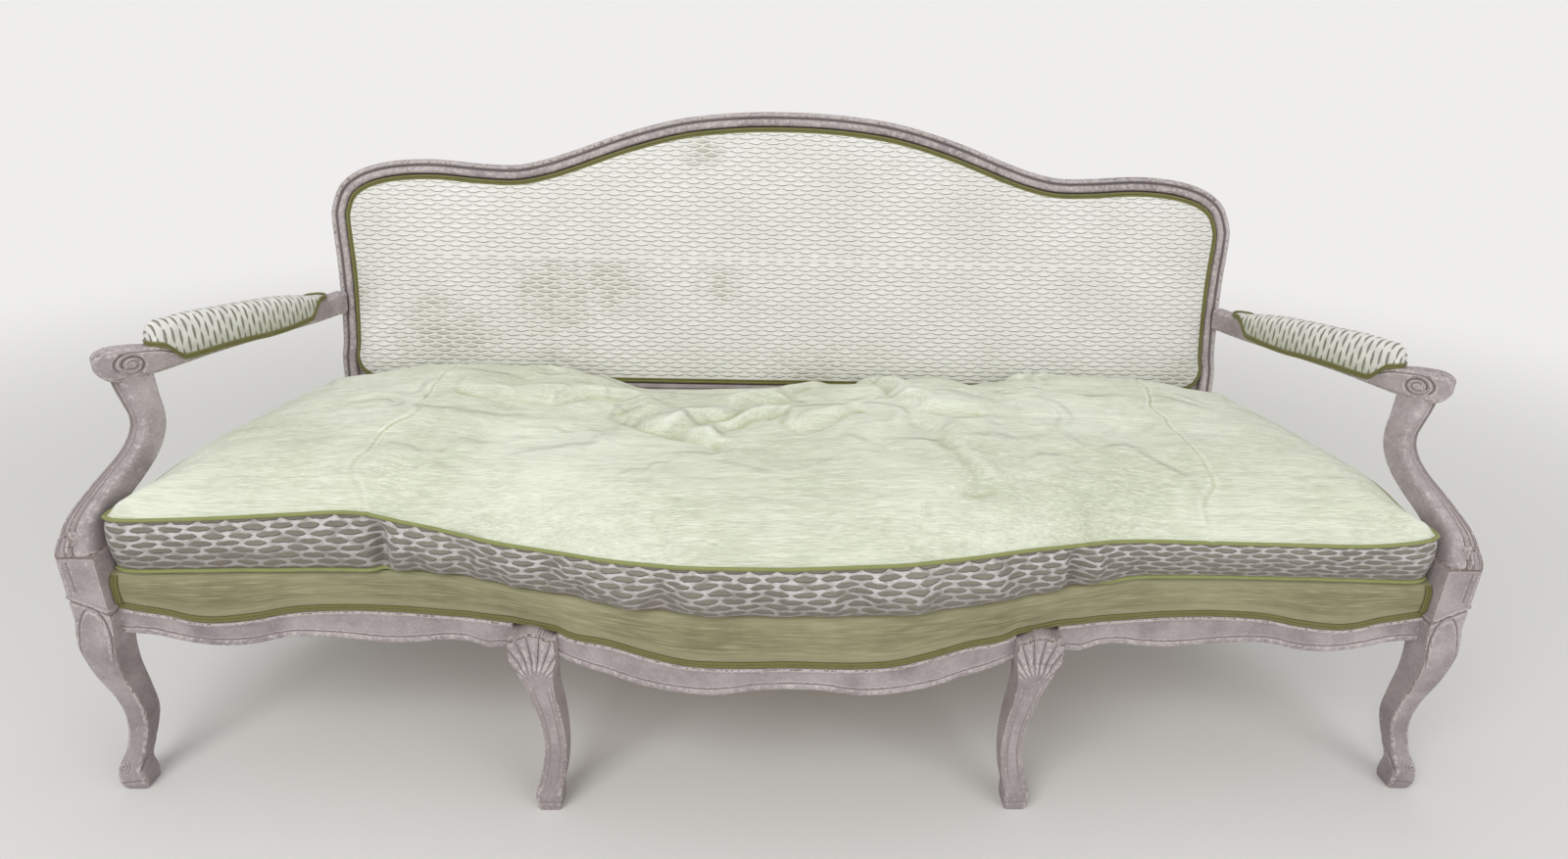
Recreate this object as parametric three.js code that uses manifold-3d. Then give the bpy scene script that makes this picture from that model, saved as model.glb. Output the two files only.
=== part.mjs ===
// A long cabriole sofa: a carved and painted wooden frame on eight legs, an upholstered back with an
// arched crest, padded open arms, and a tight seat that carries one loose cushion.
// Millimetres, +Z up, +X to the sofa's left-hand neighbour's side in the front view (the viewer's right),
// +Y to the back. The floor is z = 0.

import * as THREE from 'three';
import { mergeVertices } from 'three/addons/utils/BufferGeometryUtils.js';
import Module from 'manifold-3d';

const wasm = await Module();
wasm.setup();

// Driving dimensions
const OVERALL_HEIGHT = 980;
const CORNER_LEG_SPREAD = 2006;
const MIDDLE_LEG_SPREAD = 736;
const SEAT_DEPTH = 463.5;
const RAIL_TOP = 325;
const BACK_NARROWER = 330;
const BACK_WIDTH = CORNER_LEG_SPREAD - BACK_NARROWER;
const BACK_RAKE = THREE.MathUtils.degToRad(11.1);
const FRONT_BOW = 95;
const ARM_UNDERSIDE = 608;
const CUSHION_SIDE_ROOM = 33;
const CUSHION_WIDTH = CORNER_LEG_SPREAD - 2 * CUSHION_SIDE_ROOM;
const CUSHION_THICKNESS = 80;
const GAP = 0.3;

// Front and side seat rails
const RAIL_THICKNESS = 38;
const SIDE_RAIL_THICKNESS = 30;
const RAIL_SETBACK = 9;
const RAIL_EDGE = 3;
const RAIL_BEAD = 9;
const RAIL_COVE = 2.5;
const SCALLOP_LOW = 230;
const SCALLOP_RISE = 32;
const LEDGE_LOW = 276;
const LEDGE_RISE = 32;
const CORNER_FACE = 11;
const SIDE_OVERHANG = 11;
const SIDE_BOW_SHARE = 0.57;
const SIDE_SCALLOP = 245;
const SIDE_LEDGE = 292;

// Legs
const CORNER_BLOCK = 52;
const CORNER_BLOCK_TOP = 400;
const MIDDLE_BLOCK_WIDTH = 68;
const MIDDLE_BLOCK_DEPTH = 70;
const MIDDLE_KNEE_PROUD = 26;
const FAN_LEDGE_SHARE = 0.85;
const REAR_LEG_SWEEP = 80;
const REAR_LEG_SIZE = 40;
const REAR_BOARD = 30;
const REAR_SCALLOP = 250;

// Back frame
const FRAME_WIDTH = 46;
const FRAME_DEPTH = 34;
const REBATE_START = 25;
const REBATE_DEPTH = 12;
const LOWER_RAIL_BOTTOM = 460;
const OPENING_RADIUS = 32;
const UPRIGHT_WIDTH = 36;
const UPRIGHT_DEPTH = 18;
const UPRIGHT_SPREAD = 560;

// Arms and their supports
const ARM_LENGTH = 419;
const ARM_SPLAY = 175;
const ARM_INSET = 9;
const ARM_THICKNESS = 38;
const ARM_WIDTH = 39;
const ARM_SWELL = 11;
const ARM_EDGE = 5;
const PAD_HEIGHT = 38;
const SUPPORT_WIDTH = 30;
const SUPPORT_DEPTH = 38;
const SUPPORT_TURN = THREE.MathUtils.degToRad(30);
const SUPPORT_LEAN_IN = 45;
const SUPPORT_SWEEP = 122;

// Joinery
const TENON_THICKNESS = 9;
const TENON_LENGTH = 22;
const TENON_HEIGHT = 30;
const TENON_ROOT = 12;
const PEG_RADIUS = 3;
const PEG_LENGTH = 28;
const BAR_WIDTH = 28;
const BAR_HEIGHT = 40;
const BAR_BELOW_TOP = 20;
const GLUE_BLOCK_LEG = 70;
const GLUE_BLOCK_HEIGHT = 48;
const GLUE_BLOCK_DROP = 8;

// Upholstery
const WEB_THICKNESS = 2;
const WEB_WIDTH = 75;
const WEB_PITCH = 170;
const HESSIAN_THICKNESS = 1;
const DECK_TOP = 366;
const DECK_ROLL = 12;
const GIMP_WIDTH = 11;
const GIMP_THICKNESS = 2.6;
const BORDER_INSET = 3.5;
const BACK_CROWN = 18;
const CUSHION_CROWN = 48;
const CUSHION_REAR_RISE = 30;
const CUSHION_BULGE = 7;
const PIPING_RADIUS = 3.4;
const CLOTH_THICKNESS = 2;

// Colours seen on the sofa, and how dull each finish is
const PAINTED = { color: 0xbfb8b6, roughness: 0.62, metalness: 0 };
const BARE_WOOD = { color: 0x9a7b58, roughness: 0.8, metalness: 0 };
const VELVET = { color: 0xd3d3c2, roughness: 0.85, metalness: 0 };
const SEAT_CLOTH = { color: 0xc3cda8, roughness: 0.8, metalness: 0 };
const BORDER_CLOTH = { color: 0x9c9f72, roughness: 0.8, metalness: 0 };
const BRAID = { color: 0x8e9a4e, roughness: 0.75, metalness: 0 };
const JUTE = { color: 0xa98c62, roughness: 0.95, metalness: 0 };

// Places that follow from the driving dimensions
const tall = OVERALL_HEIGHT;
const CORNER_X = CORNER_LEG_SPREAD / 2;
const MIDDLE_X = MIDDLE_LEG_SPREAD / 2;
const BLOCK_HALF = CORNER_BLOCK / 2;
const CORNER_INNER_X = CORNER_X - BLOCK_HALF;
const MIDDLE_HALF = MIDDLE_BLOCK_WIDTH / 2;
const BACK_HALF = BACK_WIDTH / 2;
const SIN = Math.sin(BACK_RAKE);
const COS = Math.cos(BACK_RAKE);
const TAN = Math.tan(BACK_RAKE);
const BACK_RISE = (OVERALL_HEIGHT - RAIL_TOP) / COS;
const LOW_EDGE = (LOWER_RAIL_BOTTOM - RAIL_TOP) / COS;
const FAN_LEDGE = LEDGE_LOW + FAN_LEDGE_SHARE * LEDGE_RISE;
const DECK_BOTTOM = RAIL_TOP + WEB_THICKNESS + HESSIAN_THICKNESS + 3 * GAP;
const REAR_FACE = SEAT_DEPTH + REAR_BOARD;
const RIGHT = new THREE.Vector3(1, 0, 0);
const BACKWARD = new THREE.Vector3(0, 1, 0);
const UP = new THREE.Vector3(0, 0, 1);
const BACK_NORMAL = new THREE.Vector3(0, COS, -SIN);

// Outlines as shares of the sizes that they follow

// Front rail in plan: share of the corner leg's x, share of the bow
const FRONT_PLAN_SHARES = [
  [0, 1], [0.13, 0.958], [0.199, 0.853], [0.269, 0.684], [0.369, 0.368], [0.429, 0.158],
  [0.489, -0.03], [0.588, -0.168], [0.738, -0.137], [0.887, -0.053], [0.992, 0], [1.05, 0],
];
// Lower and upper edges of the centre rail and of the side lengths: share of the length, share of the rise
const CENTRE_BOTTOM_SHARES = [
  [0, 0.4], [0.15, 0.3], [0.237, 0.12], [0.32, 0], [0.45, 0.03], [0.6, 0.15], [0.695, 0.33],
  [0.763, 0.5], [0.868, 0.65], [0.958, 0.85], [1, 1],
];
const SIDE_BOTTOM_SHARES = [
  [0, 1], [0.04, 0.83], [0.077, 0.64], [0.13, 0.75], [0.19, 0.68], [0.249, 0.45], [0.31, 0.3],
  [0.37, 0.3], [0.414, 0.4], [0.468, 0.53], [0.574, 0.66], [0.63, 0.55], [0.692, 0.3],
  [0.744, 0.25], [0.79, 0.3], [0.835, 0.45], [0.883, 0.7], [0.927, 0.95], [1, 1.1],
];
const CENTRE_LEDGE_SHARES = [
  [0, 0.1], [0.186, 0.02], [0.33, 0], [0.45, 0.05], [0.58, 0.25], [0.77, 0.6], [0.93, 0.62], [1, 0.85],
];
const SIDE_LEDGE_SHARES = [
  [0, 0.85], [0.066, 0.72], [0.2, 0.55], [0.33, 0.55], [0.45, 0.6], [0.576, 0.52], [0.675, 0.2],
  [0.772, 0.05], [0.83, 0.17], [0.883, 0.5], [0.936, 0.72], [1, 1],
];
// Where along the centre rail and the side lengths the front's sections lie
const CENTRE_STATION_SHARES = [0, 0.16, 0.32, 0.45, 0.6, 0.72, 0.82, 0.91, 1];
const SIDE_STATION_SHARES = [0, 0.07, 0.16, 0.249, 0.34, 0.43, 0.52, 0.62, 0.72, 0.79, 0.86, 0.93, 1];
const SIDE_RAIL_STATIONS = [0.02, 0.12, 0.25, 0.4, 0.55, 0.7, 0.85, 1];
// Outer edge of the back, from the middle of the crest down the right stile: share of the half width,
// share of the rise in the plane of the back
const BACK_OUTLINE_SHARES = [
  [0, 1], [0.119, 0.9947], [0.239, 0.9756], [0.358, 0.9359], [0.477, 0.8824], [0.537, 0.858],
  [0.597, 0.8427], [0.668, 0.8435], [0.764, 0.8519], [0.835, 0.8489], [0.895, 0.8366],
  [0.943, 0.8137], [0.979, 0.7756], [0.998, 0.7176], [1, 0.6718], [0.995, 0.5725],
  [0.993, 0.4809], [0.994, 0.3588], [0.999, 0.3053], [0.998, 0.2366], [0.998, 0.1603],
];
const CREST_STEPS = [0, 0.8, 1.6, 2.4, 3.2, 4, 4.8, 5.6, 6.4, 7.2, 8, 8.8, 9.6, 10.2, 10.8, 11.4];
const STILE_STEPS = [11.8, 12.4, 13.2, 14, 15.2, 16.6, 17.6];
const CREST_JOINT_STEP = CREST_STEPS[CREST_STEPS.length - 1];
// Back post below the frame: share of the rail's height, outer edge as a share of the half width,
// sweep as a share of the rear leg's sweep, width and depth as shares of the leg's size
const POST_SHARES = [
  [1.23, 0.998, 0.16, 1.15, 0.88], [1, 0.999, 0, 1.2, 1], [0.74, 1.002, -0.07, 1.25, 1.05],
  [0.62, 1, -0.06, 1.1, 1], [0.43, 0.998, 0.07, 0.9, 0.9], [0.25, 1, 0.4, 0.8, 0.85],
  [0.12, 1.005, 0.7, 0.82, 0.85], [0.04, 1.008, 0.92, 0.95, 0.95], [0, 1.01, 1, 0.95, 0.95],
];
// Cabriole legs: share of the rail's height, then outward and forward shift, half width and half depth
// as shares of the block
const CORNER_LEG_SHARES = [
  [0, -0.02, -0.46, 0.32, 0.34], [0.025, 0, -0.48, 0.365, 0.385], [0.062, 0, -0.5, 0.375, 0.395],
  [0.123, 0.02, -0.46, 0.33, 0.365], [0.2, -0.12, -0.25, 0.28, 0.33], [0.338, -0.21, 0.02, 0.29, 0.365],
  [0.477, -0.17, -0.02, 0.3, 0.385], [0.63, -0.04, -0.15, 0.385, 0.43], [0.77, 0.02, -0.17, 0.47, 0.48],
  [0.83, 0.02, -0.06, 0.52, 0.52], [0.92, 0, 0, 0.5, 0.5],
];
const MIDDLE_LEG_SHARES = [
  [0, -0.13, -0.43, 0.25, 0.257], [0.025, -0.13, -0.44, 0.27, 0.28], [0.062, -0.13, -0.445, 0.285, 0.285],
  [0.108, -0.147, -0.443, 0.28, 0.286], [0.197, -0.25, -0.33, 0.265, 0.257], [0.32, -0.309, -0.214, 0.243, 0.257],
  [0.477, -0.265, -0.186, 0.25, 0.286], [0.66, -0.118, -0.229, 0.31, 0.29], [0.77, -0.044, -0.23, 0.4, 0.34],
];
const REAR_LEG_SHARES = [
  [1, 0.5, 0.5], [0.85, 0.5, 0.5], [0.6, 0.44, 0.44], [0.35, 0.38, 0.4], [0.15, 0.39, 0.41],
  [0.04, 0.45, 0.45], [0, 0.45, 0.45],
];
// Arm: share of its length forward, share of its splay outward, underside as a share of the swell,
// thickness as a share of the arm's thickness, half width as a share of its width
const ARM_SHARES = [
  [0, 0, 0, 1, 0.33], [0.102, 0.092, 0, 1, 0.385], [0.193, 0.166, 0.09, 1, 0.436],
  [0.372, 0.292, 0.55, 0.895, 0.487], [0.539, 0.417, 0.91, 0.8, 0.5], [0.683, 0.543, 1, 0.78, 0.5],
  [0.8, 0.662, 0.8, 0.85, 0.49], [0.86, 0.74, 0.62, 1.04, 0.49], [0.915, 0.83, 0.5, 1.19, 0.5],
  [0.955, 0.905, 0.55, 1.21, 0.48], [0.98, 0.957, 0.95, 1.03, 0.4], [0.994, 0.988, 1.8, 0.68, 0.28],
  [1, 1, 2.7, 0.3, 0.14],
];
const PAD_START_SHARE = 0.1;
const PAD_END_SHARE = 0.84;
// Arm support: share of its height, then of its lean inwards and its sweep backwards, width, depth
const SUPPORT_SHARES = [
  [0, 0, 0, 1.2, 1.32], [0.15, 0.11, 0.12, 1.08, 1.2], [0.25, 0.28, 0.33, 1.03, 1.1],
  [0.325, 0.444, 0.49, 1, 1.02], [0.42, 0.65, 0.75, 0.95, 0.97], [0.515, 0.82, 0.93, 0.93, 0.96],
  [0.64, 0.98, 1.04, 0.92, 0.97], [0.76, 1.04, 1.06, 0.92, 1], [0.88, 0.96, 1.06, 0.92, 1.1],
  [1, 0.84, 1.08, 0.92, 1.25], [1.18, 0.78, 1.06, 0.92, 1.25],
];
// Right half of the cushion in plan, from the middle of its front to the middle of its back: share of
// the half width, share of the depth back from the corner legs' line, share of the bow
const CUSHION_PLAN_SHARES = [
  [0, 0, 1.1], [0.134, 0, 1.06], [0.203, 0, 0.94], [0.27, 0, 0.77], [0.35, 0, 0.5], [0.428, 0, 0.27],
  [0.481, 0, 0.1], [0.54, 0, -0.02], [0.593, 0, -0.06], [0.69, 0, -0.055], [0.79, 0, -0.03],
  [0.896, 0, 0.01], [0.965, 0, 0.04], [0.994, 0.005, 0], [1, 0.03, 0], [0.994, 0.08, 0],
  [0.984, 0.15, 0], [0.979, 0.26, 0], [0.966, 0.48, 0], [0.938, 0.66, 0], [0.91, 0.8, 0],
  [0.883, 0.92, 0], [0.866, 0.975, 0], [0.83, 1, 0], [0.66, 1, 0], [0.44, 1, 0], [0.22, 1, 0],
];
// Cushion from its lower seam to its crown: share of the way to the middle, share of the crown
const CUSHION_CROWN_SHARES = [
  [0.025, 0.16], [0.07, 0.46], [0.14, 0.74], [0.27, 0.95], [0.45, 1], [0.7, 0.97],
];
const CUSHION_SPINE_SHARE = 0.72;

/** Values of the rows at a place, on a smooth curve through them. */
function through(rows, place) {
  let i = 0;
  while (i < rows.length - 2 && place > rows[i + 1][0]) i += 1;
  const before = rows[Math.max(i - 1, 0)];
  const start = rows[i];
  const end = rows[i + 1];
  const after = rows[Math.min(i + 2, rows.length - 1)];
  const span = end[0] - start[0];
  const t = THREE.MathUtils.clamp((place - start[0]) / span, 0, 1);
  const hermite = [2 * t ** 3 - 3 * t ** 2 + 1, t ** 3 - 2 * t ** 2 + t, 3 * t ** 2 - 2 * t ** 3, t ** 3 - t ** 2];
  return start.slice(1).map((value, k) => {
    const c = k + 1;
    const slopeIn = (end[c] - before[c]) / (end[0] - before[0]);
    const slopeOut = (after[c] - start[c]) / (after[0] - start[0]);
    return hermite[0] * value + hermite[1] * slopeIn * span + hermite[2] * end[c] + hermite[3] * slopeOut * span;
  });
}

/** Evenly spaced numbers from a to b. */
function steps(a, b, count) {
  return Array.from({ length: count + 1 }, (_, i) => a + ((b - a) * i) / count);
}

/** Triangles that close a ring of points. */
function capTriangles(ring) {
  const normal = new THREE.Vector3();
  ring.forEach((p, i) => normal.add(p.clone().cross(ring[(i + 1) % ring.length])));
  normal.normalize();
  const u = new THREE.Vector3().crossVectors(normal, Math.abs(normal.z) > 0.8 ? RIGHT : UP).normalize();
  const v = new THREE.Vector3().crossVectors(normal, u);
  const flat = ring.map((p) => new THREE.Vector2(p.dot(u), p.dot(v)));
  return THREE.ShapeUtils.triangulateShape(flat, []);
}

/** Turns a closed mesh's faces outwards. */
function outward(geometry) {
  const p = geometry.attributes.position;
  const index = geometry.index.array;
  const corner = (i) => new THREE.Vector3().fromBufferAttribute(p, index[i]);
  let volume = 0;
  for (let i = 0; i < index.length; i += 3) volume += corner(i).dot(corner(i + 1).cross(corner(i + 2)));
  if (volume < 0) {
    for (let i = 0; i < index.length; i += 3) [index[i], index[i + 1]] = [index[i + 1], index[i]];
  }
  return geometry;
}

/** Skin over rings of points; a looped skin joins its last ring to its first and needs no caps. */
function loft(rings, looped = false) {
  const size = rings[0].length;
  const faces = [];
  const last = looped ? rings.length : rings.length - 1;
  for (let r = 0; r < last; r += 1) {
    const here = r * size;
    const next = ((r + 1) % rings.length) * size;
    for (let i = 0; i < size; i += 1) {
      const j = (i + 1) % size;
      faces.push(here + i, here + j, next + j, here + i, next + j, next + i);
    }
  }
  if (!looped) {
    capTriangles(rings[0]).forEach(([a, b, c]) => faces.push(c, b, a));
    const end = (rings.length - 1) * size;
    const lastRing = rings[rings.length - 1];
    capTriangles(lastRing).forEach(([a, b, c]) => faces.push(end + a, end + b, end + c));
    repairCap(faces, rings, size);
  }
  const geometry = new THREE.BufferGeometry().setFromPoints(rings.flat());
  geometry.setIndex(faces);
  return outward(geometry);
}

/** Makes each cap's triangles run against the skin's edges, whichever way the ring went. */
function repairCap(faces, rings, size) {
  const skin = (rings.length - 1) * size * 6;
  const directed = new Set();
  for (let i = 0; i < skin; i += 3) {
    for (let k = 0; k < 3; k += 1) directed.add(`${faces[i + k]}_${faces[i + ((k + 1) % 3)]}`);
  }
  const caps = [];
  const end = (rings.length - 1) * size;
  for (let i = skin; i < faces.length; i += 3) caps.push(faces.slice(i, i + 3));
  const groups = [caps.filter((t) => t[0] < end), caps.filter((t) => t[0] >= end)];
  faces.length = skin;
  groups.forEach((group) => {
    const clash = group.some((t) => t.some((a, k) => directed.has(`${a}_${t[(k + 1) % 3]}`)));
    group.forEach((t) => faces.push(...(clash ? [t[2], t[1], t[0]] : t)));
  });
}

/** A closed mesh as a solid for joining and cutting. */
function solid(geometry) {
  const bare = geometry.clone();
  bare.deleteAttribute('normal');
  bare.deleteAttribute('uv');
  const merged = mergeVertices(bare);
  const vertProperties = Float32Array.from(merged.attributes.position.array);
  const triVerts = Uint32Array.from(merged.index.array);
  return new wasm.Manifold(new wasm.Mesh({ numProp: 3, vertProperties, triVerts }));
}

/** A solid as a mesh again. */
function geometryOf(manifold) {
  const mesh = manifold.getMesh();
  const geometry = new THREE.BufferGeometry();
  geometry.setAttribute('position', new THREE.BufferAttribute(mesh.vertProperties, 3));
  geometry.setIndex(new THREE.BufferAttribute(mesh.triVerts, 1));
  return geometry;
}

/** A mesh with others cut away. */
function cut(geometry, ...cutters) {
  return geometryOf(cutters.reduce((body, cutter) => body.subtract(solid(cutter)), solid(geometry)));
}

/** Meshes joined into one. */
function unite(geometry, ...others) {
  return geometryOf(others.reduce((body, other) => body.add(solid(other)), solid(geometry)));
}

/** The same mesh on the other side of the sofa's middle plane. */
function mirrored(geometry) {
  const copy = geometry.clone();
  copy.applyMatrix4(new THREE.Matrix4().makeScale(-1, 1, 1));
  return outward(copy);
}

/** A box between two corners. */
function boxBetween(low, high) {
  const size = high.map((value, i) => value - low[i]);
  const middle = high.map((value, i) => (value + low[i]) / 2);
  return new THREE.BoxGeometry(...size).translate(...middle);
}

/** A tenon that starts inside its own piece and ends at its length; grown, it cuts the mortise. */
function tenonBox({ at, along, up, length, thickness = TENON_THICKNESS, height = TENON_HEIGHT }, grow = 0) {
  const side = new THREE.Vector3().crossVectors(up, along).normalize();
  const size = [length + TENON_ROOT + grow, thickness + 2 * grow, height + 2 * grow];
  const box = new THREE.BoxGeometry(...size).translate((length - TENON_ROOT + grow) / 2, 0, 0);
  const basis = new THREE.Matrix4().makeBasis(along.clone().normalize(), side, up.clone().normalize());
  return box.applyMatrix4(basis.setPosition(at));
}

const shapes = new Map();

/** Gives one piece a tenon and cuts its mortise in another. */
function mortiseAndTenon(from, into, tenon) {
  shapes.set(from, unite(shapes.get(from), tenonBox(tenon)));
  shapes.set(into, cut(shapes.get(into), tenonBox(tenon, GAP)));
}

/** A square with rounded corners, as twelve points. */
function roundedSquare(halfWidth, halfDepth, corner) {
  const points = [];
  const spots = [[1, 1], [-1, 1], [-1, -1], [1, -1]];
  spots.forEach(([sx, sy], q) => {
    [0, 0.5, 1].forEach((share) => {
      const angle = ((q + share) * Math.PI) / 2;
      const x = sx * (halfWidth - corner) + corner * Math.cos(angle);
      const y = sy * (halfDepth - corner) + corner * Math.sin(angle);
      points.push([x, y]);
    });
  });
  return points;
}

// Front plan and edges

/** y of the front rail's outer face at x. */
function frontFace(x) {
  return -CORNER_FACE - FRONT_BOW * through(FRONT_PLAN_SHARES, Math.abs(x) / CORNER_X)[0];
}

/** Share of the way along a front rail length, with its tables. */
function railShare(x, centreRows, sideRows) {
  const reach = Math.abs(x);
  const inner = MIDDLE_X - MIDDLE_HALF;
  const outer = MIDDLE_X + MIDDLE_HALF;
  if (reach <= inner) return through(centreRows, reach / inner)[0];
  return through(sideRows, Math.max(reach - outer, 0) / (CORNER_INNER_X - outer))[0];
}

/** Height of the front rail's scalloped lower edge. */
function scallop(x) {
  return SCALLOP_LOW + SCALLOP_RISE * railShare(x, CENTRE_BOTTOM_SHARES, SIDE_BOTTOM_SHARES);
}

/** Height of the moulding's top, where the border cloth ends. */
function ledge(x) {
  return LEDGE_LOW + LEDGE_RISE * railShare(x, CENTRE_LEDGE_SHARES, SIDE_LEDGE_SHARES);
}

const SIDE_START = new THREE.Vector2(CORNER_X + SIDE_OVERHANG, 0);
const SIDE_END = new THREE.Vector2(BACK_HALF - RAIL_EDGE, SEAT_DEPTH - RAIL_EDGE);
const SIDE_HANDLE = new THREE.Vector2(CORNER_X, SIDE_BOW_SHARE * SEAT_DEPTH);
const sideLegOne = SIDE_HANDLE.clone().sub(SIDE_START);
const sideLegTwo = SIDE_END.clone().sub(SIDE_HANDLE);

/** Point of the side rail's plan, a distance in from its outer face; the curve runs on past its ends. */
function sidePoint(t, inset) {
  const bend = sideLegTwo.clone().sub(sideLegOne);
  const p = SIDE_START.clone().addScaledVector(sideLegOne, 2 * t).addScaledVector(bend, t * t);
  const d = sideLegOne.clone().addScaledVector(bend, t).normalize();
  return new THREE.Vector2(p.x - inset * d.y, p.y + inset * d.x);
}

/** Where the front's pieces have their sections, so that rail, braid and border follow the same facets. */
const centreStations = CENTRE_STATION_SHARES.map((share) => share * (MIDDLE_X - MIDDLE_HALF - GAP));
const outerSpan = CORNER_INNER_X - MIDDLE_X - MIDDLE_HALF - 2 * GAP;
const sideStations = SIDE_STATION_SHARES.map((share) => MIDDLE_X + MIDDLE_HALF + GAP + share * outerSpan);
const mirrorList = (list) => [...list].reverse().map((x) => -x);
const frontStations = [
  ...mirrorList(sideStations), ...mirrorList(centreStations), ...centreStations.slice(1), ...sideStations,
];

/** Moulded rail section: distance in from the face, height. */
function railSection(thickness, low, top) {
  return [
    [0, low + RAIL_EDGE], [RAIL_EDGE, low], [thickness, low], [thickness, RAIL_TOP],
    [RAIL_SETBACK, RAIL_TOP], [RAIL_SETBACK, top], [RAIL_EDGE, top], [0, top - RAIL_EDGE],
    [0, top - RAIL_BEAD], [RAIL_COVE, top - RAIL_BEAD - RAIL_EDGE],
    [RAIL_COVE, low + RAIL_BEAD + RAIL_EDGE], [0, low + RAIL_BEAD],
  ];
}

/** A length of front rail through a run of x places. */
function frontRail(places) {
  return loft(places.map((x) => {
    const section = railSection(RAIL_THICKNESS, scallop(x), ledge(x));
    return section.map(([inset, z]) => new THREE.Vector3(x, frontFace(x) + inset, z));
  }));
}

// Legs

/** A cabriole leg from its sole up, then its square block. */
function cabrioleLeg(rows, x, y, block, tops) {
  const corner = block.width / 6;
  const rings = rows.map(([share, out, back, halfWidth, halfDepth]) => {
    const points = roundedSquare(halfWidth * block.width, halfDepth * block.depth, corner);
    const cx = x + out * block.width;
    const cy = y + back * block.depth;
    return points.map(([px, py]) => new THREE.Vector3(cx + px, cy + py, share * RAIL_TOP));
  });
  tops.forEach(({ z }) => {
    const points = roundedSquare(block.width / 2, block.depth / 2, RAIL_EDGE);
    rings.push(points.map(([px, py]) => new THREE.Vector3(x + px, y + py, z)));
  });
  return loft(rings);
}

const cornerTops = [{ z: RAIL_TOP }, { z: CORNER_BLOCK_TOP }];
const cornerBlock = { width: CORNER_BLOCK, depth: CORNER_BLOCK };
shapes.set('front_leg', cabrioleLeg(CORNER_LEG_SHARES, CORNER_X, 0, cornerBlock, cornerTops));

const MIDDLE_FRONT = frontFace(MIDDLE_X) - MIDDLE_KNEE_PROUD;
const MIDDLE_Y = MIDDLE_FRONT + MIDDLE_BLOCK_DEPTH / 2;
const middleTops = [{ z: SCALLOP_LOW + SCALLOP_RISE + RAIL_EDGE }, { z: RAIL_TOP }];
const middleBlock = { width: MIDDLE_BLOCK_WIDTH, depth: MIDDLE_BLOCK_DEPTH };
const middleLeg = cabrioleLeg(MIDDLE_LEG_SHARES, MIDDLE_X, MIDDLE_Y, middleBlock, middleTops);
const borderRoom = loft([centreStations.at(-1), sideStations[0]].map((x) => {
  const y = frontFace(x) + RAIL_SETBACK;
  return [[y - tall, FAN_LEDGE], [y, FAN_LEDGE], [y, tall], [y - tall, tall]].map(([py, z]) => (
    new THREE.Vector3(x + (x < MIDDLE_X ? -GAP : GAP), py, z)
  ));
}));
shapes.set('mid_front_leg', cut(middleLeg, borderRoom));

// Front and side rails

shapes.set('front_rail_centre', frontRail([...mirrorList(centreStations), ...centreStations.slice(1)]));
shapes.set('front_rail_side', frontRail(sideStations));

const sideRings = [...SIDE_RAIL_STATIONS, 1.06].map((t) => {
  const section = railSection(SIDE_RAIL_THICKNESS, SIDE_SCALLOP, SIDE_LEDGE);
  return section.map(([inset, z]) => {
    const p = sidePoint(t, inset);
    return new THREE.Vector3(p.x, p.y, z);
  });
});

// Back frame

/** Place in the plane of the back: x, height up the plane, depth behind the front face. */
function backPoint(x, h, depth) {
  return new THREE.Vector3(x, SEAT_DEPTH + h * SIN + depth * COS, RAIL_TOP + h * COS - depth * SIN);
}

const outlineHalf = BACK_OUTLINE_SHARES.map(([sx, sh]) => new THREE.Vector2(sx * BACK_HALF, sh * BACK_RISE));
const outlineLeft = outlineHalf.slice(1).reverse().map((p) => new THREE.Vector2(-p.x, p.y));
const outlineCurve = new THREE.SplineCurve([...outlineLeft, ...outlineHalf]);
const OUTLINE_STEPS = BACK_OUTLINE_SHARES.length - 1;

/** Outer edge of the back at a step counted from the crest's middle, moved inwards. */
function outlineAt(step, inset) {
  const t = (step + OUTLINE_STEPS) / (2 * OUTLINE_STEPS);
  const p = outlineCurve.getPoint(t);
  const d = outlineCurve.getTangent(t);
  return new THREE.Vector2(p.x + d.y * inset, p.y - d.x * inset);
}

/** Step at which the outer edge, moved inwards, reaches a height on the right stile. */
function stepAtHeight(h) {
  let low = CREST_JOINT_STEP;
  let high = OUTLINE_STEPS;
  for (let i = 0; i < 30; i += 1) {
    const middle = (low + high) / 2;
    if (outlineAt(middle, 0).y > h) low = middle;
    else high = middle;
  }
  return low;
}

/** Frame section: distance in from the outer edge, depth behind the front face. */
function frameSection(width, depth, rebate, grow = 0) {
  const bead = width * 0.2;
  const roll = width * 0.4;
  const cove = RAIL_EDGE * (rebate > 0 ? 1 : 0.3);
  const wall = rebate > 0 ? REBATE_START : width * 0.55;
  return [
    [-grow, RAIL_EDGE + cove], [RAIL_EDGE, -grow], [bead, -grow], [bead + cove, cove - grow],
    [roll - cove, cove - grow], [roll, -grow], [wall, -grow],
    [wall + RAIL_EDGE / 3, rebate - grow], [width + grow, rebate - grow], [width + grow, depth - RAIL_EDGE],
    [width - RAIL_EDGE, depth + grow], [RAIL_EDGE, depth + grow], [-grow, depth - RAIL_EDGE],
  ];
}

/** Ring of the back frame at a step of its outline. */
function frameRing(step, grow) {
  return frameSection(FRAME_WIDTH, FRAME_DEPTH, REBATE_DEPTH, grow).map(([inset, depth]) => {
    const p = outlineAt(step, inset);
    return backPoint(p.x, p.y, depth);
  });
}

const crestSteps = [...mirrorList(CREST_STEPS), ...CREST_STEPS.slice(1)];
shapes.set('crest_rail', loft(crestSteps.map((step) => frameRing(step, 0))));

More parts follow.
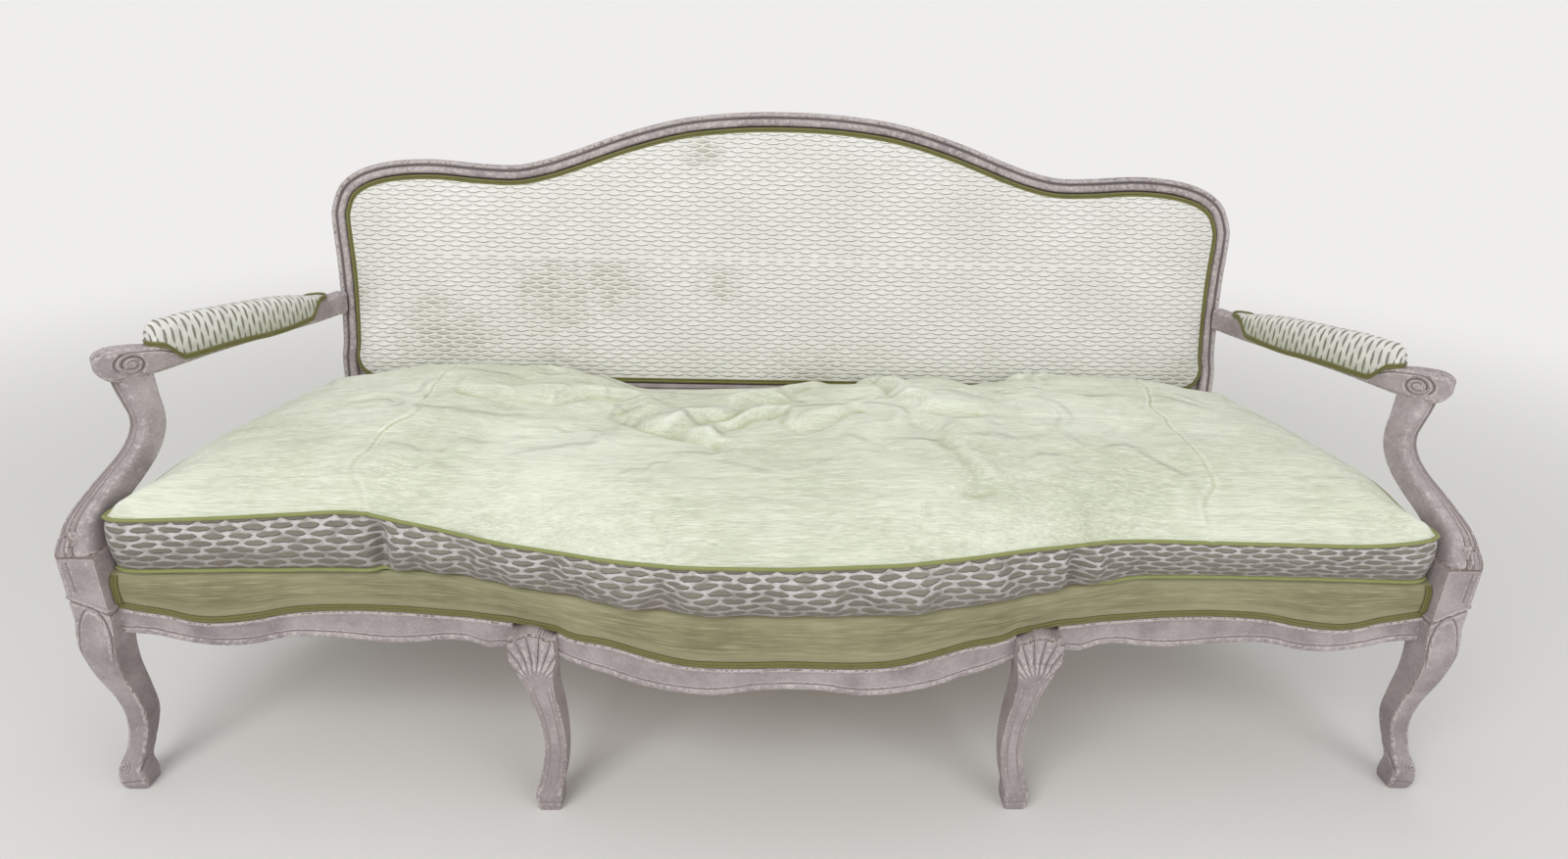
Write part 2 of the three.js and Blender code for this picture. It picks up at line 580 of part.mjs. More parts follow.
/** Back post: the right stile of the back frame and the rear corner leg below it, in one piece. */
function backPost(grow) {
  const jointLength = outlineAt(CREST_JOINT_STEP, 0).distanceTo(outlineAt(CREST_JOINT_STEP + 1, 0));
  const start = CREST_JOINT_STEP + GAP / jointLength - grow / jointLength;
  const end = stepAtHeight(LOW_EDGE - RAIL_EDGE);
  const rings = [start, ...STILE_STEPS, end].map((step) => frameRing(step, grow));
  POST_SHARES.forEach(([share, edge, sweep, wide, deep], i) => {
    const z = share * RAIL_TOP;
    const y = SEAT_DEPTH + sweep * REAR_LEG_SWEEP;
    const tilt = i === 0 ? BACK_NORMAL : BACKWARD;
    const section = frameSection(wide * REAR_LEG_SIZE, deep * REAR_LEG_SIZE, 0, grow);
    rings.push(section.map(([inset, depth]) => {
      const x = edge * BACK_HALF - inset;
      return new THREE.Vector3(x, y, z).addScaledVector(tilt, depth);
    }));
  });
  return loft(rings);
}

const postBody = backPost(0);
const postRoom = backPost(GAP);
shapes.set('back_post', postBody);

/** Inner edge of the right stile at a height up the back. */
function stileInner(h) {
  return outlineAt(stepAtHeight(h), FRAME_WIDTH).x;
}

const lowerReach = outlineAt(stepAtHeight(LOW_EDGE), REBATE_START).x;
const lowerRail = loft([-lowerReach, lowerReach].map((x) => (
  frameSection(FRAME_WIDTH, FRAME_DEPTH, REBATE_DEPTH).map(([inset, depth]) => backPoint(x, LOW_EDGE + inset, depth))
)));
shapes.set('lower_back_rail', cut(lowerRail, postRoom, mirrored(postRoom)));

// Side rail trimmed to the corner block and the post
const blockRoom = boxBetween(
  [CORNER_X - 2 * BLOCK_HALF, -2 * BLOCK_HALF, 0],
  [CORNER_X + 2 * BLOCK_HALF, BLOCK_HALF + GAP, CORNER_BLOCK_TOP],
);
shapes.set('side_rail', cut(loft(sideRings), blockRoom, postRoom));

// Rear rail between the posts, with the border's ledge on its outer side
const rearReach = BACK_HALF - 1.1 * REAR_LEG_SIZE;
const rearSection = railSection(REAR_BOARD, REAR_SCALLOP, SIDE_LEDGE);
const rearRail = loft([-rearReach, rearReach].map((x) => (
  rearSection.map(([inset, z]) => new THREE.Vector3(x, REAR_FACE - inset, z))
)));
shapes.set('rear_rail', cut(rearRail, postRoom, mirrored(postRoom)));

const REAR_MIDDLE_Y = REAR_FACE - REAR_BOARD / 2;
const rearLegRings = REAR_LEG_SHARES.map(([share, wide, deep]) => {
  const top = REAR_SCALLOP - GAP;
  const sweep = REAR_LEG_SWEEP * (1 - share) ** 2;
  const points = roundedSquare(wide * REAR_LEG_SIZE, deep * REAR_LEG_SIZE * 0.75, RAIL_EDGE);
  return points.map(([px, py]) => new THREE.Vector3(MIDDLE_X + px, REAR_MIDDLE_Y + sweep + py, share * top));
});
shapes.set('mid_rear_leg', loft(rearLegRings));

// Cross bar between the middle front leg and the rear rail
const barTop = RAIL_TOP - BAR_BELOW_TOP;
const BAR_Z = barTop - BAR_HEIGHT / 2;
const barFront = MIDDLE_Y + MIDDLE_BLOCK_DEPTH / 2 + GAP;
const barLow = [MIDDLE_X - BAR_WIDTH / 2, barFront, barTop - BAR_HEIGHT];
const barHigh = [MIDDLE_X + BAR_WIDTH / 2, SEAT_DEPTH - GAP, barTop];
shapes.set('seat_cross_bar', boxBetween(barLow, barHigh));

/** Flat plate with a closed outline, laid in a plane by a matrix. */
function plate(points, thickness, place) {
  const shape = new THREE.Shape(points);
  const geometry = new THREE.ExtrudeGeometry(shape, { depth: thickness, bevelEnabled: false, curveSegments: 1 });
  geometry.applyMatrix4(place);
  return geometryOf(solid(geometry));
}

// Glued corner blocks: a triangle in each corner of the seat frame
const frontGlue = sideStations.slice(-3).map((x) => new THREE.Vector2(x, frontFace(x) + RAIL_THICKNESS + GAP));
const frontGluePlan = [
  ...frontGlue, new THREE.Vector2(CORNER_INNER_X - GAP, BLOCK_HALF),
  ...SIDE_RAIL_STATIONS.slice(1, 3).map((t) => sidePoint(t, SIDE_RAIL_THICKNESS + GAP)),
];
const gluePlace = new THREE.Matrix4().makeTranslation(0, 0, RAIL_TOP - GLUE_BLOCK_DROP - GLUE_BLOCK_HEIGHT);
shapes.set('front_corner_block', cut(plate(frontGluePlan, GLUE_BLOCK_HEIGHT, gluePlace), blockRoom));

const rearGluePlan = [
  ...SIDE_RAIL_STATIONS.slice(-2).map((t) => sidePoint(t, SIDE_RAIL_THICKNESS + GAP)),
  new THREE.Vector2(BACK_HALF - 2 * FRAME_WIDTH - GLUE_BLOCK_LEG, SEAT_DEPTH - GAP),
];
const rearGlueWide = plate(rearGluePlan, GLUE_BLOCK_HEIGHT, gluePlace);
shapes.set('rear_corner_block', cut(rearGlueWide, postRoom));

// Back uprights, shaped to the crest's inner edge

/** Height of the crest's inner edge at x. */
function crestInner(x) {
  let step = 0;
  while (outlineAt(step, FRAME_WIDTH).x < x) step += 0.05;
  return outlineAt(step, FRAME_WIDTH).y;
}

const UPRIGHT_X = UPRIGHT_SPREAD / 2;
const uprightDepths = [REBATE_DEPTH + WEB_THICKNESS, REBATE_DEPTH + WEB_THICKNESS + UPRIGHT_DEPTH];
const uprightSides = [UPRIGHT_X - UPRIGHT_WIDTH / 2, UPRIGHT_X + UPRIGHT_WIDTH / 2];
const uprightRings = [
  (x) => LOW_EDGE + FRAME_WIDTH + GAP,
  (x) => crestInner(x) - RAIL_EDGE / 2,
].map((height) => [
  backPoint(uprightSides[0], height(uprightSides[0]), uprightDepths[0]),
  backPoint(uprightSides[1], height(uprightSides[1]), uprightDepths[0]),
  backPoint(uprightSides[1], height(uprightSides[1]), uprightDepths[1]),
  backPoint(uprightSides[0], height(uprightSides[0]), uprightDepths[1]),
]);
shapes.set('back_upright', loft(uprightRings));

// Arms

const ARM_START_X = BACK_HALF - ARM_INSET;
const armHeightUp = (ARM_UNDERSIDE + ARM_THICKNESS / 2 - RAIL_TOP) / COS;
const ARM_START_Y = backPoint(0, armHeightUp, 0).y - GAP;

/** Centre line, sizes and sideways direction of the right arm at a share of its length. */
function armAt(share) {
  const [splay, swell, thick, half] = through(ARM_SHARES, share);
  const [ahead] = through(ARM_SHARES, Math.min(share + 0.01, 1));
  const [behind] = through(ARM_SHARES, Math.max(share - 0.01, 0));
  const run = (Math.min(share + 0.01, 1) - Math.max(share - 0.01, 0)) * ARM_LENGTH;
  const out = new THREE.Vector3(run, (ahead - behind) * ARM_SPLAY, 0).normalize();
  const low = ARM_UNDERSIDE + swell * ARM_SWELL;
  return {
    x: ARM_START_X + splay * ARM_SPLAY,
    y: ARM_START_Y - share * ARM_LENGTH,
    low,
    top: low + thick * ARM_THICKNESS,
    half: half * ARM_WIDTH,
    out: share === 0 ? RIGHT : out,
  };
}

/** Ring round the arm; grown, it makes room in what meets the arm. */
function armRing(share, grow) {
  const { x, y, low, top, half, out } = armAt(share);
  const side = half + grow;
  const edge = Math.min(ARM_EDGE, half * 0.6);
  const section = [
    [-side, low + edge], [-side + edge, low - grow], [side - edge, low - grow], [side, low + edge],
    [side, top - edge], [side - edge, top + grow], [-side + edge, top + grow], [-side, top - edge],
  ];
  return section.map(([offset, z]) => {
    const lean = share === 0 ? (z - ARM_UNDERSIDE - ARM_THICKNESS / 2) * TAN : 0;
    return new THREE.Vector3(x, y + lean, z).addScaledVector(out, offset);
  });
}

const armStations = [0, 0.05, 0.1, 0.18, 0.27, 0.36, 0.45, 0.54, 0.63, 0.7, 0.76, 0.82, 0.86, 0.9, 0.93, 0.96, 0.985, 1];
shapes.set('arm', loft(armStations.map((share) => armRing(share, 0))));
const armRoom = loft(armStations.map((share) => armRing(share, GAP)));

// Arm supports
const SUPPORT_X = CORNER_X + RAIL_EDGE * 2;
const SUPPORT_Y = RAIL_EDGE;
const SUPPORT_RISE = ARM_UNDERSIDE - CORNER_BLOCK_TOP;
const supportAt = (share) => {
  const [lean, sweep, wide, deep] = through(SUPPORT_SHARES, share);
  return {
    centre: new THREE.Vector3(
      SUPPORT_X - lean * SUPPORT_LEAN_IN,
      SUPPORT_Y + sweep * SUPPORT_SWEEP,
      CORNER_BLOCK_TOP + GAP + share * SUPPORT_RISE,
    ),
    halfWidth: (wide * SUPPORT_WIDTH) / 2,
    halfDepth: (deep * SUPPORT_DEPTH) / 2,
  };
};
const supportStations = [0, 0.08, 0.16, 0.25, 0.33, 0.4, 0.47, 0.54, 0.62, 0.72, 0.82, 0.92, 1.05, 1.18];
const supportRings = supportStations.map((share) => {
  const { centre, halfWidth, halfDepth } = supportAt(share);
  const ahead = supportAt(Math.min(share + 0.02, 1.18)).centre;
  const behind = supportAt(Math.max(share - 0.02, 0)).centre;
  const rise = share === 0 ? UP : ahead.sub(behind).normalize();
  // The support turns on its way up, until its sides follow the arm
  const turn = SUPPORT_TURN * THREE.MathUtils.smoothstep(share, 0, 0.85);
  const side = RIGHT.clone().applyAxisAngle(rise, turn);
  const back = new THREE.Vector3().crossVectors(rise, side).normalize();
  return roundedSquare(halfWidth, halfDepth, ARM_EDGE).map(([px, py]) => (
    centre.clone().addScaledVector(side, px).addScaledVector(back, py)
  ));
});
shapes.set('arm_support', cut(loft(supportRings), armRoom));

// Mortise and tenon joints of the right half

const tenonZ = BAR_Z;
const railTenonDepth = RAIL_THICKNESS * 0.53;
const innerFaceX = MIDDLE_X - MIDDLE_HALF;
const outerFaceX = MIDDLE_X + MIDDLE_HALF;
const LEFTWARD = RIGHT.clone().negate();
const FORWARD = BACKWARD.clone().negate();
const DOWN = UP.clone().negate();

const centreTenon = {
  at: new THREE.Vector3(innerFaceX, frontFace(innerFaceX) + railTenonDepth, tenonZ),
  along: RIGHT, up: UP, length: TENON_LENGTH,
};
mortiseAndTenon('front_rail_centre', 'mid_front_leg', centreTenon);
const centreTenonLeft = { ...centreTenon, along: LEFTWARD, at: centreTenon.at.clone().setX(-innerFaceX) };
shapes.set('front_rail_centre', unite(shapes.get('front_rail_centre'), tenonBox(centreTenonLeft)));

const sideTenonInner = {
  at: new THREE.Vector3(outerFaceX, frontFace(outerFaceX) + railTenonDepth, tenonZ),
  along: LEFTWARD, up: UP, length: TENON_LENGTH,
};
mortiseAndTenon('front_rail_side', 'mid_front_leg', sideTenonInner);
const sideTenonOuter = {
  at: new THREE.Vector3(CORNER_INNER_X, frontFace(CORNER_INNER_X) + railTenonDepth, tenonZ),
  along: RIGHT, up: UP, length: TENON_LENGTH / 2,
};
mortiseAndTenon('front_rail_side', 'front_leg', sideTenonOuter);
const sideRailFront = {
  at: new THREE.Vector3(CORNER_X - RAIL_SETBACK, BLOCK_HALF, tenonZ),
  along: FORWARD, up: UP, length: TENON_LENGTH,
};
mortiseAndTenon('side_rail', 'front_leg', sideRailFront);
const sideRailRear = {
  at: new THREE.Vector3(BACK_HALF - FRAME_WIDTH / 3, SEAT_DEPTH - RAIL_EDGE, tenonZ),
  along: BACKWARD, up: UP, length: TENON_LENGTH,
};
mortiseAndTenon('side_rail', 'back_post', sideRailRear);
const rearRailEnd = {
  at: new THREE.Vector3(BACK_HALF - 1.2 * REAR_LEG_SIZE, SEAT_DEPTH + REAR_BOARD * 0.45, tenonZ),
  along: RIGHT, up: UP, length: TENON_LENGTH * 0.8,
};
mortiseAndTenon('rear_rail', 'back_post', rearRailEnd);
const rearRailEndLeft = { ...rearRailEnd, along: LEFTWARD, at: rearRailEnd.at.clone().setX(-rearRailEnd.at.x) };
shapes.set('rear_rail', unite(shapes.get('rear_rail'), tenonBox(rearRailEndLeft)));

const barTenon = { thickness: TENON_THICKNESS, height: BAR_HEIGHT / 2, length: TENON_LENGTH * 0.7, up: UP };
mortiseAndTenon('seat_cross_bar', 'mid_front_leg', {
  ...barTenon, along: FORWARD, at: new THREE.Vector3(MIDDLE_X, barFront, BAR_Z),
});
const barRear = { ...barTenon, along: BACKWARD, at: new THREE.Vector3(MIDDLE_X, SEAT_DEPTH, BAR_Z) };
mortiseAndTenon('seat_cross_bar', 'rear_rail', barRear);
const barRearLeft = { ...barRear, at: barRear.at.clone().setX(-MIDDLE_X) };
shapes.set('rear_rail', cut(shapes.get('rear_rail'), tenonBox(barRearLeft, GAP)));

const rearLegTenon = {
  at: new THREE.Vector3(MIDDLE_X, REAR_MIDDLE_Y, REAR_SCALLOP),
  along: UP, up: RIGHT, length: TENON_LENGTH, height: REAR_LEG_SIZE / 2,
};
mortiseAndTenon('mid_rear_leg', 'rear_rail', rearLegTenon);
const rearLegTenonLeft = { ...rearLegTenon, at: rearLegTenon.at.clone().setX(-MIDDLE_X) };
shapes.set('rear_rail', cut(shapes.get('rear_rail'), tenonBox(rearLegTenonLeft, GAP)));

const frameCore = REBATE_DEPTH + (FRAME_DEPTH - REBATE_DEPTH) / 2;
const crestEnd = outlineAt(CREST_JOINT_STEP, FRAME_WIDTH / 2);
const crestAhead = outlineAt(CREST_JOINT_STEP + 0.1, FRAME_WIDTH / 2);
const crestAlong = backPoint(crestAhead.x, crestAhead.y, 0).sub(backPoint(crestEnd.x, crestEnd.y, 0)).normalize();
const crestTenon = {
  at: backPoint(crestEnd.x, crestEnd.y, frameCore),
  along: crestAlong,
  up: new THREE.Vector3().crossVectors(BACK_NORMAL, crestAlong),
  length: TENON_LENGTH, height: FRAME_WIDTH / 2, thickness: TENON_THICKNESS,
};
mortiseAndTenon('crest_rail', 'back_post', crestTenon);
shapes.set('crest_rail', unite(shapes.get('crest_rail'), mirrored(tenonBox(crestTenon))));

const lowerTenonX = stileInner(LOW_EDGE + FRAME_WIDTH / 2);
const PLANE_UP = new THREE.Vector3(0, SIN, COS);
const lowerTenon = {
  at: backPoint(lowerTenonX, LOW_EDGE + FRAME_WIDTH / 2, frameCore),
  along: RIGHT, up: PLANE_UP, length: TENON_LENGTH, height: FRAME_WIDTH / 2,
};
mortiseAndTenon('lower_back_rail', 'back_post', lowerTenon);
shapes.set('lower_back_rail', unite(shapes.get('lower_back_rail'), mirrored(tenonBox(lowerTenon))));

const uprightTenon = { up: RIGHT, length: TENON_LENGTH * 0.6, height: UPRIGHT_WIDTH / 2 };
const uprightCore = (uprightDepths[0] + uprightDepths[1]) / 2;
const uprightTop = {
  ...uprightTenon, along: PLANE_UP, at: backPoint(UPRIGHT_X, crestInner(UPRIGHT_X), uprightCore),
};
mortiseAndTenon('back_upright', 'crest_rail', uprightTop);
shapes.set('crest_rail', cut(shapes.get('crest_rail'), mirrored(tenonBox(uprightTop, GAP))));
const uprightFoot = {
  ...uprightTenon, along: PLANE_UP.clone().negate(), at: backPoint(UPRIGHT_X, LOW_EDGE + FRAME_WIDTH, uprightCore),
};
mortiseAndTenon('back_upright', 'lower_back_rail', uprightFoot);
shapes.set('lower_back_rail', cut(shapes.get('lower_back_rail'), mirrored(tenonBox(uprightFoot, GAP))));

const armTenon = {
  at: new THREE.Vector3(ARM_START_X - RAIL_EDGE, ARM_START_Y, ARM_UNDERSIDE + ARM_THICKNESS / 2),
  along: BACK_NORMAL, up: PLANE_UP, length: TENON_LENGTH, height: ARM_THICKNESS / 2,
};
mortiseAndTenon('arm', 'back_post', armTenon);
const supportTop = supportAt(1).centre;
const supportTenon = { up: BACKWARD, height: SUPPORT_DEPTH / 2 };
mortiseAndTenon('arm_support', 'arm', {
  ...supportTenon, along: UP, length: TENON_LENGTH, at: supportTop.clone().setZ(ARM_UNDERSIDE),
});
mortiseAndTenon('arm_support', 'front_leg', {
  ...supportTenon, along: DOWN, length: TENON_LENGTH, at: new THREE.Vector3(SUPPORT_X, SUPPORT_Y, CORNER_BLOCK_TOP),
});

// Pegs through the tenons, driven from behind

/** A round peg with its outer end at a place. */
function peg(at, inward, grow = 0) {
  const cylinder = new THREE.CylinderGeometry(PEG_RADIUS + grow, PEG_RADIUS + grow, PEG_LENGTH + 2 * grow, 8);
  const turn = new THREE.Quaternion().setFromUnitVectors(BACKWARD, inward);
  const middle = at.clone().addScaledVector(inward, PEG_LENGTH / 2);
  return cylinder.applyQuaternion(turn).translate(middle.x, middle.y, middle.z);
}

/** Drives a peg through two pieces of the right half. */
function drivePeg(name, at, inward, outer, tenonPiece, bothSides) {
  const hole = peg(at, inward, GAP);
  shapes.set(outer, cut(shapes.get(outer), hole));
  const tenonCuts = bothSides ? [hole, mirrored(hole)] : [hole];
  shapes.set(tenonPiece, cut(shapes.get(tenonPiece), ...tenonCuts));
  shapes.set(name, peg(at, inward));
}

const pegInFrame = BACK_NORMAL.clone().negate();
const crestPegAt = crestTenon.at.clone().addScaledVector(crestAlong, TENON_LENGTH / 2)
  .addScaledVector(BACK_NORMAL, FRAME_DEPTH - frameCore);
drivePeg('crest_peg', crestPegAt, pegInFrame, 'back_post', 'crest_rail', true);
const lowerPegAt = lowerTenon.at.clone().addScaledVector(RIGHT, TENON_LENGTH / 2)
  .addScaledVector(BACK_NORMAL, FRAME_DEPTH - frameCore);
drivePeg('lower_rail_peg', lowerPegAt, pegInFrame, 'back_post', 'lower_back_rail', true);
const legBack = MIDDLE_Y + MIDDLE_BLOCK_DEPTH / 2;
const innerPegAt = new THREE.Vector3(innerFaceX + TENON_LENGTH / 2, legBack, tenonZ);
drivePeg('inner_leg_peg', innerPegAt, FORWARD, 'mid_front_leg', 'front_rail_centre', true);
const outerPegAt = new THREE.Vector3(outerFaceX - TENON_LENGTH / 2, legBack, tenonZ);
drivePeg('outer_leg_peg', outerPegAt, FORWARD, 'mid_front_leg', 'front_rail_side', false);

// Seat upholstery

/** Closed plan of the seat frame's outer faces, moved inwards. */
function seatLoop(inset) {
  const front = frontStations.map((x) => new THREE.Vector2(x, frontFace(x) + inset));
  const side = SIDE_RAIL_STATIONS.map((t) => sidePoint(t, inset));
  const rearX = SIDE_END.x - inset;
  const rear = [rearX, rearX / 2, 0, -rearX / 2, -rearX].map((x) => new THREE.Vector2(x, REAR_FACE - inset));
  const left = [...side].reverse().map((p) => new THREE.Vector2(-p.x, p.y));
  return [...front, ...side, ...rear, ...left];
}

/** Ledge height at a point of the seat loop. */
function ledgeNear(p) {
  return p.y < 0 || Math.abs(p.x) < CORNER_INNER_X && p.y < CORNER_BLOCK ? ledge(p.x) : SIDE_LEDGE;
}

const seatRing = (inset, height) => seatLoop(inset).map((p) => new THREE.Vector3(p.x, p.y, height(p)));
const deckRings = [
  seatRing(RAIL_SETBACK + 1, () => DECK_BOTTOM),
  seatRing(RAIL_SETBACK - GAP, () => DECK_BOTTOM),
  seatRing(RAIL_SETBACK - GAP, (p) => ledgeNear(p) + GAP),
  seatRing(BORDER_INSET, (p) => ledgeNear(p) + GAP),
  seatRing(BORDER_INSET, (p) => ledgeNear(p) + GIMP_WIDTH + 2 * GAP),
  seatRing(GAP, (p) => ledgeNear(p) + GIMP_WIDTH + BORDER_INSET),
  seatRing(0, (p) => (ledgeNear(p) + DECK_TOP) / 2 + GAP),
  seatRing(DECK_ROLL / 4, () => DECK_TOP - DECK_ROLL),
  seatRing(DECK_ROLL, () => DECK_TOP - DECK_ROLL / 4),
  seatRing(2 * DECK_ROLL, () => DECK_TOP),
];
const cornerRoom = boxBetween(
  [CORNER_INNER_X - GAP, -tall, 0], [CORNER_X + tall, BLOCK_HALF + GAP, tall],
);
const postCutX = BACK_HALF - 1.25 * REAR_LEG_SIZE - 2 * GAP;
const postCut = boxBetween([postCutX, SEAT_DEPTH - 2 * GAP, 0], [BACK_HALF + tall, SEAT_DEPTH + tall, tall]);
const skirtCut = boxBetween(
  [postCutX, SEAT_DEPTH - 2 * RAIL_EDGE, 0], [BACK_HALF + tall, SEAT_DEPTH, RAIL_TOP + GAP / 2],
);
const seatCuts = [cornerRoom, postCut, skirtCut].flatMap((room) => [room, mirrored(room)]);
shapes.set('seat_deck', cut(loft(deckRings), ...seatCuts));

/** Crossed webbing strips, ended on a closed outline and laid in a plane by a matrix. */
function webbing(points, centre, columns, rows, place) {
  const reach = CORNER_LEG_SPREAD;
  const strip = (x, y, halfX, halfY) => (
    boxBetween([x - halfX, y - halfY, 0], [x + halfX, y + halfY, WEB_THICKNESS])
  );
  const across = steps(-rows, rows, rows).map((k) => (
    strip(centre.x, centre.y + (k * WEB_PITCH) / 2, reach, WEB_WIDTH / 2)
  ));
  const along = steps(-columns, columns, columns).map((k) => (
    strip(centre.x + (k * WEB_PITCH) / 2, centre.y, WEB_WIDTH / 2, reach)
  ));
  const strips = [...across, ...along].map(solid).reduce((body, other) => body.add(other));
  const outline = solid(plate(points, WEB_THICKNESS, new THREE.Matrix4()));
  return geometryOf(strips.intersect(outline)).applyMatrix4(place);
}

const seatCentre = new THREE.Vector2(0, SEAT_DEPTH / 2 - FRONT_BOW / 4);
const webInset = RAIL_SETBACK + RAIL_EDGE;
const webPlace = new THREE.Matrix4().makeTranslation(0, 0, RAIL_TOP + GAP);
const seatWeb = webbing(seatLoop(webInset), seatCentre, 11, 2, webPlace);
shapes.set('seat_webbing', cut(seatWeb, ...seatCuts));
const hessianPlace = new THREE.Matrix4().makeTranslation(0, 0, RAIL_TOP + WEB_THICKNESS + 2 * GAP);
const seatHessian = plate(seatLoop(webInset), HESSIAN_THICKNESS, hessianPlace);
shapes.set('seat_hessian', cut(seatHessian, ...seatCuts));

/** Flat braid along a route; each stop gives its foot, the way out and the way up. */
function braid(stops, looped = false) {
  const rings = stops.map(({ foot, out, up }) => [
    foot.clone(),
    foot.clone().addScaledVector(out, GIMP_THICKNESS),
    foot.clone().addScaledVector(out, GIMP_THICKNESS).addScaledVector(up, GIMP_WIDTH),
    foot.clone().addScaledVector(up, GIMP_WIDTH),
  ]);
  return loft(rings, looped);
}

const gimpInset = BORDER_INSET - GAP;
const frontGimpX = CORNER_INNER_X - GAP;
const frontGimpStops = [-frontGimpX, ...frontStations.slice(1, -1), frontGimpX].map((x) => ({
  foot: new THREE.Vector3(x, frontFace(x) + gimpInset, ledge(x) + GAP), out: FORWARD, up: UP,
}));
shapes.set('seat_gimp_front', braid(frontGimpStops));
const sideGimpStops = SIDE_RAIL_STATIONS.map((t) => {
  const p = sidePoint(t, gimpInset);
  const q = sidePoint(t, gimpInset - 1);
  const out = new THREE.Vector3(q.x - p.x, q.y - p.y, 0);
  return { foot: new THREE.Vector3(p.x, p.y, SIDE_LEDGE + GAP), out, up: UP };
});
shapes.set('seat_gimp_side', cut(braid(sideGimpStops), cornerRoom, postRoom, postCut));

// Braid up the border's end at the corner block
const cornerGimpX = CORNER_INNER_X - GAP;
const cornerGimpRings = [
  [ledge(CORNER_INNER_X) + GIMP_WIDTH + 3 * GAP, -GAP], [(LEDGE_LOW + DECK_TOP) / 2, -GAP],
  [DECK_TOP - DECK_ROLL, -GAP], [DECK_TOP - DECK_ROLL / 4, DECK_ROLL / 2],
].map(([z, inset]) => {
  const y = frontFace(CORNER_INNER_X) + inset - GAP;
  return [
    new THREE.Vector3(cornerGimpX - GIMP_WIDTH, y, z), new THREE.Vector3(cornerGimpX, y, z),
    new THREE.Vector3(cornerGimpX, y - GIMP_THICKNESS, z),
    new THREE.Vector3(cornerGimpX - GIMP_WIDTH, y - GIMP_THICKNESS, z),
  ];
});
shapes.set('corner_gimp', loft(cornerGimpRings));

// Back upholstery

const cornerHeight = LOW_EDGE + FRAME_WIDTH + OPENING_RADIUS;
const straightSteps = STILE_STEPS.slice(1).filter((step) => outlineAt(step, 0).y > cornerHeight);
const loopSteps = [...CREST_STEPS.slice(1), ...straightSteps];

/** Closed loop inside the back frame, a distance in from the frame's outer edge, with rounded low corners. */
function backLoop(inset) {
  const low = LOW_EDGE + inset;
  const radius = OPENING_RADIUS;
  const half = loopSteps.map((step) => outlineAt(step, inset));
  const cornerX = outlineAt(stepAtHeight(low), inset).x;
  [0.15, 0.5, 0.85].forEach((share) => {
    const angle = (share * Math.PI) / 2;
    half.push(new THREE.Vector2(
      cornerX - radius * (1 - Math.cos(angle)), low + radius * (1 - Math.sin(angle)),
    ));
  });
  [0.9, 0.6, 0.3].forEach((share) => half.push(new THREE.Vector2(cornerX * share, low)));
  const left = [...half].reverse().map((p) => new THREE.Vector2(-p.x, p.y));
  return [outlineAt(0, inset), ...half, new THREE.Vector2(0, low), ...left];
}

/** Ring of the back pad: inset from the frame's edge, depth, and share of the way to the middle. */
function padRing(inset, depth, share) {
  const centreH = (LOW_EDGE + BACK_RISE) / 2;
  return backLoop(inset).map((p) => {
    const spineX = THREE.MathUtils.clamp(p.x, -BACK_HALF * 0.8, BACK_HALF * 0.8);
    const x = p.x + (spineX - p.x) * share;
    const h = p.y + (centreH - p.y) * share;
    return backPoint(x, h, depth);
  });
}

const padBack = REBATE_DEPTH - WEB_THICKNESS - HESSIAN_THICKNESS - 3 * GAP;
const padEdge = REBATE_START + RAIL_EDGE / 2 + 2 * GAP;
const braidEdge = padEdge + GIMP_WIDTH;
const braidDepth = GIMP_THICKNESS + GAP;
shapes.set('back_pad', loft([
  padRing(braidEdge, padBack, 0.2),
  padRing(padEdge, padBack, 0),
  padRing(padEdge, braidDepth + GAP, 0),
  padRing(braidEdge, braidDepth + GAP, 0),
  padRing(braidEdge + RAIL_EDGE, -RAIL_EDGE, 0),
  padRing(braidEdge + RAIL_EDGE, -BACK_CROWN * 0.4, 0.06),
  padRing(braidEdge + RAIL_EDGE, -BACK_CROWN * 0.75, 0.2),
  padRing(braidEdge + RAIL_EDGE, -BACK_CROWN * 0.95, 0.42),
  padRing(braidEdge + RAIL_EDGE, -BACK_CROWN, 0.66),
]));

/** Braid lying in the plane of the back, round a loop. */
function backBraid(inset, depth) {
  const inner = backLoop(inset + GIMP_WIDTH);
  return loft(backLoop(inset).map((p, i) => {
    const q = inner[i];
    return [
      backPoint(p.x, p.y, depth), backPoint(q.x, q.y, depth),
      backPoint(q.x, q.y, depth - GIMP_THICKNESS), backPoint(p.x, p.y, depth - GIMP_THICKNESS),
    ];
  }), true);
}
shapes.set('back_gimp', backBraid(padEdge, braidDepth));

/** Matrix that lays a plate in the plane of the back, its rear face at a depth. */
function backPlace(depth) {
  const forward = BACK_NORMAL.clone().negate();
  return new THREE.Matrix4().makeBasis(RIGHT, PLANE_UP, forward).setPosition(backPoint(0, 0, depth));
}
const backCentre = new THREE.Vector2(0, (LOW_EDGE + BACK_RISE) / 2 - FRAME_WIDTH);
const backWebPlace = backPlace(REBATE_DEPTH - GAP);
shapes.set('back_webbing', webbing(backLoop(padEdge + GAP), backCentre, 8, 1, backWebPlace));
const backHessianPlace = backPlace(REBATE_DEPTH - WEB_THICKNESS - 2 * GAP);
shapes.set('back_hessian', plate(backLoop(padEdge + GAP), HESSIAN_THICKNESS, backHessianPlace));
const outsideInset = FRAME_WIDTH * 0.3;
const outsidePlace = backPlace(FRAME_DEPTH + GAP + CLOTH_THICKNESS);
shapes.set('outside_back', plate(backLoop(outsideInset), CLOTH_THICKNESS, outsidePlace));
const outsideBraidDepth = FRAME_DEPTH + CLOTH_THICKNESS + GIMP_THICKNESS + 2 * GAP;
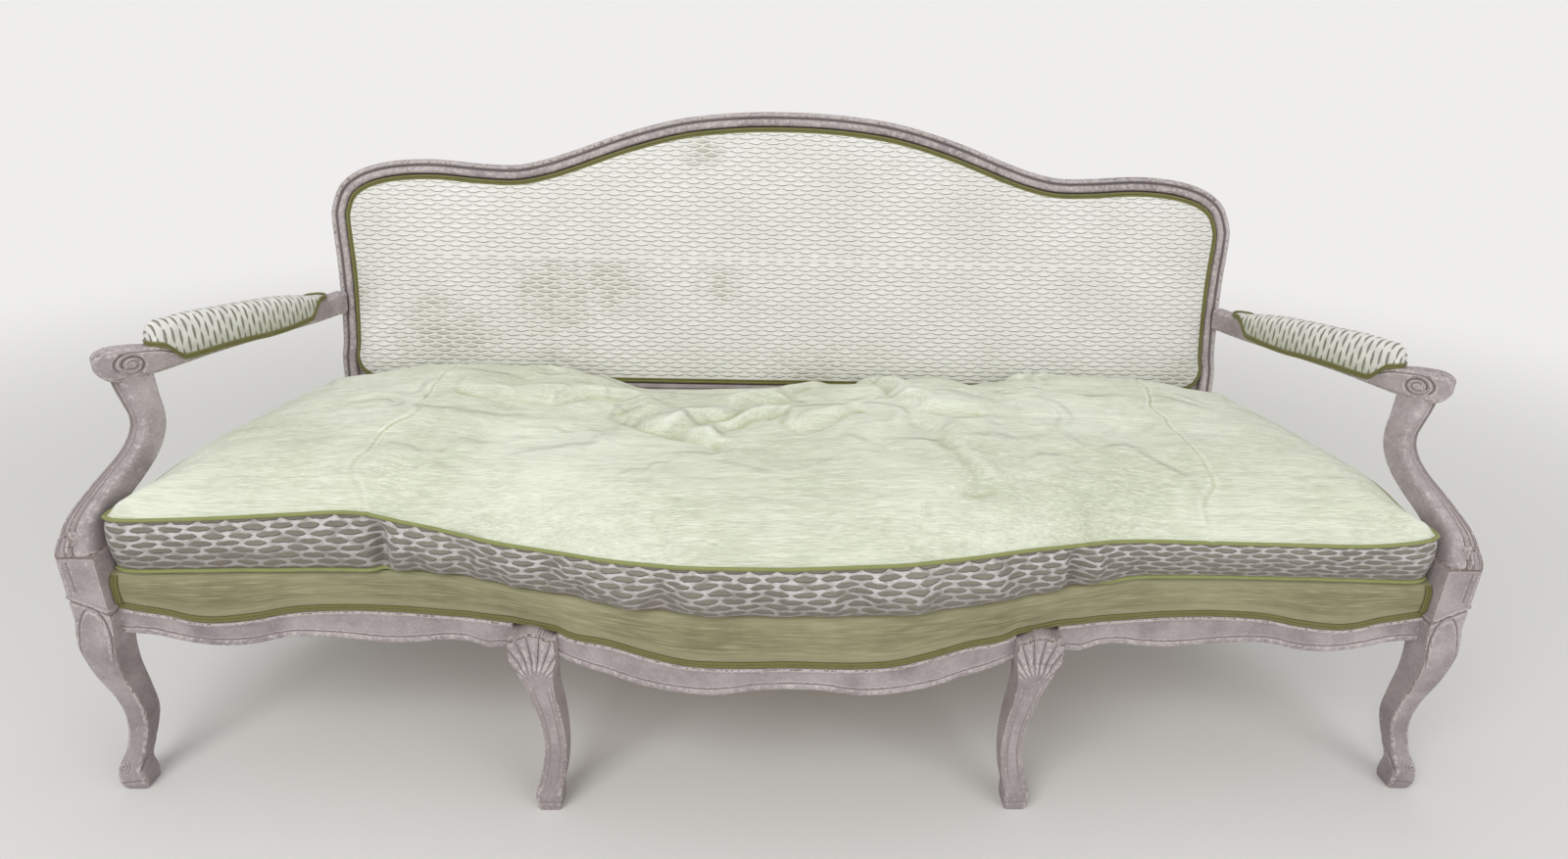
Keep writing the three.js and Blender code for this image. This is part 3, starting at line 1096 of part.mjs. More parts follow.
shapes.set('outside_back_gimp', backBraid(outsideInset, outsideBraidDepth));

// Arm pads

const padStations = [0, 0.025, 0.07, 0.15, 0.28, 0.42, 0.56, 0.7, 0.83, 0.92, 0.975, 1];
const padTaper = [0.25, 0.62, 0.86, 0.97, 1, 1, 1, 1, 0.98, 0.9, 0.66, 0.28];

/** Place, half width and frame of the pad's foot at one of its stations. */
function padStop(i) {
  const share = PAD_START_SHARE + padStations[i] * (PAD_END_SHARE - PAD_START_SHARE);
  const arm = armAt(share);
  return { ...arm, foot: arm.top + 3 * GAP, base: (arm.half - GIMP_THICKNESS - 2 * GAP) * padTaper[i] };
}

const armPadRings = padStations.map((_, i) => {
  const { x, y, foot, half, base, out } = padStop(i);
  const wide = half * padTaper[i] + GAP;
  const high = PAD_HEIGHT * Math.sqrt(padTaper[i]);
  const belt = GIMP_WIDTH * padTaper[i];
  const section = [
    [-base, 0], [base, 0], [base, belt], [wide, belt + GIMP_THICKNESS], [wide, high * 0.55],
    [wide * 0.72, high * 0.88], [wide * 0.3, high], [-wide * 0.3, high], [-wide * 0.72, high * 0.88],
    [-wide, high * 0.55], [-wide, belt + GIMP_THICKNESS], [-base, belt],
  ];
  return section.map(([offset, rise]) => new THREE.Vector3(x, y, foot + rise).addScaledVector(out, offset));
});
shapes.set('arm_pad', loft(armPadRings));

/** Stops along one side of the pad's foot. */
function padSideStops(side) {
  return padStations.slice(1, -1).map((_, k) => {
    const { x, y, foot, base, out } = padStop(k + 1);
    const way = out.clone().multiplyScalar(side);
    const at = new THREE.Vector3(x, y, foot).addScaledVector(way, base + GAP);
    return { foot: at, out: way, up: UP.clone().multiplyScalar(0.86) };
  });
}

/** Stop round one end of the pad. */
function padEndStop(i, sign) {
  const { x, y, foot, out } = padStop(i);
  const way = new THREE.Vector3(out.y, -out.x, 0).multiplyScalar(sign);
  const at = new THREE.Vector3(x, y, foot).addScaledVector(way, 2 * GAP);
  return { foot: at, out: way, up: UP.clone().multiplyScalar(0.86) };
}
const armGimpStops = [
  ...padSideStops(1), padEndStop(padStations.length - 1, 1), ...padSideStops(-1).reverse(), padEndStop(0, -1),
];
const armPadRoom = shapes.get('arm_pad');
shapes.set('arm_gimp', cut(braid(armGimpStops, true), armPadRoom));

// Loose cushion

/** Closed plan of the cushion, moved outwards. */
function cushionLoop(outset) {
  const halfWidth = CUSHION_WIDTH / 2;
  const depth = SEAT_DEPTH - RAIL_EDGE;
  const half = CUSHION_PLAN_SHARES.map(([sx, sy, bow]) => (
    new THREE.Vector2(sx * halfWidth, sy * depth - bow * FRONT_BOW)
  ));
  const left = half.slice(1).reverse().map((p) => new THREE.Vector2(-p.x, p.y));
  const loop = [...half, new THREE.Vector2(0, depth), ...left];
  return loop.map((p, i) => {
    const before = loop[(i + loop.length - 1) % loop.length];
    const after = loop[(i + 1) % loop.length];
    const way = after.clone().sub(before).normalize();
    return new THREE.Vector2(p.x + way.y * outset, p.y - way.x * outset);
  });
}

/** Height of the upper seam: it climbs from the front corners to the sides, and again up the sofa's back. */
function seamRise(p) {
  const climb = THREE.MathUtils.smoothstep(p.y, 0, SEAT_DEPTH * 0.35);
  const rear = THREE.MathUtils.smoothstep(p.y, SEAT_DEPTH * 0.3, SEAT_DEPTH * 0.97);
  const side = THREE.MathUtils.smoothstep(Math.abs(p.x), CUSHION_WIDTH * 0.32, CUSHION_WIDTH * 0.42);
  return CUSHION_THICKNESS + climb * CUSHION_THICKNESS * 0.2 + rear * CUSHION_REAR_RISE * (1 - 0.65 * side);
}

/** Point of the cushion over its plan, where its rear leans with the sofa's back. */
function cushionPoint(p, rise) {
  const lean = THREE.MathUtils.smoothstep(p.y, SEAT_DEPTH * 0.6, SEAT_DEPTH * 0.97) * rise * TAN;
  return new THREE.Vector3(p.x, p.y + lean, CUSHION_BASE + rise);
}

const CUSHION_BASE = DECK_TOP + GAP;
const cushionMiddleY = SEAT_DEPTH * 0.42;
const spineX = CUSHION_WIDTH / 2 * CUSHION_SPINE_SHARE;

/** Ring of the boxing: outset from the plan and height as a share of the boxing. */
function boxingRing(outset, share) {
  return cushionLoop(outset).map((p) => cushionPoint(p, share * seamRise(p)));
}

/** Ring of the crown, a share of the way to the cushion's middle line. */
function crownRing(share, rise) {
  return cushionLoop(-GAP).map((p) => {
    const middle = new THREE.Vector2(THREE.MathUtils.clamp(p.x, -spineX, spineX), cushionMiddleY);
    const seam = cushionPoint(p, seamRise(p));
    const q = new THREE.Vector2(seam.x, seam.y).lerp(middle, share);
    const level = THREE.MathUtils.lerp(seam.z, CUSHION_BASE + seamRise(middle), share);
    const hollow = 0.12 * Math.cos((q.x / spineX) * Math.PI * 1.5) * rise;
    return new THREE.Vector3(q.x, q.y, level + CUSHION_CROWN * (rise - hollow));
  });
}

shapes.set('seat_cushion', loft([
  boxingRing(-PIPING_RADIUS * 2.5, 0),
  boxingRing(-GAP, 0.015),
  boxingRing(-GAP, 0.11),
  boxingRing(CUSHION_BULGE * 0.6, 0.27),
  boxingRing(CUSHION_BULGE, 0.5),
  boxingRing(CUSHION_BULGE * 0.6, 0.77),
  boxingRing(-GAP, 0.93),
  boxingRing(-GAP, 1.03),
  ...CUSHION_CROWN_SHARES.map(([share, rise]) => crownRing(share, rise)),
]));

/** Piping round the cushion at a share of the boxing's height. */
function piping(share) {
  const inner = cushionLoop(0);
  const outer = cushionLoop(1);
  const rings = inner.map((p, i) => {
    const way = new THREE.Vector3(outer[i].x - p.x, outer[i].y - p.y, 0);
    const centre = cushionPoint(p, share * seamRise(p)).addScaledVector(way, PIPING_RADIUS);
    return steps(0, 5, 5).map((k) => {
      const angle = (k * Math.PI) / 3;
      return centre.clone().addScaledVector(way, PIPING_RADIUS * Math.cos(angle))
        .addScaledVector(UP, PIPING_RADIUS * Math.sin(angle));
    });
  });
  return loft(rings, true);
}
shapes.set('cushion_piping_top', piping(0.98));
shapes.set('cushion_piping_bottom', piping(0.06));

// The sofa, piece by piece

const sofa = new THREE.Group();

/** Adds one named piece. */
function place(name, geometry, finish) {
  geometry.computeVertexNormals();
  const mesh = new THREE.Mesh(geometry, new THREE.MeshStandardMaterial(finish));
  mesh.name = name;
  sofa.add(mesh);
}

/** Adds a piece of the right half and its mirror image. */
function placePair(shape, name, finish) {
  place(`${name}_right`, shapes.get(shape), finish);
  place(`${name}_left`, mirrored(shapes.get(shape)), finish);
}

const pairs = [
  ['front_leg', 'front_leg', PAINTED], ['mid_front_leg', 'mid_front_leg', PAINTED],
  ['back_post', 'back_post', PAINTED], ['mid_rear_leg', 'mid_rear_leg', PAINTED],
  ['front_rail_side', 'front_rail', PAINTED], ['side_rail', 'side_rail', PAINTED],
  ['seat_cross_bar', 'seat_cross_bar', BARE_WOOD], ['front_corner_block', 'front_corner_block', BARE_WOOD],
  ['rear_corner_block', 'rear_corner_block', BARE_WOOD], ['back_upright', 'back_upright', BARE_WOOD],
  ['arm', 'arm', PAINTED], ['arm_support', 'arm_support', PAINTED],
  ['crest_peg', 'crest_peg', BARE_WOOD], ['lower_rail_peg', 'lower_rail_peg', BARE_WOOD],
  ['inner_leg_peg', 'inner_leg_peg', BARE_WOOD], ['outer_leg_peg', 'outer_leg_peg', BARE_WOOD],
  ['seat_gimp_side', 'seat_gimp', BRAID], ['corner_gimp', 'corner_gimp', BRAID],
  ['arm_pad', 'arm_pad', VELVET], ['arm_gimp', 'arm_gimp', BRAID],
];
pairs.forEach(([shape, name, finish]) => placePair(shape, name, finish));

const singles = [
  ['front_rail_centre', PAINTED], ['rear_rail', PAINTED], ['crest_rail', PAINTED], ['lower_back_rail', PAINTED],
  ['seat_webbing', JUTE], ['seat_hessian', JUTE], ['seat_deck', BORDER_CLOTH], ['seat_gimp_front', BRAID],
  ['back_webbing', JUTE], ['back_hessian', JUTE], ['back_pad', VELVET], ['back_gimp', BRAID],
  ['outside_back', SEAT_CLOTH], ['outside_back_gimp', BRAID],
  ['seat_cushion', SEAT_CLOTH], ['cushion_piping_top', BRAID], ['cushion_piping_bottom', BRAID],
];
singles.forEach(([name, finish]) => place(name, shapes.get(name), finish));

// The origin is on the floor under the middle of the sofa
const bounds = new THREE.Box3().setFromObject(sofa);
sofa.position.set(-(bounds.min.x + bounds.max.x) / 2, -(bounds.min.y + bounds.max.y) / 2, -bounds.min.z);

export default sofa;
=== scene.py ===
"""Looks of a long cabriole sofa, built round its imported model.

Pieces are drawn in the millimetres of the sofa's own drawing, where z = 0 is the floor and y = 0 is the
line of the corner front legs, and are laid in the frame's metres when a piece is finished.
"""
import sys
import logging
import math
from collections.abc import Callable, Sequence
from dataclasses import dataclass, field
from enum import Enum

import bmesh
import bpy
import numpy as np
from mathutils import Matrix, Vector


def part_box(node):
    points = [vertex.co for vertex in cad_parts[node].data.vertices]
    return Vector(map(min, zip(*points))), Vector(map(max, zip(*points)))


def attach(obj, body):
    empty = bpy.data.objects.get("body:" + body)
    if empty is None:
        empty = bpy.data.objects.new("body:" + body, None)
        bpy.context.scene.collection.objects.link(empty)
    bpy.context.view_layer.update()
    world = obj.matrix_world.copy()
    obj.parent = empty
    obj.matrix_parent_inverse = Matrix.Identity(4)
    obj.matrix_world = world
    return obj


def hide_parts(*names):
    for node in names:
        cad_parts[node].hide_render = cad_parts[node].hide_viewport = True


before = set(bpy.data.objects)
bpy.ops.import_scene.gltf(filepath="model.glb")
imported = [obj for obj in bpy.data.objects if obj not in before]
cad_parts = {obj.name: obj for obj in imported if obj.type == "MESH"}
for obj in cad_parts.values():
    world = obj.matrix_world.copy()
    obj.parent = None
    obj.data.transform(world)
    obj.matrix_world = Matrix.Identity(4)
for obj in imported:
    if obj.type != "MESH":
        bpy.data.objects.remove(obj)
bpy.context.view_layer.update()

log = logging.getLogger("sofa")
Array = np.ndarray
Rows = Sequence[Sequence[float]]
Piece = bpy.types.Object
Material = bpy.types.Material
Socket = bpy.types.NodeSocket
Sockets = bpy.types.bpy_prop_collection
joined = np.concatenate
MM = 0.001
TAU = 2 * math.pi
# Angle in degrees above which an edge of a carved piece stays sharp
CARVED = 50
UP = (0.0, 0.0, 1.0)


class Hand(Enum):
    """Side of the sofa in the front view."""

    RIGHT = 1
    LEFT = -1

    @property
    def word(self) -> str:
        """The side's name as the model's nodes have it."""
        return self.name.lower()


class Body(Enum):
    """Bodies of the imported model."""

    FRAME = "frame"
    CUSHION = "cushion"


class Slot(Enum):
    """Material slots of the record."""

    PAINT = "painted_wood"
    JUTE = "jute"
    BORDER = "seat_border_cloth"
    OUTSIDE = "outside_back_cloth"
    VELVET = "cut_velvet"
    BRAID = "gimp_braid"
    CUSHION = "cushion_cloth"
    PIPING = "piping_cord"


# Curves and numbers of the drawing


def through(rows: Rows, place: Array | float) -> Array:
    """Values of a table on a smooth curve through its rows.

    Args:
        rows: table with rising first column.
        place: one place or many in the first column.

    Returns:
        The other columns at the place, on the last axis.
    """
    table = np.asarray(rows, float)
    at = np.asarray(place, float)
    keys = table[:, 0]
    i = np.searchsorted(keys[1:-1], at, side="left")
    before = np.maximum(i - 1, 0)
    after = np.minimum(i + 2, len(keys) - 1)
    span = (keys[i + 1] - keys[i])[..., None]
    t = np.clip((at[..., None] - keys[i][..., None]) / span, 0, 1)
    values = table[:, 1:]
    slope_in = (values[i + 1] - values[before]) / (keys[i + 1] - keys[before])[..., None]
    slope_out = (values[after] - values[i]) / (keys[after] - keys[i])[..., None]
    first = (2 * t**3 - 3 * t**2 + 1) * values[i] + (t**3 - 2 * t**2 + t) * slope_in * span
    return first + (3 * t**2 - 2 * t**3) * values[i + 1] + (t**3 - t**2) * slope_out * span


def smooth(place: Array | float, low: float, high: float) -> Array:
    """Smooth step from 0 at low to 1 at high."""
    t = np.clip((np.asarray(place, float) - low) / (high - low), 0, 1)
    return t * t * (3 - 2 * t)


def spline(points: Array, place: Array) -> Array:
    """Uniform Catmull-Rom curve.

    Args:
        points: the curve's points, one row each.
        place: places on the curve, where point i is at i.

    Returns:
        Points of the curve.
    """
    last = len(points) - 1
    i = np.clip(np.floor(place).astype(int), 0, last - 1)
    t = (place - i)[..., None]
    p0 = points[np.maximum(i - 1, 0)]
    p1 = points[i]
    p2 = points[i + 1]
    p3 = points[np.minimum(i + 2, last)]
    v0 = (p2 - p0) / 2
    v1 = (p3 - p1) / 2
    return (2 * p1 - 2 * p2 + v0 + v1) * t**3 + (3 * p2 - 3 * p1 - 2 * v0 - v1) * t**2 + v0 * t + p1


def lengths(points: Array) -> Array:
    """Distance along a line of points, from 0."""
    steps = np.linalg.norm(np.diff(points, axis=0), axis=-1)
    return joined([[0], np.cumsum(steps)])


def evenly(points: Array, count: int) -> Array:
    """The same line through points an equal distance apart.

    Args:
        points: dense points of the line.
        count: how many spaces between the new points.

    Returns:
        count + 1 points.
    """
    far = lengths(points)
    at = np.linspace(0, far[-1], count + 1)
    return np.stack([np.interp(at, far, points[:, k]) for k in range(points.shape[1])], -1)


def finer(grid: Array, factor: int) -> Array:
    """A net of points made finer on smooth curves, along its first axis.

    Args:
        grid: points, with the axis to make finer first.
        factor: how many new spaces for each old one.

    Returns:
        The finer net.
    """
    place = np.linspace(0, len(grid) - 1, (len(grid) - 1) * factor + 1)
    flat = grid.reshape(len(grid), -1)
    return spline(flat, place).reshape(len(place), *grid.shape[1:])


def stroke(at: Array, path: Rows, width: float, height: float) -> Array:
    """Height of a rounded ridge, or of a groove where it is negative, along a path.

    Args:
        at: points in a plane.
        path: stops of the path in that plane.
        width: distance from the path at which it has mostly faded.
        height: height on the path.

    Returns:
        Height at each point.
    """
    line = np.asarray(path, float)
    nearest = np.full(at.shape[:-1], np.inf)
    for start, end in zip(line[:-1], line[1:]):
        way = end - start
        t = np.clip(((at - start) @ way) / max(way @ way, 1e-9), 0, 1)
        nearest = np.minimum(nearest, np.linalg.norm(at - (start + t[..., None] * way), axis=-1))
    return height * np.exp(-((nearest / width) ** 2))


@dataclass(frozen=True)
class Drawing:
    """Driving sizes of the sofa in millimetres, and the curves that follow from them."""

    height: float = 980
    leg_spread: float = 2006
    middle_spread: float = 736
    seat_depth: float = 463.5
    rail_top: float = 325
    back_width: float = 1676
    rake: float = math.radians(11.1)
    bow: float = 95
    arm_underside: float = 608
    deck_top: float = 366
    corner_face: float = 11
    block: float = 52
    block_top: float = 400
    middle_block: float = 68
    scallop_low: float = 230
    scallop_rise: float = 32
    ledge_low: float = 276
    ledge_rise: float = 32
    side_overhang: float = 11
    side_bow_share: float = 0.57
    rail_edge: float = 3
    lower_rail: float = 460
    rear_board: float = 30
    gap: float = 0.3

    @property
    def corner_x(self) -> float:
        """Middle of the corner leg."""
        return self.leg_spread / 2

    @property
    def middle_x(self) -> float:
        """Middle of the middle leg."""
        return self.middle_spread / 2

    @property
    def corner_inner(self) -> float:
        """Inner face of the corner leg's block."""
        return self.corner_x - self.block / 2

    @property
    def back_half(self) -> float:
        """Half the width of the back."""
        return self.back_width / 2

    @property
    def back_rise(self) -> float:
        """Height of the crest over the seat rail, in the plane of the back."""
        return (self.height - self.rail_top) / math.cos(self.rake)

    @property
    def low_edge(self) -> float:
        """Lower edge of the back frame, in the plane of the back."""
        return (self.lower_rail - self.rail_top) / math.cos(self.rake)

    @property
    def back_middle(self) -> float:
        """Middle height of the back frame, in the plane of the back."""
        return (self.low_edge + self.back_rise) / 2

    def front(self, x: Array | float) -> Array:
        """y of the front rail's outer face at x."""
        return -self.corner_face - self.bow * through(FRONT_PLAN, np.abs(x) / self.corner_x)[..., 0]

    def rail_share(self, x: Array, centre: Rows, side: Rows) -> Array:
        """Share of a table along the centre rail or a side length.

        Args:
            x: places along the front.
            centre: table of the centre rail.
            side: table of the side lengths.

        Returns:
            The share at each place.
        """
        reach = np.abs(np.asarray(x, float))
        inner = self.middle_x - self.middle_block / 2
        outer = self.middle_x + self.middle_block / 2
        on_side = np.maximum(reach - outer, 0) / (self.corner_inner - outer)
        return np.where(
            reach <= inner,
            through(centre, np.minimum(reach / inner, 1))[..., 0],
            through(side, np.clip(on_side, 0, 1))[..., 0],
        )

    def scallop(self, x: Array) -> Array:
        """Height of the front rail's lower edge."""
        return self.scallop_low + self.scallop_rise * self.rail_share(x, CENTRE_BOTTOM, SIDE_BOTTOM)

    def ledge(self, x: Array) -> Array:
        """Height of the moulding's top, where the border cloth ends."""
        return self.ledge_low + self.ledge_rise * self.rail_share(x, CENTRE_LEDGE, SIDE_LEDGE)

    def side(self, t: Array, inset: float) -> Array:
        """Plan of the right side rail, a distance in from its outer face.

        Args:
            t: places from 0 at the front to 1 at the back.
            inset: distance inwards.

        Returns:
            x and y at each place.
        """
        start = np.array([self.corner_x + self.side_overhang, 0])
        handle = np.array([self.corner_x, self.side_bow_share * self.seat_depth])
        end = np.array([self.back_half - self.rail_edge, self.seat_depth - self.rail_edge])
        one = handle - start
        bend = end - handle - one
        t = np.asarray(t, float)[..., None]
        p = start + 2 * t * one + t * t * bend
        d = one + t * bend
        d = d / np.linalg.norm(d, axis=-1, keepdims=True)
        return p + inset * np.stack([-d[..., 1], d[..., 0]], -1)

    def back(self, flat: Array, depth: Array | float) -> Array:
        """Points in the raked plane of the back.

        Args:
            flat: x and height up the plane.
            depth: depth behind the frame's front face.

        Returns:
            Points in the drawing.
        """
        sin, cos = math.sin(self.rake), math.cos(self.rake)
        h = flat[..., 1]
        depth = np.broadcast_to(depth, h.shape)
        y = self.seat_depth + h * sin + depth * cos
        z = self.rail_top + h * cos - depth * sin
        return np.stack([flat[..., 0], y, z], -1)

    def outline(self, step: Array, inset: Array | float) -> Array:
        """Outer edge of the back, moved inwards.

        Args:
            step: places counted from the crest's middle, left ones negative.
            inset: distance inwards.

        Returns:
            x and height up the plane at each place.
        """
        half = np.array(BACK_OUTLINE) * [self.back_half, self.back_rise]
        points = joined([half[:0:-1] * [-1, 1], half])
        place = np.asarray(step, float) + len(half) - 1
        nudge = 0.004
        ahead = np.minimum(place + nudge, len(points) - 1)
        p = spline(points, place)
        d = spline(points, ahead) - spline(points, np.maximum(place - nudge, 0))
        d = d / np.linalg.norm(d, axis=-1, keepdims=True)
        return p + np.asarray(inset)[..., None] * np.stack([d[..., 1], -d[..., 0]], -1)

    def step_at(self, h: float) -> float:
        """Step at which the right stile's outer edge reaches a height up the plane."""
        steps = np.linspace(CREST_JOINT, len(BACK_OUTLINE) - 1, 2000)
        heights = self.outline(steps, 0.0)[:, 1]
        return float(np.interp(-h, -heights, steps))

    def back_loop(self, inset: float, spacing: float = 8) -> Array:
        """Closed loop inside the back frame with rounded lower corners.

        Args:
            inset: distance in from the frame's outer edge.
            spacing: rough distance between the loop's points.

        Returns:
            x and height up the plane, from the crest's middle round by the right.
        """
        radius = 32
        low = self.low_edge + inset
        corner = self.outline(np.array([self.step_at(low)]), inset)[0, 0]
        steps = np.linspace(0, self.step_at(low + radius), 600)
        side = self.outline(steps, inset)
        turn = np.linspace(0, math.pi / 2, 12)[1:]
        arc = np.stack([
            corner - radius * (1 - np.cos(turn)), low + radius * (1 - np.sin(turn)),
        ], -1)
        half = joined([side, arc, [[0, low]]])
        half = evenly(half, round(lengths(half)[-1] / spacing))
        return joined([half, half[-2:0:-1] * [-1, 1]])


FRONT_PLAN = (
    (0, 1), (0.13, 0.958), (0.199, 0.853), (0.269, 0.684), (0.369, 0.368), (0.429, 0.158),
    (0.489, -0.03), (0.588, -0.168), (0.738, -0.137), (0.887, -0.053), (0.992, 0), (1.05, 0),
)
CENTRE_BOTTOM = (
    (0, 0.4), (0.15, 0.3), (0.237, 0.12), (0.32, 0), (0.45, 0.03), (0.6, 0.15), (0.695, 0.33),
    (0.763, 0.5), (0.868, 0.65), (0.958, 0.85), (1, 1),
)
SIDE_BOTTOM = (
    (0, 1), (0.04, 0.83), (0.077, 0.64), (0.13, 0.75), (0.19, 0.68), (0.249, 0.45), (0.31, 0.3),
    (0.37, 0.3), (0.414, 0.4), (0.468, 0.53), (0.574, 0.66), (0.63, 0.55), (0.692, 0.3),
    (0.744, 0.25), (0.79, 0.3), (0.835, 0.45), (0.883, 0.7), (0.927, 0.95), (1, 1.1),
)
CENTRE_LEDGE = (
    (0, 0.1), (0.186, 0.02), (0.33, 0), (0.45, 0.05), (0.58, 0.25), (0.77, 0.6), (0.93, 0.62), (1, 0.85),
)
SIDE_LEDGE = (
    (0, 0.85), (0.066, 0.72), (0.2, 0.55), (0.33, 0.55), (0.45, 0.6), (0.576, 0.52), (0.675, 0.2),
    (0.772, 0.05), (0.83, 0.17), (0.883, 0.5), (0.936, 0.72), (1, 1),
)
BACK_OUTLINE = (
    (0, 1), (0.119, 0.9947), (0.239, 0.9756), (0.358, 0.9359), (0.477, 0.8824), (0.537, 0.858),
    (0.597, 0.8427), (0.668, 0.8435), (0.764, 0.8519), (0.835, 0.8489), (0.895, 0.8366),
    (0.943, 0.8137), (0.979, 0.7756), (0.998, 0.7176), (1, 0.6718), (0.995, 0.5725),
    (0.993, 0.4809), (0.994, 0.3588), (0.999, 0.3053), (0.998, 0.2366), (0.998, 0.1603),
)
CREST_JOINT = 11.4
D = Drawing()
SIDE_SCALLOP = 245
SIDE_LEDGE_Z = 292
# The highest y of the corner leg is its block's back face, which fixes the drawing in the frame
PLAN_SHIFT = D.block / 2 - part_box("front_leg_right")[1].y / MM


def in_frame(points: Array) -> Array:
    """Points of the drawing as metres of the frame."""
    return (points - [0, PLAN_SHIFT, 0]) * MM


# Making pieces


class Skin:
    """Points, faces and finishes of one piece, gathered net by net."""

    def __init__(self) -> None:
        """Starts with nothing."""
        self.points: list[Array] = []
        self.faces: list[list[int]] = []
        self.uvs: list[Array] = []
        self.finish_of: list[int] = []
        self.count = 0

    def net(self, points: Array, uv: Array | None = None, wrapped: bool = False, finish: int = 0) -> Array:
        """Adds a net of four-sided faces.

        Args:
            points: rows by columns by 3.
            uv: a place on the cloth for each point, with one column more where the net is wrapped.
            wrapped: whether the last column joins the first.
            finish: which of the piece's materials it has.

        Returns:
            The numbers of its points, rows by columns.
        """
        rows, columns = points.shape[:2]
        ids = self.count + np.arange(rows * columns).reshape(rows, columns)
        self.count += rows * columns
        self.points.append(points.reshape(-1, 3))
        across = joined([ids, ids[:, :1]], 1) if wrapped else ids
        quads = np.stack([across[:-1, :-1], across[:-1, 1:], across[1:, 1:], across[1:, :-1]], -1)
        self.faces.extend(quads.reshape(-1, 4).tolist())
        if uv is None:
            uv = np.zeros((*across.shape, 2))
        corners = np.stack([uv[:-1, :-1], uv[:-1, 1:], uv[1:, 1:], uv[1:, :-1]], -2)
        self.uvs.append(corners.reshape(-1, 2))
        self.finish_of.extend([finish] * (quads.size // 4))
        return ids

    def cap(self, ring: Array, finish: int = 0, uv: Array | None = None) -> None:
        """Closes a ring of points with one face."""
        self.faces.append(ring.tolist())
        self.uvs.append(np.zeros((len(ring), 2)) if uv is None else uv)
        self.finish_of.append(finish)

    def loft(self, rings: Array, uv: Array | None = None, looped: bool = False, finish: int = 0) -> Array:
        """Adds a tube through closed rings.

        Args:
            rings: rings by points by 3.
            uv: places on the cloth, one column more than the points.
            looped: whether the last ring joins the first, so that no end is closed.
            finish: which of the piece's materials it has.

        Returns:
            The numbers of its points, rings by points.
        """
        if looped:
            rings = joined([rings, rings[:1]])
        ids = self.net(rings, uv, True, finish)
        if not looped:
            self.cap(ids[0][::-1], finish)
            self.cap(ids[-1], finish)
        return ids

    def piece(self, name: str, finishes: Sequence[Material], crease: float = 40) -> Piece:
        """Makes the Blender object.

        Args:
            name: the piece's name.
            finishes: its materials in order.
            crease: angle in degrees above which an edge stays sharp.

        Returns:
            The object, at the origin of the frame.
        """
        mesh = bpy.data.meshes.new(name)
        mesh.from_pydata(in_frame(joined(self.points)).tolist(), [], self.faces)
        layer = mesh.uv_layers.new(name="UVMap")
        layer.data.foreach_set("uv", joined(self.uvs).astype(np.float32).ravel())
        for finish in finishes:
            mesh.materials.append(finish)
        mesh.polygons.foreach_set("material_index", self.finish_of)
        work = bmesh.new()
        work.from_mesh(mesh)
        bmesh.ops.remove_doubles(work, verts=work.verts, dist=2e-5)
        bmesh.ops.dissolve_degenerate(work, edges=work.edges, dist=1e-6)
        bmesh.ops.recalc_face_normals(work, faces=work.faces)
        work.to_mesh(mesh)
        work.free()
        mesh.shade_smooth()
        mesh.set_sharp_from_angle(angle=math.radians(crease))
        mark_relief(mesh)
        made = bpy.data.objects.new(name, mesh)
        show(made)
        return made


def show(thing: Piece) -> None:
    """Puts an object into the scene."""
    bpy.context.scene.collection.objects.link(thing)


def mark_relief(mesh: bpy.types.Mesh, reach: float = 0.004) -> None:
    """Stores how far each point stands out of its surroundings, from -1 in a groove to 1 on an edge.

    Args:
        mesh: the mesh to mark.
        reach: radius of a bend that counts fully, in metres.
    """
    count = len(mesh.vertices)
    at = np.zeros(count * 3)
    mesh.vertices.foreach_get("co", at)
    at = at.reshape(-1, 3)
    normals = np.zeros(count * 3)
    mesh.vertex_normals.foreach_get("vector", normals)
    normals = normals.reshape(-1, 3)
    pairs = np.zeros(len(mesh.edges) * 2, int)
    mesh.edges.foreach_get("vertices", pairs)
    pairs = pairs.reshape(-1, 2)
    total = np.zeros(count)
    seen = np.zeros(count)
    for here, there in ((0, 1), (1, 0)):
        way = at[pairs[:, here]] - at[pairs[:, there]]
        far = np.maximum(np.linalg.norm(way, axis=1), 1e-7)
        lift = (normals[pairs[:, here]] * way).sum(1) / far
        np.add.at(total, pairs[:, here], 2 * lift * reach / np.minimum(far, reach))
        np.add.at(seen, pairs[:, here], 1)
    relief = np.clip(total / np.maximum(seen, 1), -1, 1)
    mark = mesh.attributes.new("relief", "FLOAT", "POINT")
    mark.data.foreach_set("value", relief.astype(np.float32))


def hand_over(
    piece: Piece, nodes: Sequence[str], body: Body = Body.FRAME,
) -> Piece:
    """Sets a piece on its body in place of its nodes.

    Args:
        piece: the finished piece.
        nodes: nodes that it stands for.
        body: the body that it rides on.

    Returns:
        The piece.
    """
    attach(piece, body.value)
    if nodes:
        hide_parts(*nodes)
    log.info("%s: %d faces", piece.name, len(piece.data.polygons))
    return piece


def lofted(
    name: str, node: str, rings: Array, finish: Material, hand: Hand | None = None, crease: float = 40,
) -> Piece:
    """Makes a painted piece of the frame from closed rings.

    Args:
        name: the piece's name, without its side.
        node: the node that it stands for, without its side.
        rings: the rings of the piece, or of the right one of a pair.
        finish: its material.
        hand: its side, where it is one of a pair.
        crease: angle in degrees above which an edge stays sharp.

    Returns:
        The piece.
    """
    skin = Skin()
    skin.loft(rings * [hand.value, 1, 1] if hand else rings)
    side = f"_{hand.word}" if hand else ""
    return hand_over(skin.piece(name + side, [finish], crease), [node + side])


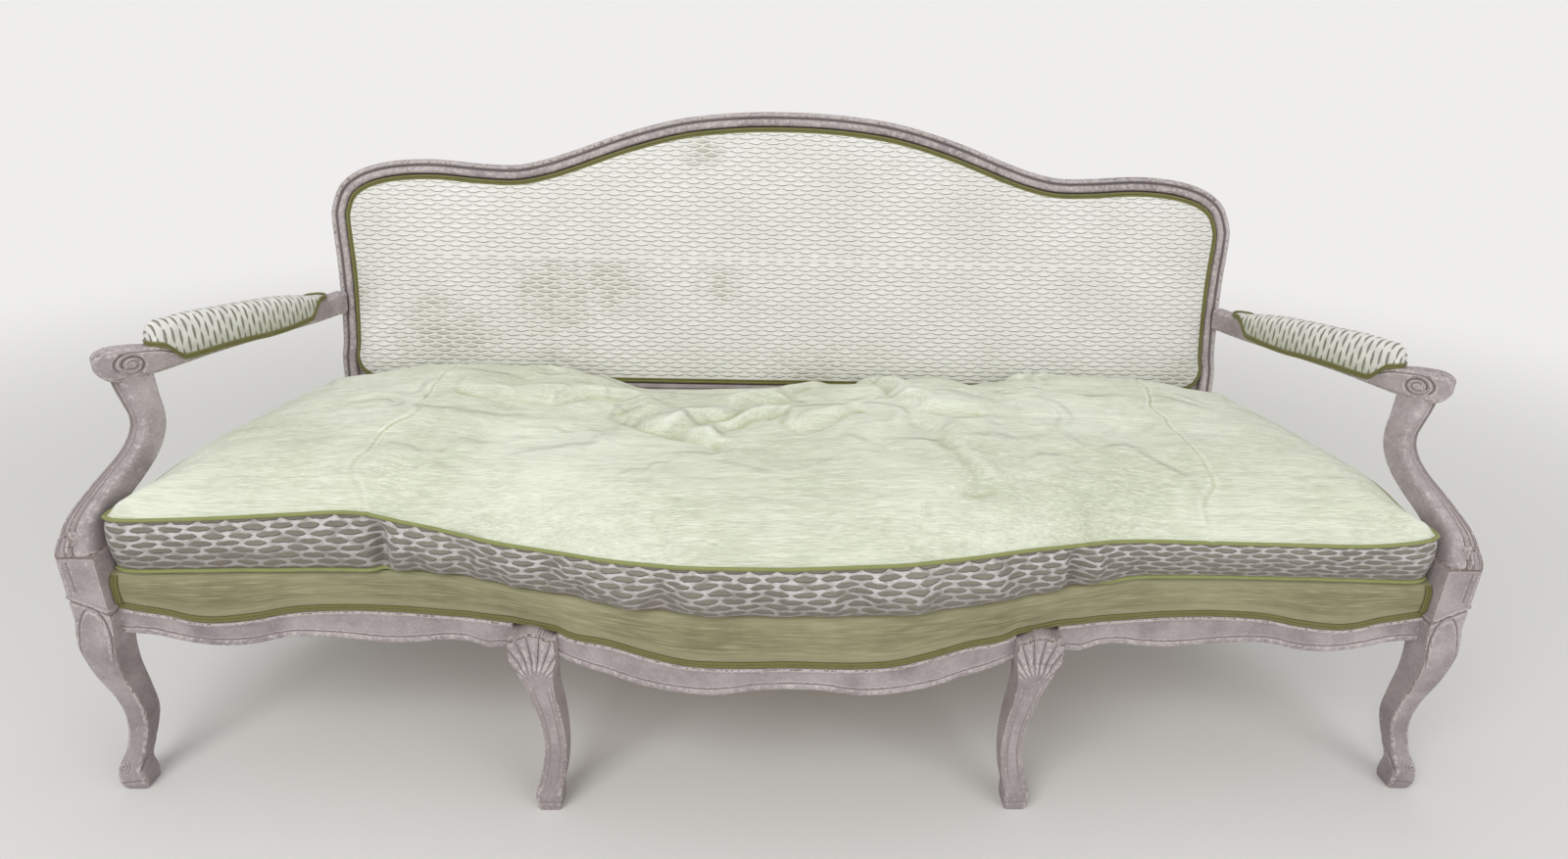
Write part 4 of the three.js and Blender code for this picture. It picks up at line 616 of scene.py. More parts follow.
def outward(rings: Array) -> Array:
    """Level outward direction at each point of level rings that run anticlockwise, along the last axes."""
    way = np.roll(rings, -1, -2) - np.roll(rings, 1, -2)
    out = np.stack([way[..., 1], -way[..., 0], np.zeros(way.shape[:-1])], -1)
    return out / np.maximum(np.linalg.norm(out, axis=-1, keepdims=True), 1e-9)


# Finishes


def linear(code: str) -> tuple[float, float, float, float]:
    """A colour written as sRGB hex in the numbers that a shader takes."""
    parts = [int(code[i : i + 2], 16) / 255 for i in (1, 3, 5)]
    return tuple(c / 12.92 if c <= 0.04045 else ((c + 0.055) / 1.055) ** 2.4 for c in parts) + (1.0,)


def add_node(tree: bpy.types.NodeTree, kind: str, inputs: dict | Sequence, **settings) -> bpy.types.Node:
    """Adds one node.

    Args:
        tree: the tree that it goes into.
        kind: its whole type.
        inputs: values and links by input, or in the inputs' order; a hex code becomes its colour.
        settings: its own settings.

    Returns:
        The node.
    """
    made = tree.nodes.new(kind)
    for name, value in settings.items():
        setattr(made, name, value)
    for key, value in inputs.items() if isinstance(inputs, dict) else enumerate(inputs):
        if isinstance(value, Socket):
            tree.links.new(value, made.inputs[key])
        else:
            is_colour = isinstance(value, str) and value.startswith("#")
            made.inputs[key].default_value = linear(value) if is_colour else value
    return made


class Recipe:
    """Nodes of one material, or of the world."""

    # Settings and output of the kinds of node that are always used the same way
    USUAL = {"Mix": ({"data_type": "RGBA"}, 2), "Attribute": ({}, 2)}

    def __init__(self, name: str, kind: str = "materials") -> None:
        """Starts a material or a world with an empty tree."""
        self.holder = getattr(bpy.data, kind).new(name)
        self.holder.use_nodes = True
        self.tree = self.holder.node_tree
        self.tree.nodes.clear()

    def add(self, kind: str, inputs: dict | Sequence = (), output: int = 0, **settings) -> Socket:
        """Adds one node.

        Args:
            kind: the node's type after ShaderNode.
            inputs: values and links by input, or in order, as a map range takes its value, the two ends
                that it comes from and the two that it goes to.
            output: which output to return.
            settings: the node's own settings.

        Returns:
            One of its outputs.
        """
        usual, chosen = self.USUAL.get(kind, ({}, output))
        return add_node(self.tree, f"ShaderNode{kind}", inputs, **usual, **settings).outputs[chosen]

    def finish(self, colour: Socket, height: Socket, depth: float, **shader) -> Material:
        """Adds the bump, the shader and the output.

        Args:
            colour: the base colour.
            height: height of the surface, from 0 to 1.
            depth: what a height of 1 is, in metres.
            shader: values of the shader's sockets, with underscores for spaces.

        Returns:
            The material.
        """
        normal = self.add("Bump", {"Height": height, "Distance": depth, "Strength": 1.0})
        inputs = {key.replace("_", " "): value for key, value in shader.items()}
        return self.end(self.add("BsdfPrincipled", inputs | {"Base Color": colour, "Normal": normal}))

    def end(self, surface: Socket) -> Material | bpy.types.World:
        """Links the surface to the output and returns what holds the tree."""
        kind = "World" if isinstance(self.holder, bpy.types.World) else "Material"
        add_node(self.tree, f"ShaderNodeOutput{kind}", {"Surface": surface})
        return self.holder


@dataclass(frozen=True)
class AgedPaint:
    """Old oil paint on carved beech: matt, rubbed to the wood on its edges, pale on its raised edges from
    rubbing and painted highlight, darker in its grooves from dirt and painted shade, and darkened towards the
    floor as painted shade.
    """

    name: str = "aged_grey_paint"
    light: str = "#B8ADAE"
    dark: str = "#8F8486"
    # Pale colour of raised edges: paint rubbed to its pale ground, and painted highlight
    rubbed: str = "#D3CDC9"
    wood: str = "#5C4238"
    # Dark colour of grooves and cracks: dirt, and in the grooves also painted shade
    dirt: str = "#5E5654"
    patch: float = 14
    chip: float = 150
    # Height in metres up to which, and brightness at the floor to which, the paint is darkened as painted
    # shade
    floor_shade_height: float = 0.3
    floor_shade: float = 0.8

    def material(self) -> Material:
        """Builds the material."""
        r = Recipe(self.name)
        place = r.add("TexCoord", output=3)
        relief = r.add("Attribute", attribute_name="relief")
        cloud = r.add("TexNoise", {"Vector": place, "Scale": self.patch, "Detail": 5.0, "Roughness": 0.6})
        brush = r.add("TexNoise", {"Vector": place, "Scale": self.chip * 1.6, "Detail": 3.0})
        tone = r.add("MapRange", (cloud, 0.32, 0.68))
        base = r.add("Mix", {0: tone, 6: self.dark, 7: self.light})
        speck = r.add("MapRange", (brush, 0.3, 0.7, 0.9, 1.08))
        base = r.add("VectorMath", {0: base, "Scale": speck}, operation="SCALE")
        # Painted shade: the paint darkens towards the floor, where the legs get less light
        height = r.add("SeparateXYZ", (place,), 2)
        low = r.add("MapRange", (height, 0.0, self.floor_shade_height, self.floor_shade, 1.0))
        base = r.add("VectorMath", {0: base, "Scale": low}, operation="SCALE")
        chips = r.add("TexNoise", {"Vector": place, "Scale": self.chip, "Detail": 4.0, "Roughness": 0.65})
        # Raised edges turn pale: partly paint rubbed to its pale ground, partly painted highlight
        worn = r.add("Math", (relief, 0.42), operation="MULTIPLY")
        worn = r.add("Math", (worn, chips), operation="ADD")
        pale_edge_and_highlight = r.add("MapRange", (worn, 0.6, 0.8, 0.0, 0.8))
        bare = r.add("MapRange", (worn, 0.79, 0.84, 0.0, 0.7))
        # Grooves and hollows darken: partly dirt, partly painted shade
        hollow = r.add("Math", (relief, -1.0), operation="MULTIPLY")
        hollow = r.add("Math", (hollow, cloud), operation="ADD")
        groove_dirt_and_shade = r.add("MapRange", (hollow, 0.72, 1.25, 0.0, 0.8))
        # Hair cracks follow the line where a slow noise crosses its middle value
        crack = r.add("TexNoise", {"Vector": place, "Scale": 38.0, "Detail": 4.0, "Distortion": 0.6})
        crack = r.add("Math", (crack, 0.5), operation="SUBTRACT")
        crack = r.add("Math", (crack,), operation="ABSOLUTE")
        crack = r.add("MapRange", (crack, 0.0015, 0.005, 1.0, 0.0))
        gate = r.add("MapRange", (brush, 0.52, 0.6, 0.0, 0.55))
        crack = r.add("Math", (crack, gate), operation="MULTIPLY")
        for share, colour in ((pale_edge_and_highlight, self.rubbed), (bare, self.wood), (groove_dirt_and_shade, self.dirt), (crack, self.dirt)):
            base = r.add("Mix", {0: share, 6: base, 7: colour})
        height = r.add("Math", (chips, crack), operation="SUBTRACT")
        height = r.add("Math", (height, bare), operation="SUBTRACT")
        return r.finish(base, height, 0.00035, Roughness=0.58, Specular_IOR_Level=0.35)


@dataclass(frozen=True)
class BareWood:
    """Sawn and planed beech inside the sofa: dry, with a straight grain."""

    name: str = "bare_beech"
    light: str = "#B08E66"
    dark: str = "#846444"
    grain: float = 320

    def material(self) -> Material:
        """Builds the material."""
        r = Recipe(self.name)
        place = r.add("TexCoord", output=3)
        stretched = r.add("Mapping", {"Vector": place, "Scale": (0.06, 1.0, 1.0)})
        grain = r.add("TexNoise", {"Vector": stretched, "Scale": self.grain, "Detail": 4.0})
        tone = r.add("MapRange", (grain, 0.35, 0.65))
        base = r.add("Mix", {0: tone, 6: self.dark, 7: self.light})
        return r.finish(base, grain, 0.0002, Roughness=0.75)


@dataclass(frozen=True)
class StrieCloth:
    """Woven strié cloth: fine uneven threads along its width that catch light and shade, with painted shade
    in its folds and painted highlight on its ridges.
    """

    name: str
    light: str
    dark: str
    light_thread_and_highlight: str
    by_uv: bool = False
    dash: float = 30.0
    thread: float = 2.2
    # Colour painted into folds as painted shade
    crease: str = "#9AA06A"
    # Height of the small creases in metres
    crumple: float = 0.0

    def material(self) -> Material:
        """Builds the material."""
        r = Recipe(self.name)
        place = r.add("TexCoord", output=2 if self.by_uv else 3)
        relief = r.add("Attribute", attribute_name="relief")
        cloud = r.add("TexNoise", {"Vector": place, "Scale": 5.0, "Detail": 4.0, "Roughness": 0.55})
        tone = r.add("MapRange", (cloud, 0.35, 0.65))
        base = r.add("Mix", {0: tone, 6: self.dark, 7: self.light})
        along = 1 / (self.dash * MM)
        across = 1 / (self.thread * MM)
        flat = r.add("Mapping", {"Vector": place, "Scale": (along, across, across)})
        threads = r.add("TexNoise", {"Vector": flat, "Scale": 1.0, "Detail": 2.5, "Roughness": 0.7})
        slow = r.add("Mapping", {"Vector": place, "Scale": (along / 6, across / 5, across / 5)})
        bands = r.add("TexNoise", {"Vector": slow, "Scale": 1.0, "Detail": 2.0})
        bright = r.add("MapRange", (threads, 0.5, 0.72, 0.0, 0.8))
        base = r.add("Mix", {0: bright, 6: base, 7: self.light_thread_and_highlight})
        shade = r.add("MapRange", (threads, 0.28, 0.5, 0.8, 1.0))
        veil = r.add("MapRange", (bands, 0.3, 0.7, 0.92, 1.05))
        shade = r.add("Math", (shade, veil), operation="MULTIPLY")
        base = r.add("VectorMath", {0: base, "Scale": shade}, operation="SCALE")
        # Painted shade darkens the colour where the surface folds in, and painted highlight lightens it on
        # ridges
        fold = r.add("MapRange", (relief, -0.03, -0.3, 0.0, 0.5))
        base = r.add("Mix", {0: fold, 6: base, 7: self.crease})
        crown = r.add("MapRange", (relief, 0.03, 0.25, 0.0, 0.5))
        base = r.add("Mix", {0: crown, 6: base, 7: self.light_thread_and_highlight})
        # Small creases follow the line where a slow noise crosses its middle value, most where people sit
        fine = 0.0005
        spread = r.add("Mapping", {"Vector": place, "Scale": (0.8, 1.25, 1.0)})
        ridge = r.add("TexNoise", {"Vector": spread, "Scale": 7.5, "Detail": 1.6, "Distortion": 0.9})
        ridge = r.add("Math", (ridge, 0.5), operation="SUBTRACT")
        ridge = r.add("Math", (ridge,), operation="ABSOLUTE")
        ridge = r.add("MapRange", (ridge, 0.0, 0.2), interpolation_type="SMOOTHERSTEP")
        split = r.add("SeparateXYZ", (place,)).node
        away = r.add("Math", (split.outputs[0],), operation="ABSOLUTE")
        used = r.add("MapRange", (away, 0.45, 0.8, 1.0, 0.25))
        ridge = r.add("Math", (ridge, used), operation="MULTIPLY")
        back = r.add("MapRange", (split.outputs[1], -0.26, -0.06, 0.25, 1.0))
        ridge = r.add("Math", (ridge, back), operation="MULTIPLY")
        ridge = r.add("Math", (ridge, self.crumple / fine), operation="MULTIPLY")
        height = r.add("Math", (ridge, threads), operation="ADD")
        return r.finish(base, height, fine, Roughness=0.72, Sheen_Weight=0.12, Sheen_Roughness=0.4)


@dataclass(frozen=True)
class CutVelvet:
    """Cut velvet: rows of brushed pile tufts on a smooth pale ground, with painted shade along each tuft's
    lower edge.
    """

    name: str
    pitch: float
    row: float
    tuft: str
    tuft_dark: str
    ground: str
    # Colour of the painted shade along each tuft's lower edge
    edge: str
    half_width: float = 0.46
    half_height: float = 0.43
    fullness: float = 2.0
    roundness: float = 1.0
    edge_width: float = 0.16
    wander: float = 0.6
    worn: str = "#8F8B6B"
    worn_at: tuple[tuple[float, float, float], ...] = ()
    # Heights between which the cloth turns darker towards the bottom, to its lower colours
    darkest_at: float = 0.0
    plain_above: float = 0.001
    low_tuft: str = "#75744F"
    low_ground: str = "#B4B5A2"
    rubbed_net: float = 0.2

    def material(self) -> Material:
        """Builds the material."""
        r = Recipe(self.name)
        cloth = r.add("TexCoord", output=2)
        wander = r.add("TexNoise", {"Vector": cloth, "Scale": 90.0, "Detail": 2.0}, 1)
        wander = r.add("VectorMath", (wander, (0.5, 0.5, 0.5)), operation="SUBTRACT")
        wander = r.add("VectorMath", {0: wander, "Scale": self.wander * 4 * MM}, operation="SCALE")
        place = r.add("VectorMath", (cloth, wander), operation="ADD")
        split = r.add("SeparateXYZ", (place,)).node
        rows = r.add("Math", (split.outputs[1], self.row * MM), operation="DIVIDE")
        number = r.add("Math", (rows,), operation="FLOOR")
        v = r.add("Math", (rows, number), operation="SUBTRACT")
        v = r.add("Math", (v, 0.5), operation="SUBTRACT")
        shift = r.add("Math", (number, 0.5), operation="MULTIPLY")
        columns = r.add("Math", (split.outputs[0], self.pitch * MM), operation="DIVIDE")
        columns = r.add("Math", (columns, shift), operation="ADD")
        u = r.add("Math", (columns,), operation="FRACT")
        u = r.add("Math", (u, 0.5), operation="SUBTRACT")
        u = r.add("Math", (u,), operation="ABSOLUTE")
        u = r.add("Math", (u, self.half_width), operation="DIVIDE")
        u = r.add("Math", (u, self.fullness), operation="POWER")
        reach = r.add("Math", (1.0, u), operation="SUBTRACT", use_clamp=True)
        reach = r.add("Math", (reach, self.roundness), operation="POWER")
        reach = r.add("Math", (reach, self.half_height), operation="MULTIPLY")
        high = r.add("Math", (v,), operation="ABSOLUTE")
        inside = r.add("Math", (reach, high), operation="SUBTRACT")
        tuft = r.add("MapRange", (inside, -0.04, 0.09), interpolation_type="SMOOTHSTEP")
        # Painted shade: a dark line along the lower edge of each tuft, where the raised pile would shade the
        # ground
        over = r.add("Math", (reach, v), operation="ADD")
        over = r.add("Math", (over, 0.02), operation="SUBTRACT")
        over = r.add("Math", (over,), operation="ABSOLUTE")
        under = r.add("MapRange", (over, self.edge_width, 0.0), interpolation_type="SMOOTHSTEP")
        half = r.add("MapRange", (v, 0.0, -0.1))
        under = r.add("Math", (under, half), operation="MULTIPLY")
        pile = r.add("TexNoise", {"Vector": cloth, "Scale": 900.0, "Detail": 2.0})
        cloud = r.add("TexNoise", {"Vector": cloth, "Scale": 7.0, "Detail": 4.0, "Roughness": 0.6})
        mix = r.add("Math", (pile, cloud), operation="ADD")
        tone = r.add("MapRange", (mix, 0.8, 1.15))
        tufts = r.add("Mix", {0: tone, 6: self.tuft_dark, 7: self.tuft})
        stain = self.stains(r, cloth, cloud)
        tufts = r.add("Mix", {0: stain, 6: tufts, 7: self.worn})
        # The tufts and the ground turn darker towards the bottom
        spot = r.add("SeparateXYZ", (r.add("TexCoord", output=3),), 2)
        lowness = (spot, self.plain_above, self.darkest_at, 0.0, 0.85)
        lowness = r.add("MapRange", lowness, interpolation_type="SMOOTHSTEP")
        tufts = r.add("Mix", {0: lowness, 6: tufts, 7: self.low_tuft})
        ground = r.add("Mix", {
            0: lowness, 6: self.ground, 7: self.low_ground,
        })
        fade = r.add("TexNoise", {"Vector": cloth, "Scale": 55.0, "Detail": 3.0})
        fade = r.add("MapRange", (fade, 0.42, 0.66, 0.0, self.rubbed_net))
        ground = r.add("Mix", {0: fade, 6: ground, 7: tufts})
        base = r.add("Mix", {0: tuft, 6: ground, 7: tufts})
        # Painted shade along the tufts' lower edges
        base = r.add("Mix", {0: under, 6: base, 7: self.edge})
        fleck = r.add("MapRange", (pile, 0.3, 0.7, 0.93, 1.06))
        base = r.add("VectorMath", {0: base, "Scale": fleck}, operation="SCALE")
        height = r.add("Math", (tuft, under), operation="SUBTRACT")
        return r.finish(base, height, 0.0009, Roughness=0.85, Sheen_Weight=0.25, Sheen_Roughness=0.35)

    def stains(self, r: Recipe, cloth: Socket, cloud: Socket) -> Socket:
        """How far the pile is rubbed off, near the worn places.

        Args:
            r: the material's nodes.
            cloth: place on the cloth.
            cloud: slow noise on the cloth.

        Returns:
            A share from 0 to 1.
        """
        most = r.add("MapRange", (cloud, 0.63, 0.8, 0.0, 0.15))
        grit = r.add("TexNoise", {"Vector": cloth, "Scale": 30.0, "Detail": 5.0, "Roughness": 0.7})
        for x, y, radius in self.worn_at:
            far = r.add("VectorMath", (cloth, (x * MM, y * MM, 0)), 1, operation="DISTANCE")
            near = r.add("MapRange", (far, 1.2 * radius * MM, 0.0, 0.0, 0.5))
            near = r.add("Math", (near, grit), operation="ADD")
            near = r.add("MapRange", (near, 0.66, 0.98, 0.0, 0.5))
            most = r.add("Math", (most, near), operation="MAXIMUM")
        return most


@dataclass(frozen=True)
class TwistedYarn:
    """Silk-wrapped cord: a twist of fine yarns, a little shiny along its crown, lighter on the twist's ridges
    as painted highlight and darker between them as painted shade.
    """

    name: str
    light: str
    dark: str
    twist: float = 2.4
    strands: float = 1.0
    relief: float = 0.0001

    def material(self) -> Material:
        """Builds the material."""
        r = Recipe(self.name)
        cloth = r.add("TexCoord", output=2)
        split = r.add("SeparateXYZ", (cloth,)).node
        turn = r.add("Math", (split.outputs[0], 1 / (self.twist * MM)), operation="MULTIPLY")
        around = r.add("Math", (split.outputs[1], self.strands), operation="MULTIPLY")
        turn = r.add("Math", (turn, around), operation="ADD")
        turn = r.add("Math", (turn, TAU), operation="MULTIPLY")
        wave = r.add("Math", (turn,), operation="SINE")
        rib = r.add("MapRange", (wave, -1.0, 1.0))
        place = r.add("TexCoord", output=3)
        cloud = r.add("TexNoise", {"Vector": place, "Scale": 60.0, "Detail": 3.0})
        # Painted highlight and shade: the colour follows the twist's ridges, light on them and dark between
        # them, varied by a slow noise
        tone = r.add("Math", (rib, cloud), operation="MULTIPLY")
        tone = r.add("MapRange", (tone, 0.0, 0.5))
        base = r.add("Mix", {0: tone, 6: self.dark, 7: self.light})
        return r.finish(base, rib, self.relief, Roughness=0.6, Sheen_Weight=0.15)


@dataclass(frozen=True)
class PlainJute:
    """Coarse jute: open plain weave of hairy brown yarn."""

    name: str
    light: str
    dark: str
    thread: float = 2.0

    def material(self) -> Material:
        """Builds the material."""
        r = Recipe(self.name)
        place = r.add("TexCoord", output=3)
        heights = []
        scale = 1 / (self.thread * MM)
        for lane in ((1, 0.05, 1), (0.05, 1, 1)):
            flat = r.add("Mapping", {"Vector": place, "Scale": lane})
            heights.append(r.add("TexNoise", {"Vector": flat, "Scale": scale, "Detail": 1.0}))
        weave = r.add("Math", (heights[0], heights[1]), operation="MAXIMUM")
        tone = r.add("MapRange", (weave, 0.45, 0.7))
        base = r.add("Mix", {0: tone, 6: self.dark, 7: self.light})
        return r.finish(base, weave, 0.0006, Roughness=0.9)


@dataclass(frozen=True)
class StudioPaper:
    """Matt seamless paper under the sofa."""

    name: str = "studio_paper"
    colour: str = "#E4E3E0"
    far_colour: str = "#EFEEEC"

    def material(self) -> Material:
        """Builds the material."""
        r = Recipe(self.name)
        place = r.add("TexCoord", output=3)
        tooth = r.add("TexNoise", {"Vector": place, "Scale": 400.0, "Detail": 2.0})
        tone = r.add("MapRange", (tooth, 0.0, 1.0, 0.99, 1.01))
        base = r.add("VectorMath", {0: linear(self.colour)[:3], "Scale": tone}, operation="SCALE")
        paper = r.add("BsdfPrincipled", {"Base Color": base, "Roughness": 0.9})
        # Away from the sofa the paper is lit evenly, so that it meets the background without a line
        glow = r.add("Emission", {"Color": self.far_colour, "Strength": 1.0})
        far = r.add("VectorMath", (place,), 1, operation="LENGTH")
        fade = r.add("MapRange", (far, 1.3, 4.2), interpolation_type="SMOOTHSTEP")
        seen = r.add("LightPath")
        share = r.add("Math", (fade, seen), operation="MULTIPLY")
        return r.end(r.add("MixShader", (share, paper, glow)))


class Finishes:
    """Every material of the sofa, made once."""

    def __init__(self) -> None:
        """Builds the materials."""
        self.paint = AgedPaint().material()
        self.bare = BareWood().material()
        self.top_cloth = StrieCloth(
            "cushion_strie", "#DCE0CD", "#C8CDB5", "#E9ECDF", crumple=0.009,
        ).material()
        self.border_cloth = StrieCloth(
            "border_strie", "#95916F", "#787253", "#AAA684", by_uv=True, dash=60, thread=2.6,
            crease="#6A6444",
        ).material()
        self.back_velvet = CutVelvet(
            "back_cut_velvet", 32, 8.1, "#EFEEEA", "#DEDDD6", "#E3E2DC", "#AAA69C", worn_at=BACK_WEAR,
        ).material()
        self.boxing_velvet = CutVelvet(
            "boxing_cut_velvet", 38, 10.2, "#8D887C", "#6E695F", "#CBC5C5", "#66615A",
            half_width=0.44, half_height=0.38, fullness=3.0, roundness=0.75, edge_width=0.1, wander=1.1,
            darkest_at=0.372, plain_above=0.432, low_tuft="#746D62", low_ground="#978F8B",
            rubbed_net=0.75,
        ).material()
        self.arm_velvet = CutVelvet(
            "arm_cut_velvet", 30, 10.5, "#9A998D", "#7D7B6B", "#E4E3DE", "#827F70",
            half_width=0.46, half_height=0.2, fullness=2.4, edge_width=0.08,
            darkest_at=0.622, plain_above=0.668,
        ).material()
        self.gimp = TwistedYarn("olive_gimp", "#75733C", "#5E5B28", twist=1.8).material()
        self.piping = TwistedYarn("green_piping", "#93975A", "#757C44", twist=2.6).material()
        self.webbing = PlainJute("jute_webbing", "#B59A70", "#80643F", 2.4).material()
        self.hessian = PlainJute("jute_hessian", "#C0A67C", "#8C7048", 1.8).material()
        self.paper = StudioPaper().material()


BACK_WEAR = (
    (-430, 330, 120), (-330, 350, 90), (-130, 350, 60), (-160, 600, 55), (-640, 250, 130),
    (-800, 330, 70), (40, 160, 120), (-420, 165, 110), (760, 200, 70),
)


# Carved frame


@dataclass
class BackFrame:
    """Crest rail and back posts, one moulding all round with a rebate for the upholstery."""

    finishes: Finishes
    width: float = 46
    depth: float = 34
    rebate: float = 12
    leg: float = 40
    sweep: float = 80

    # Inset, depth, and share of the rebate added to the depth, from the outer back edge round the front
    PROFILE = (
        (2.5, 34, 0), (0.7, 33.2, 0), (0, 31.5, 0), (0, 20, 0), (0, 9, 0), (0.1, 6.5, 0), (0.7, 4.2, 0),
        (1.9, 2, 0), (3.6, 0.6, 0), (5.4, 0.1, 0), (7, 0.6, 0), (8.1, 1.8, 0), (8.7, 3.4, 0),
        (9.3, 4.6, 0), (10.6, 5.1, 0), (12, 4.6, 0), (12.9, 3.2, 0), (13.8, 1.8, 0), (15.4, 0.6, 0),
        (17.8, 0, 0), (20.4, 0.2, 0), (22.4, 0.2, 0.08), (24, 0.1, 0.22), (25, 0.1, 0.42),
        (25.4, 0, 1), (36, 0, 1), (46, 0, 1), (46, 22, 0.1), (46, 32, 0), (45.3, 33.4, 0), (44, 34, 0),
    )
    # Share of the rail's height, outer edge as a share of the half width, sweep as a share of the rear
    # leg's sweep, width and depth as shares of the leg's size, from the lower rail to the floor
    LEG = (
        (1.23, 0.998, 0.16, 1.15, 0.88), (1, 0.999, 0, 1.2, 1), (0.74, 1.002, -0.07, 1.25, 1.05),
        (0.62, 1, -0.06, 1.1, 1), (0.43, 0.998, 0.07, 0.9, 0.9), (0.25, 1, 0.4, 0.8, 0.85),
        (0.12, 1.005, 0.7, 0.82, 0.85), (0.04, 1.008, 0.92, 0.95, 0.95), (0, 1.01, 1, 0.95, 0.95),
    )

    def section(self, width: float, depth: float, rebate: float) -> Array:
        """Moulding's section: inset and depth of each point.

        Args:
            width: width of the section.
            depth: depth of the section.
            rebate: depth of the rebate.

        Returns:
            Two columns, inset and depth.
        """
        rows = np.array(self.PROFILE)
        inset = rows[:, 0] * width / self.width
        deep = rows[:, 1] * np.where(rows[:, 1] > 10, depth / self.depth, 1) + rows[:, 2] * rebate
        return np.stack([inset, deep], -1)

    def rings(self, steps: Array) -> Array:
        """Rings of the moulding at steps of the back's outline."""
        section = self.section(self.width, self.depth, self.rebate)
        flat = np.stack([D.outline(steps, inset) for inset in section[:, 0]], 1)
        return D.back(flat, section[:, 1])

    def crest(self) -> Piece:
        """The crest rail between its two joints with the posts."""
        rings = self.rings(np.linspace(-CREST_JOINT, CREST_JOINT, 260))
        return lofted("crest_rail_moulding", "crest_rail", rings, self.finishes.paint)

    def post(self, hand: Hand) -> Piece:
        """A back post: stile above, rear leg below."""
        end = D.step_at(D.low_edge - D.rail_edge)
        stile = self.rings(np.linspace(CREST_JOINT + 0.006, end, 60))
        rows = np.array(self.LEG)
        place = np.linspace(0, len(rows) - 1, 60)
        indexed = joined([np.arange(len(rows))[:, None], rows], 1)
        leg = []
        for share, edge, sweep, wide, deep in through(indexed, place):
            section = self.section(wide * self.leg, deep * self.leg, 0)
            lean = smooth(share, 1, 1.23) * D.rake
            x = edge * D.back_half - section[:, 0]
            y = D.seat_depth + sweep * self.sweep + section[:, 1] * math.cos(lean)
            z = share * D.rail_top - section[:, 1] * math.sin(lean)
            leg.append(np.stack([x, y, z], -1))
        leg = np.array(leg)
        blend = np.linspace(0, 1, 8)[1:-1, None, None]
        between = stile[-1] * (1 - blend) + leg[0] * blend
        rings = joined([stile, between, leg])
        rings[-1, :, 2] = 0
        return lofted("back_post_moulding", "back_post", rings, self.finishes.paint, hand)

    def build(self) -> None:
        """Builds the crest and the posts, and dresses the rails behind the upholstery."""
        self.crest()
        for hand in Hand:
            self.post(hand)
        dress(["lower_back_rail"], self.finishes.paint)
        dress(["back_upright_right", "back_upright_left"], self.finishes.bare)


def dress(nodes: Sequence[str], material: Material) -> None:
    """Gives nodes that keep their shape a finish.

    Args:
        nodes: names of the nodes.
        material: their finish.
    """
    for name in nodes:
        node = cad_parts[name]
        node.data.materials.clear()
        node.data.materials.append(material)
        log.info("%s dressed", name)


def rounded(half_width: float, half_depth: float, corner: float, counts: Sequence[int]) -> Array:
    """A square with rounded corners.

    Args:
        half_width: half its size in x.
        half_depth: half its size in y.
        corner: radius of its corners.
        counts: spaces along the front, the right, the back and the left side.

    Returns:
        Points x and y, from the front left corner.
    """
    a, b = half_width - corner, half_depth - corner
    ends = (((-a, -b), (a, -b)), ((a, -b), (a, b)), ((a, b), (-a, b)), ((-a, b), (-a, -b)))
    points = []
    for side, (start, end) in enumerate(ends):
        turn = (side - 1) * math.pi / 2
        out = np.array([math.cos(turn), math.sin(turn)]) * corner
        t = np.linspace(0, 1, counts[side] + 1)[:, None]
        points.append(np.array(start) * (1 - t) + np.array(end) * t + out)
        arc = turn + np.linspace(0, math.pi / 2, 6)[1:-1]
        points.append(np.array(end) + corner * np.stack([np.cos(arc), np.sin(arc)], -1))
    return joined(points)


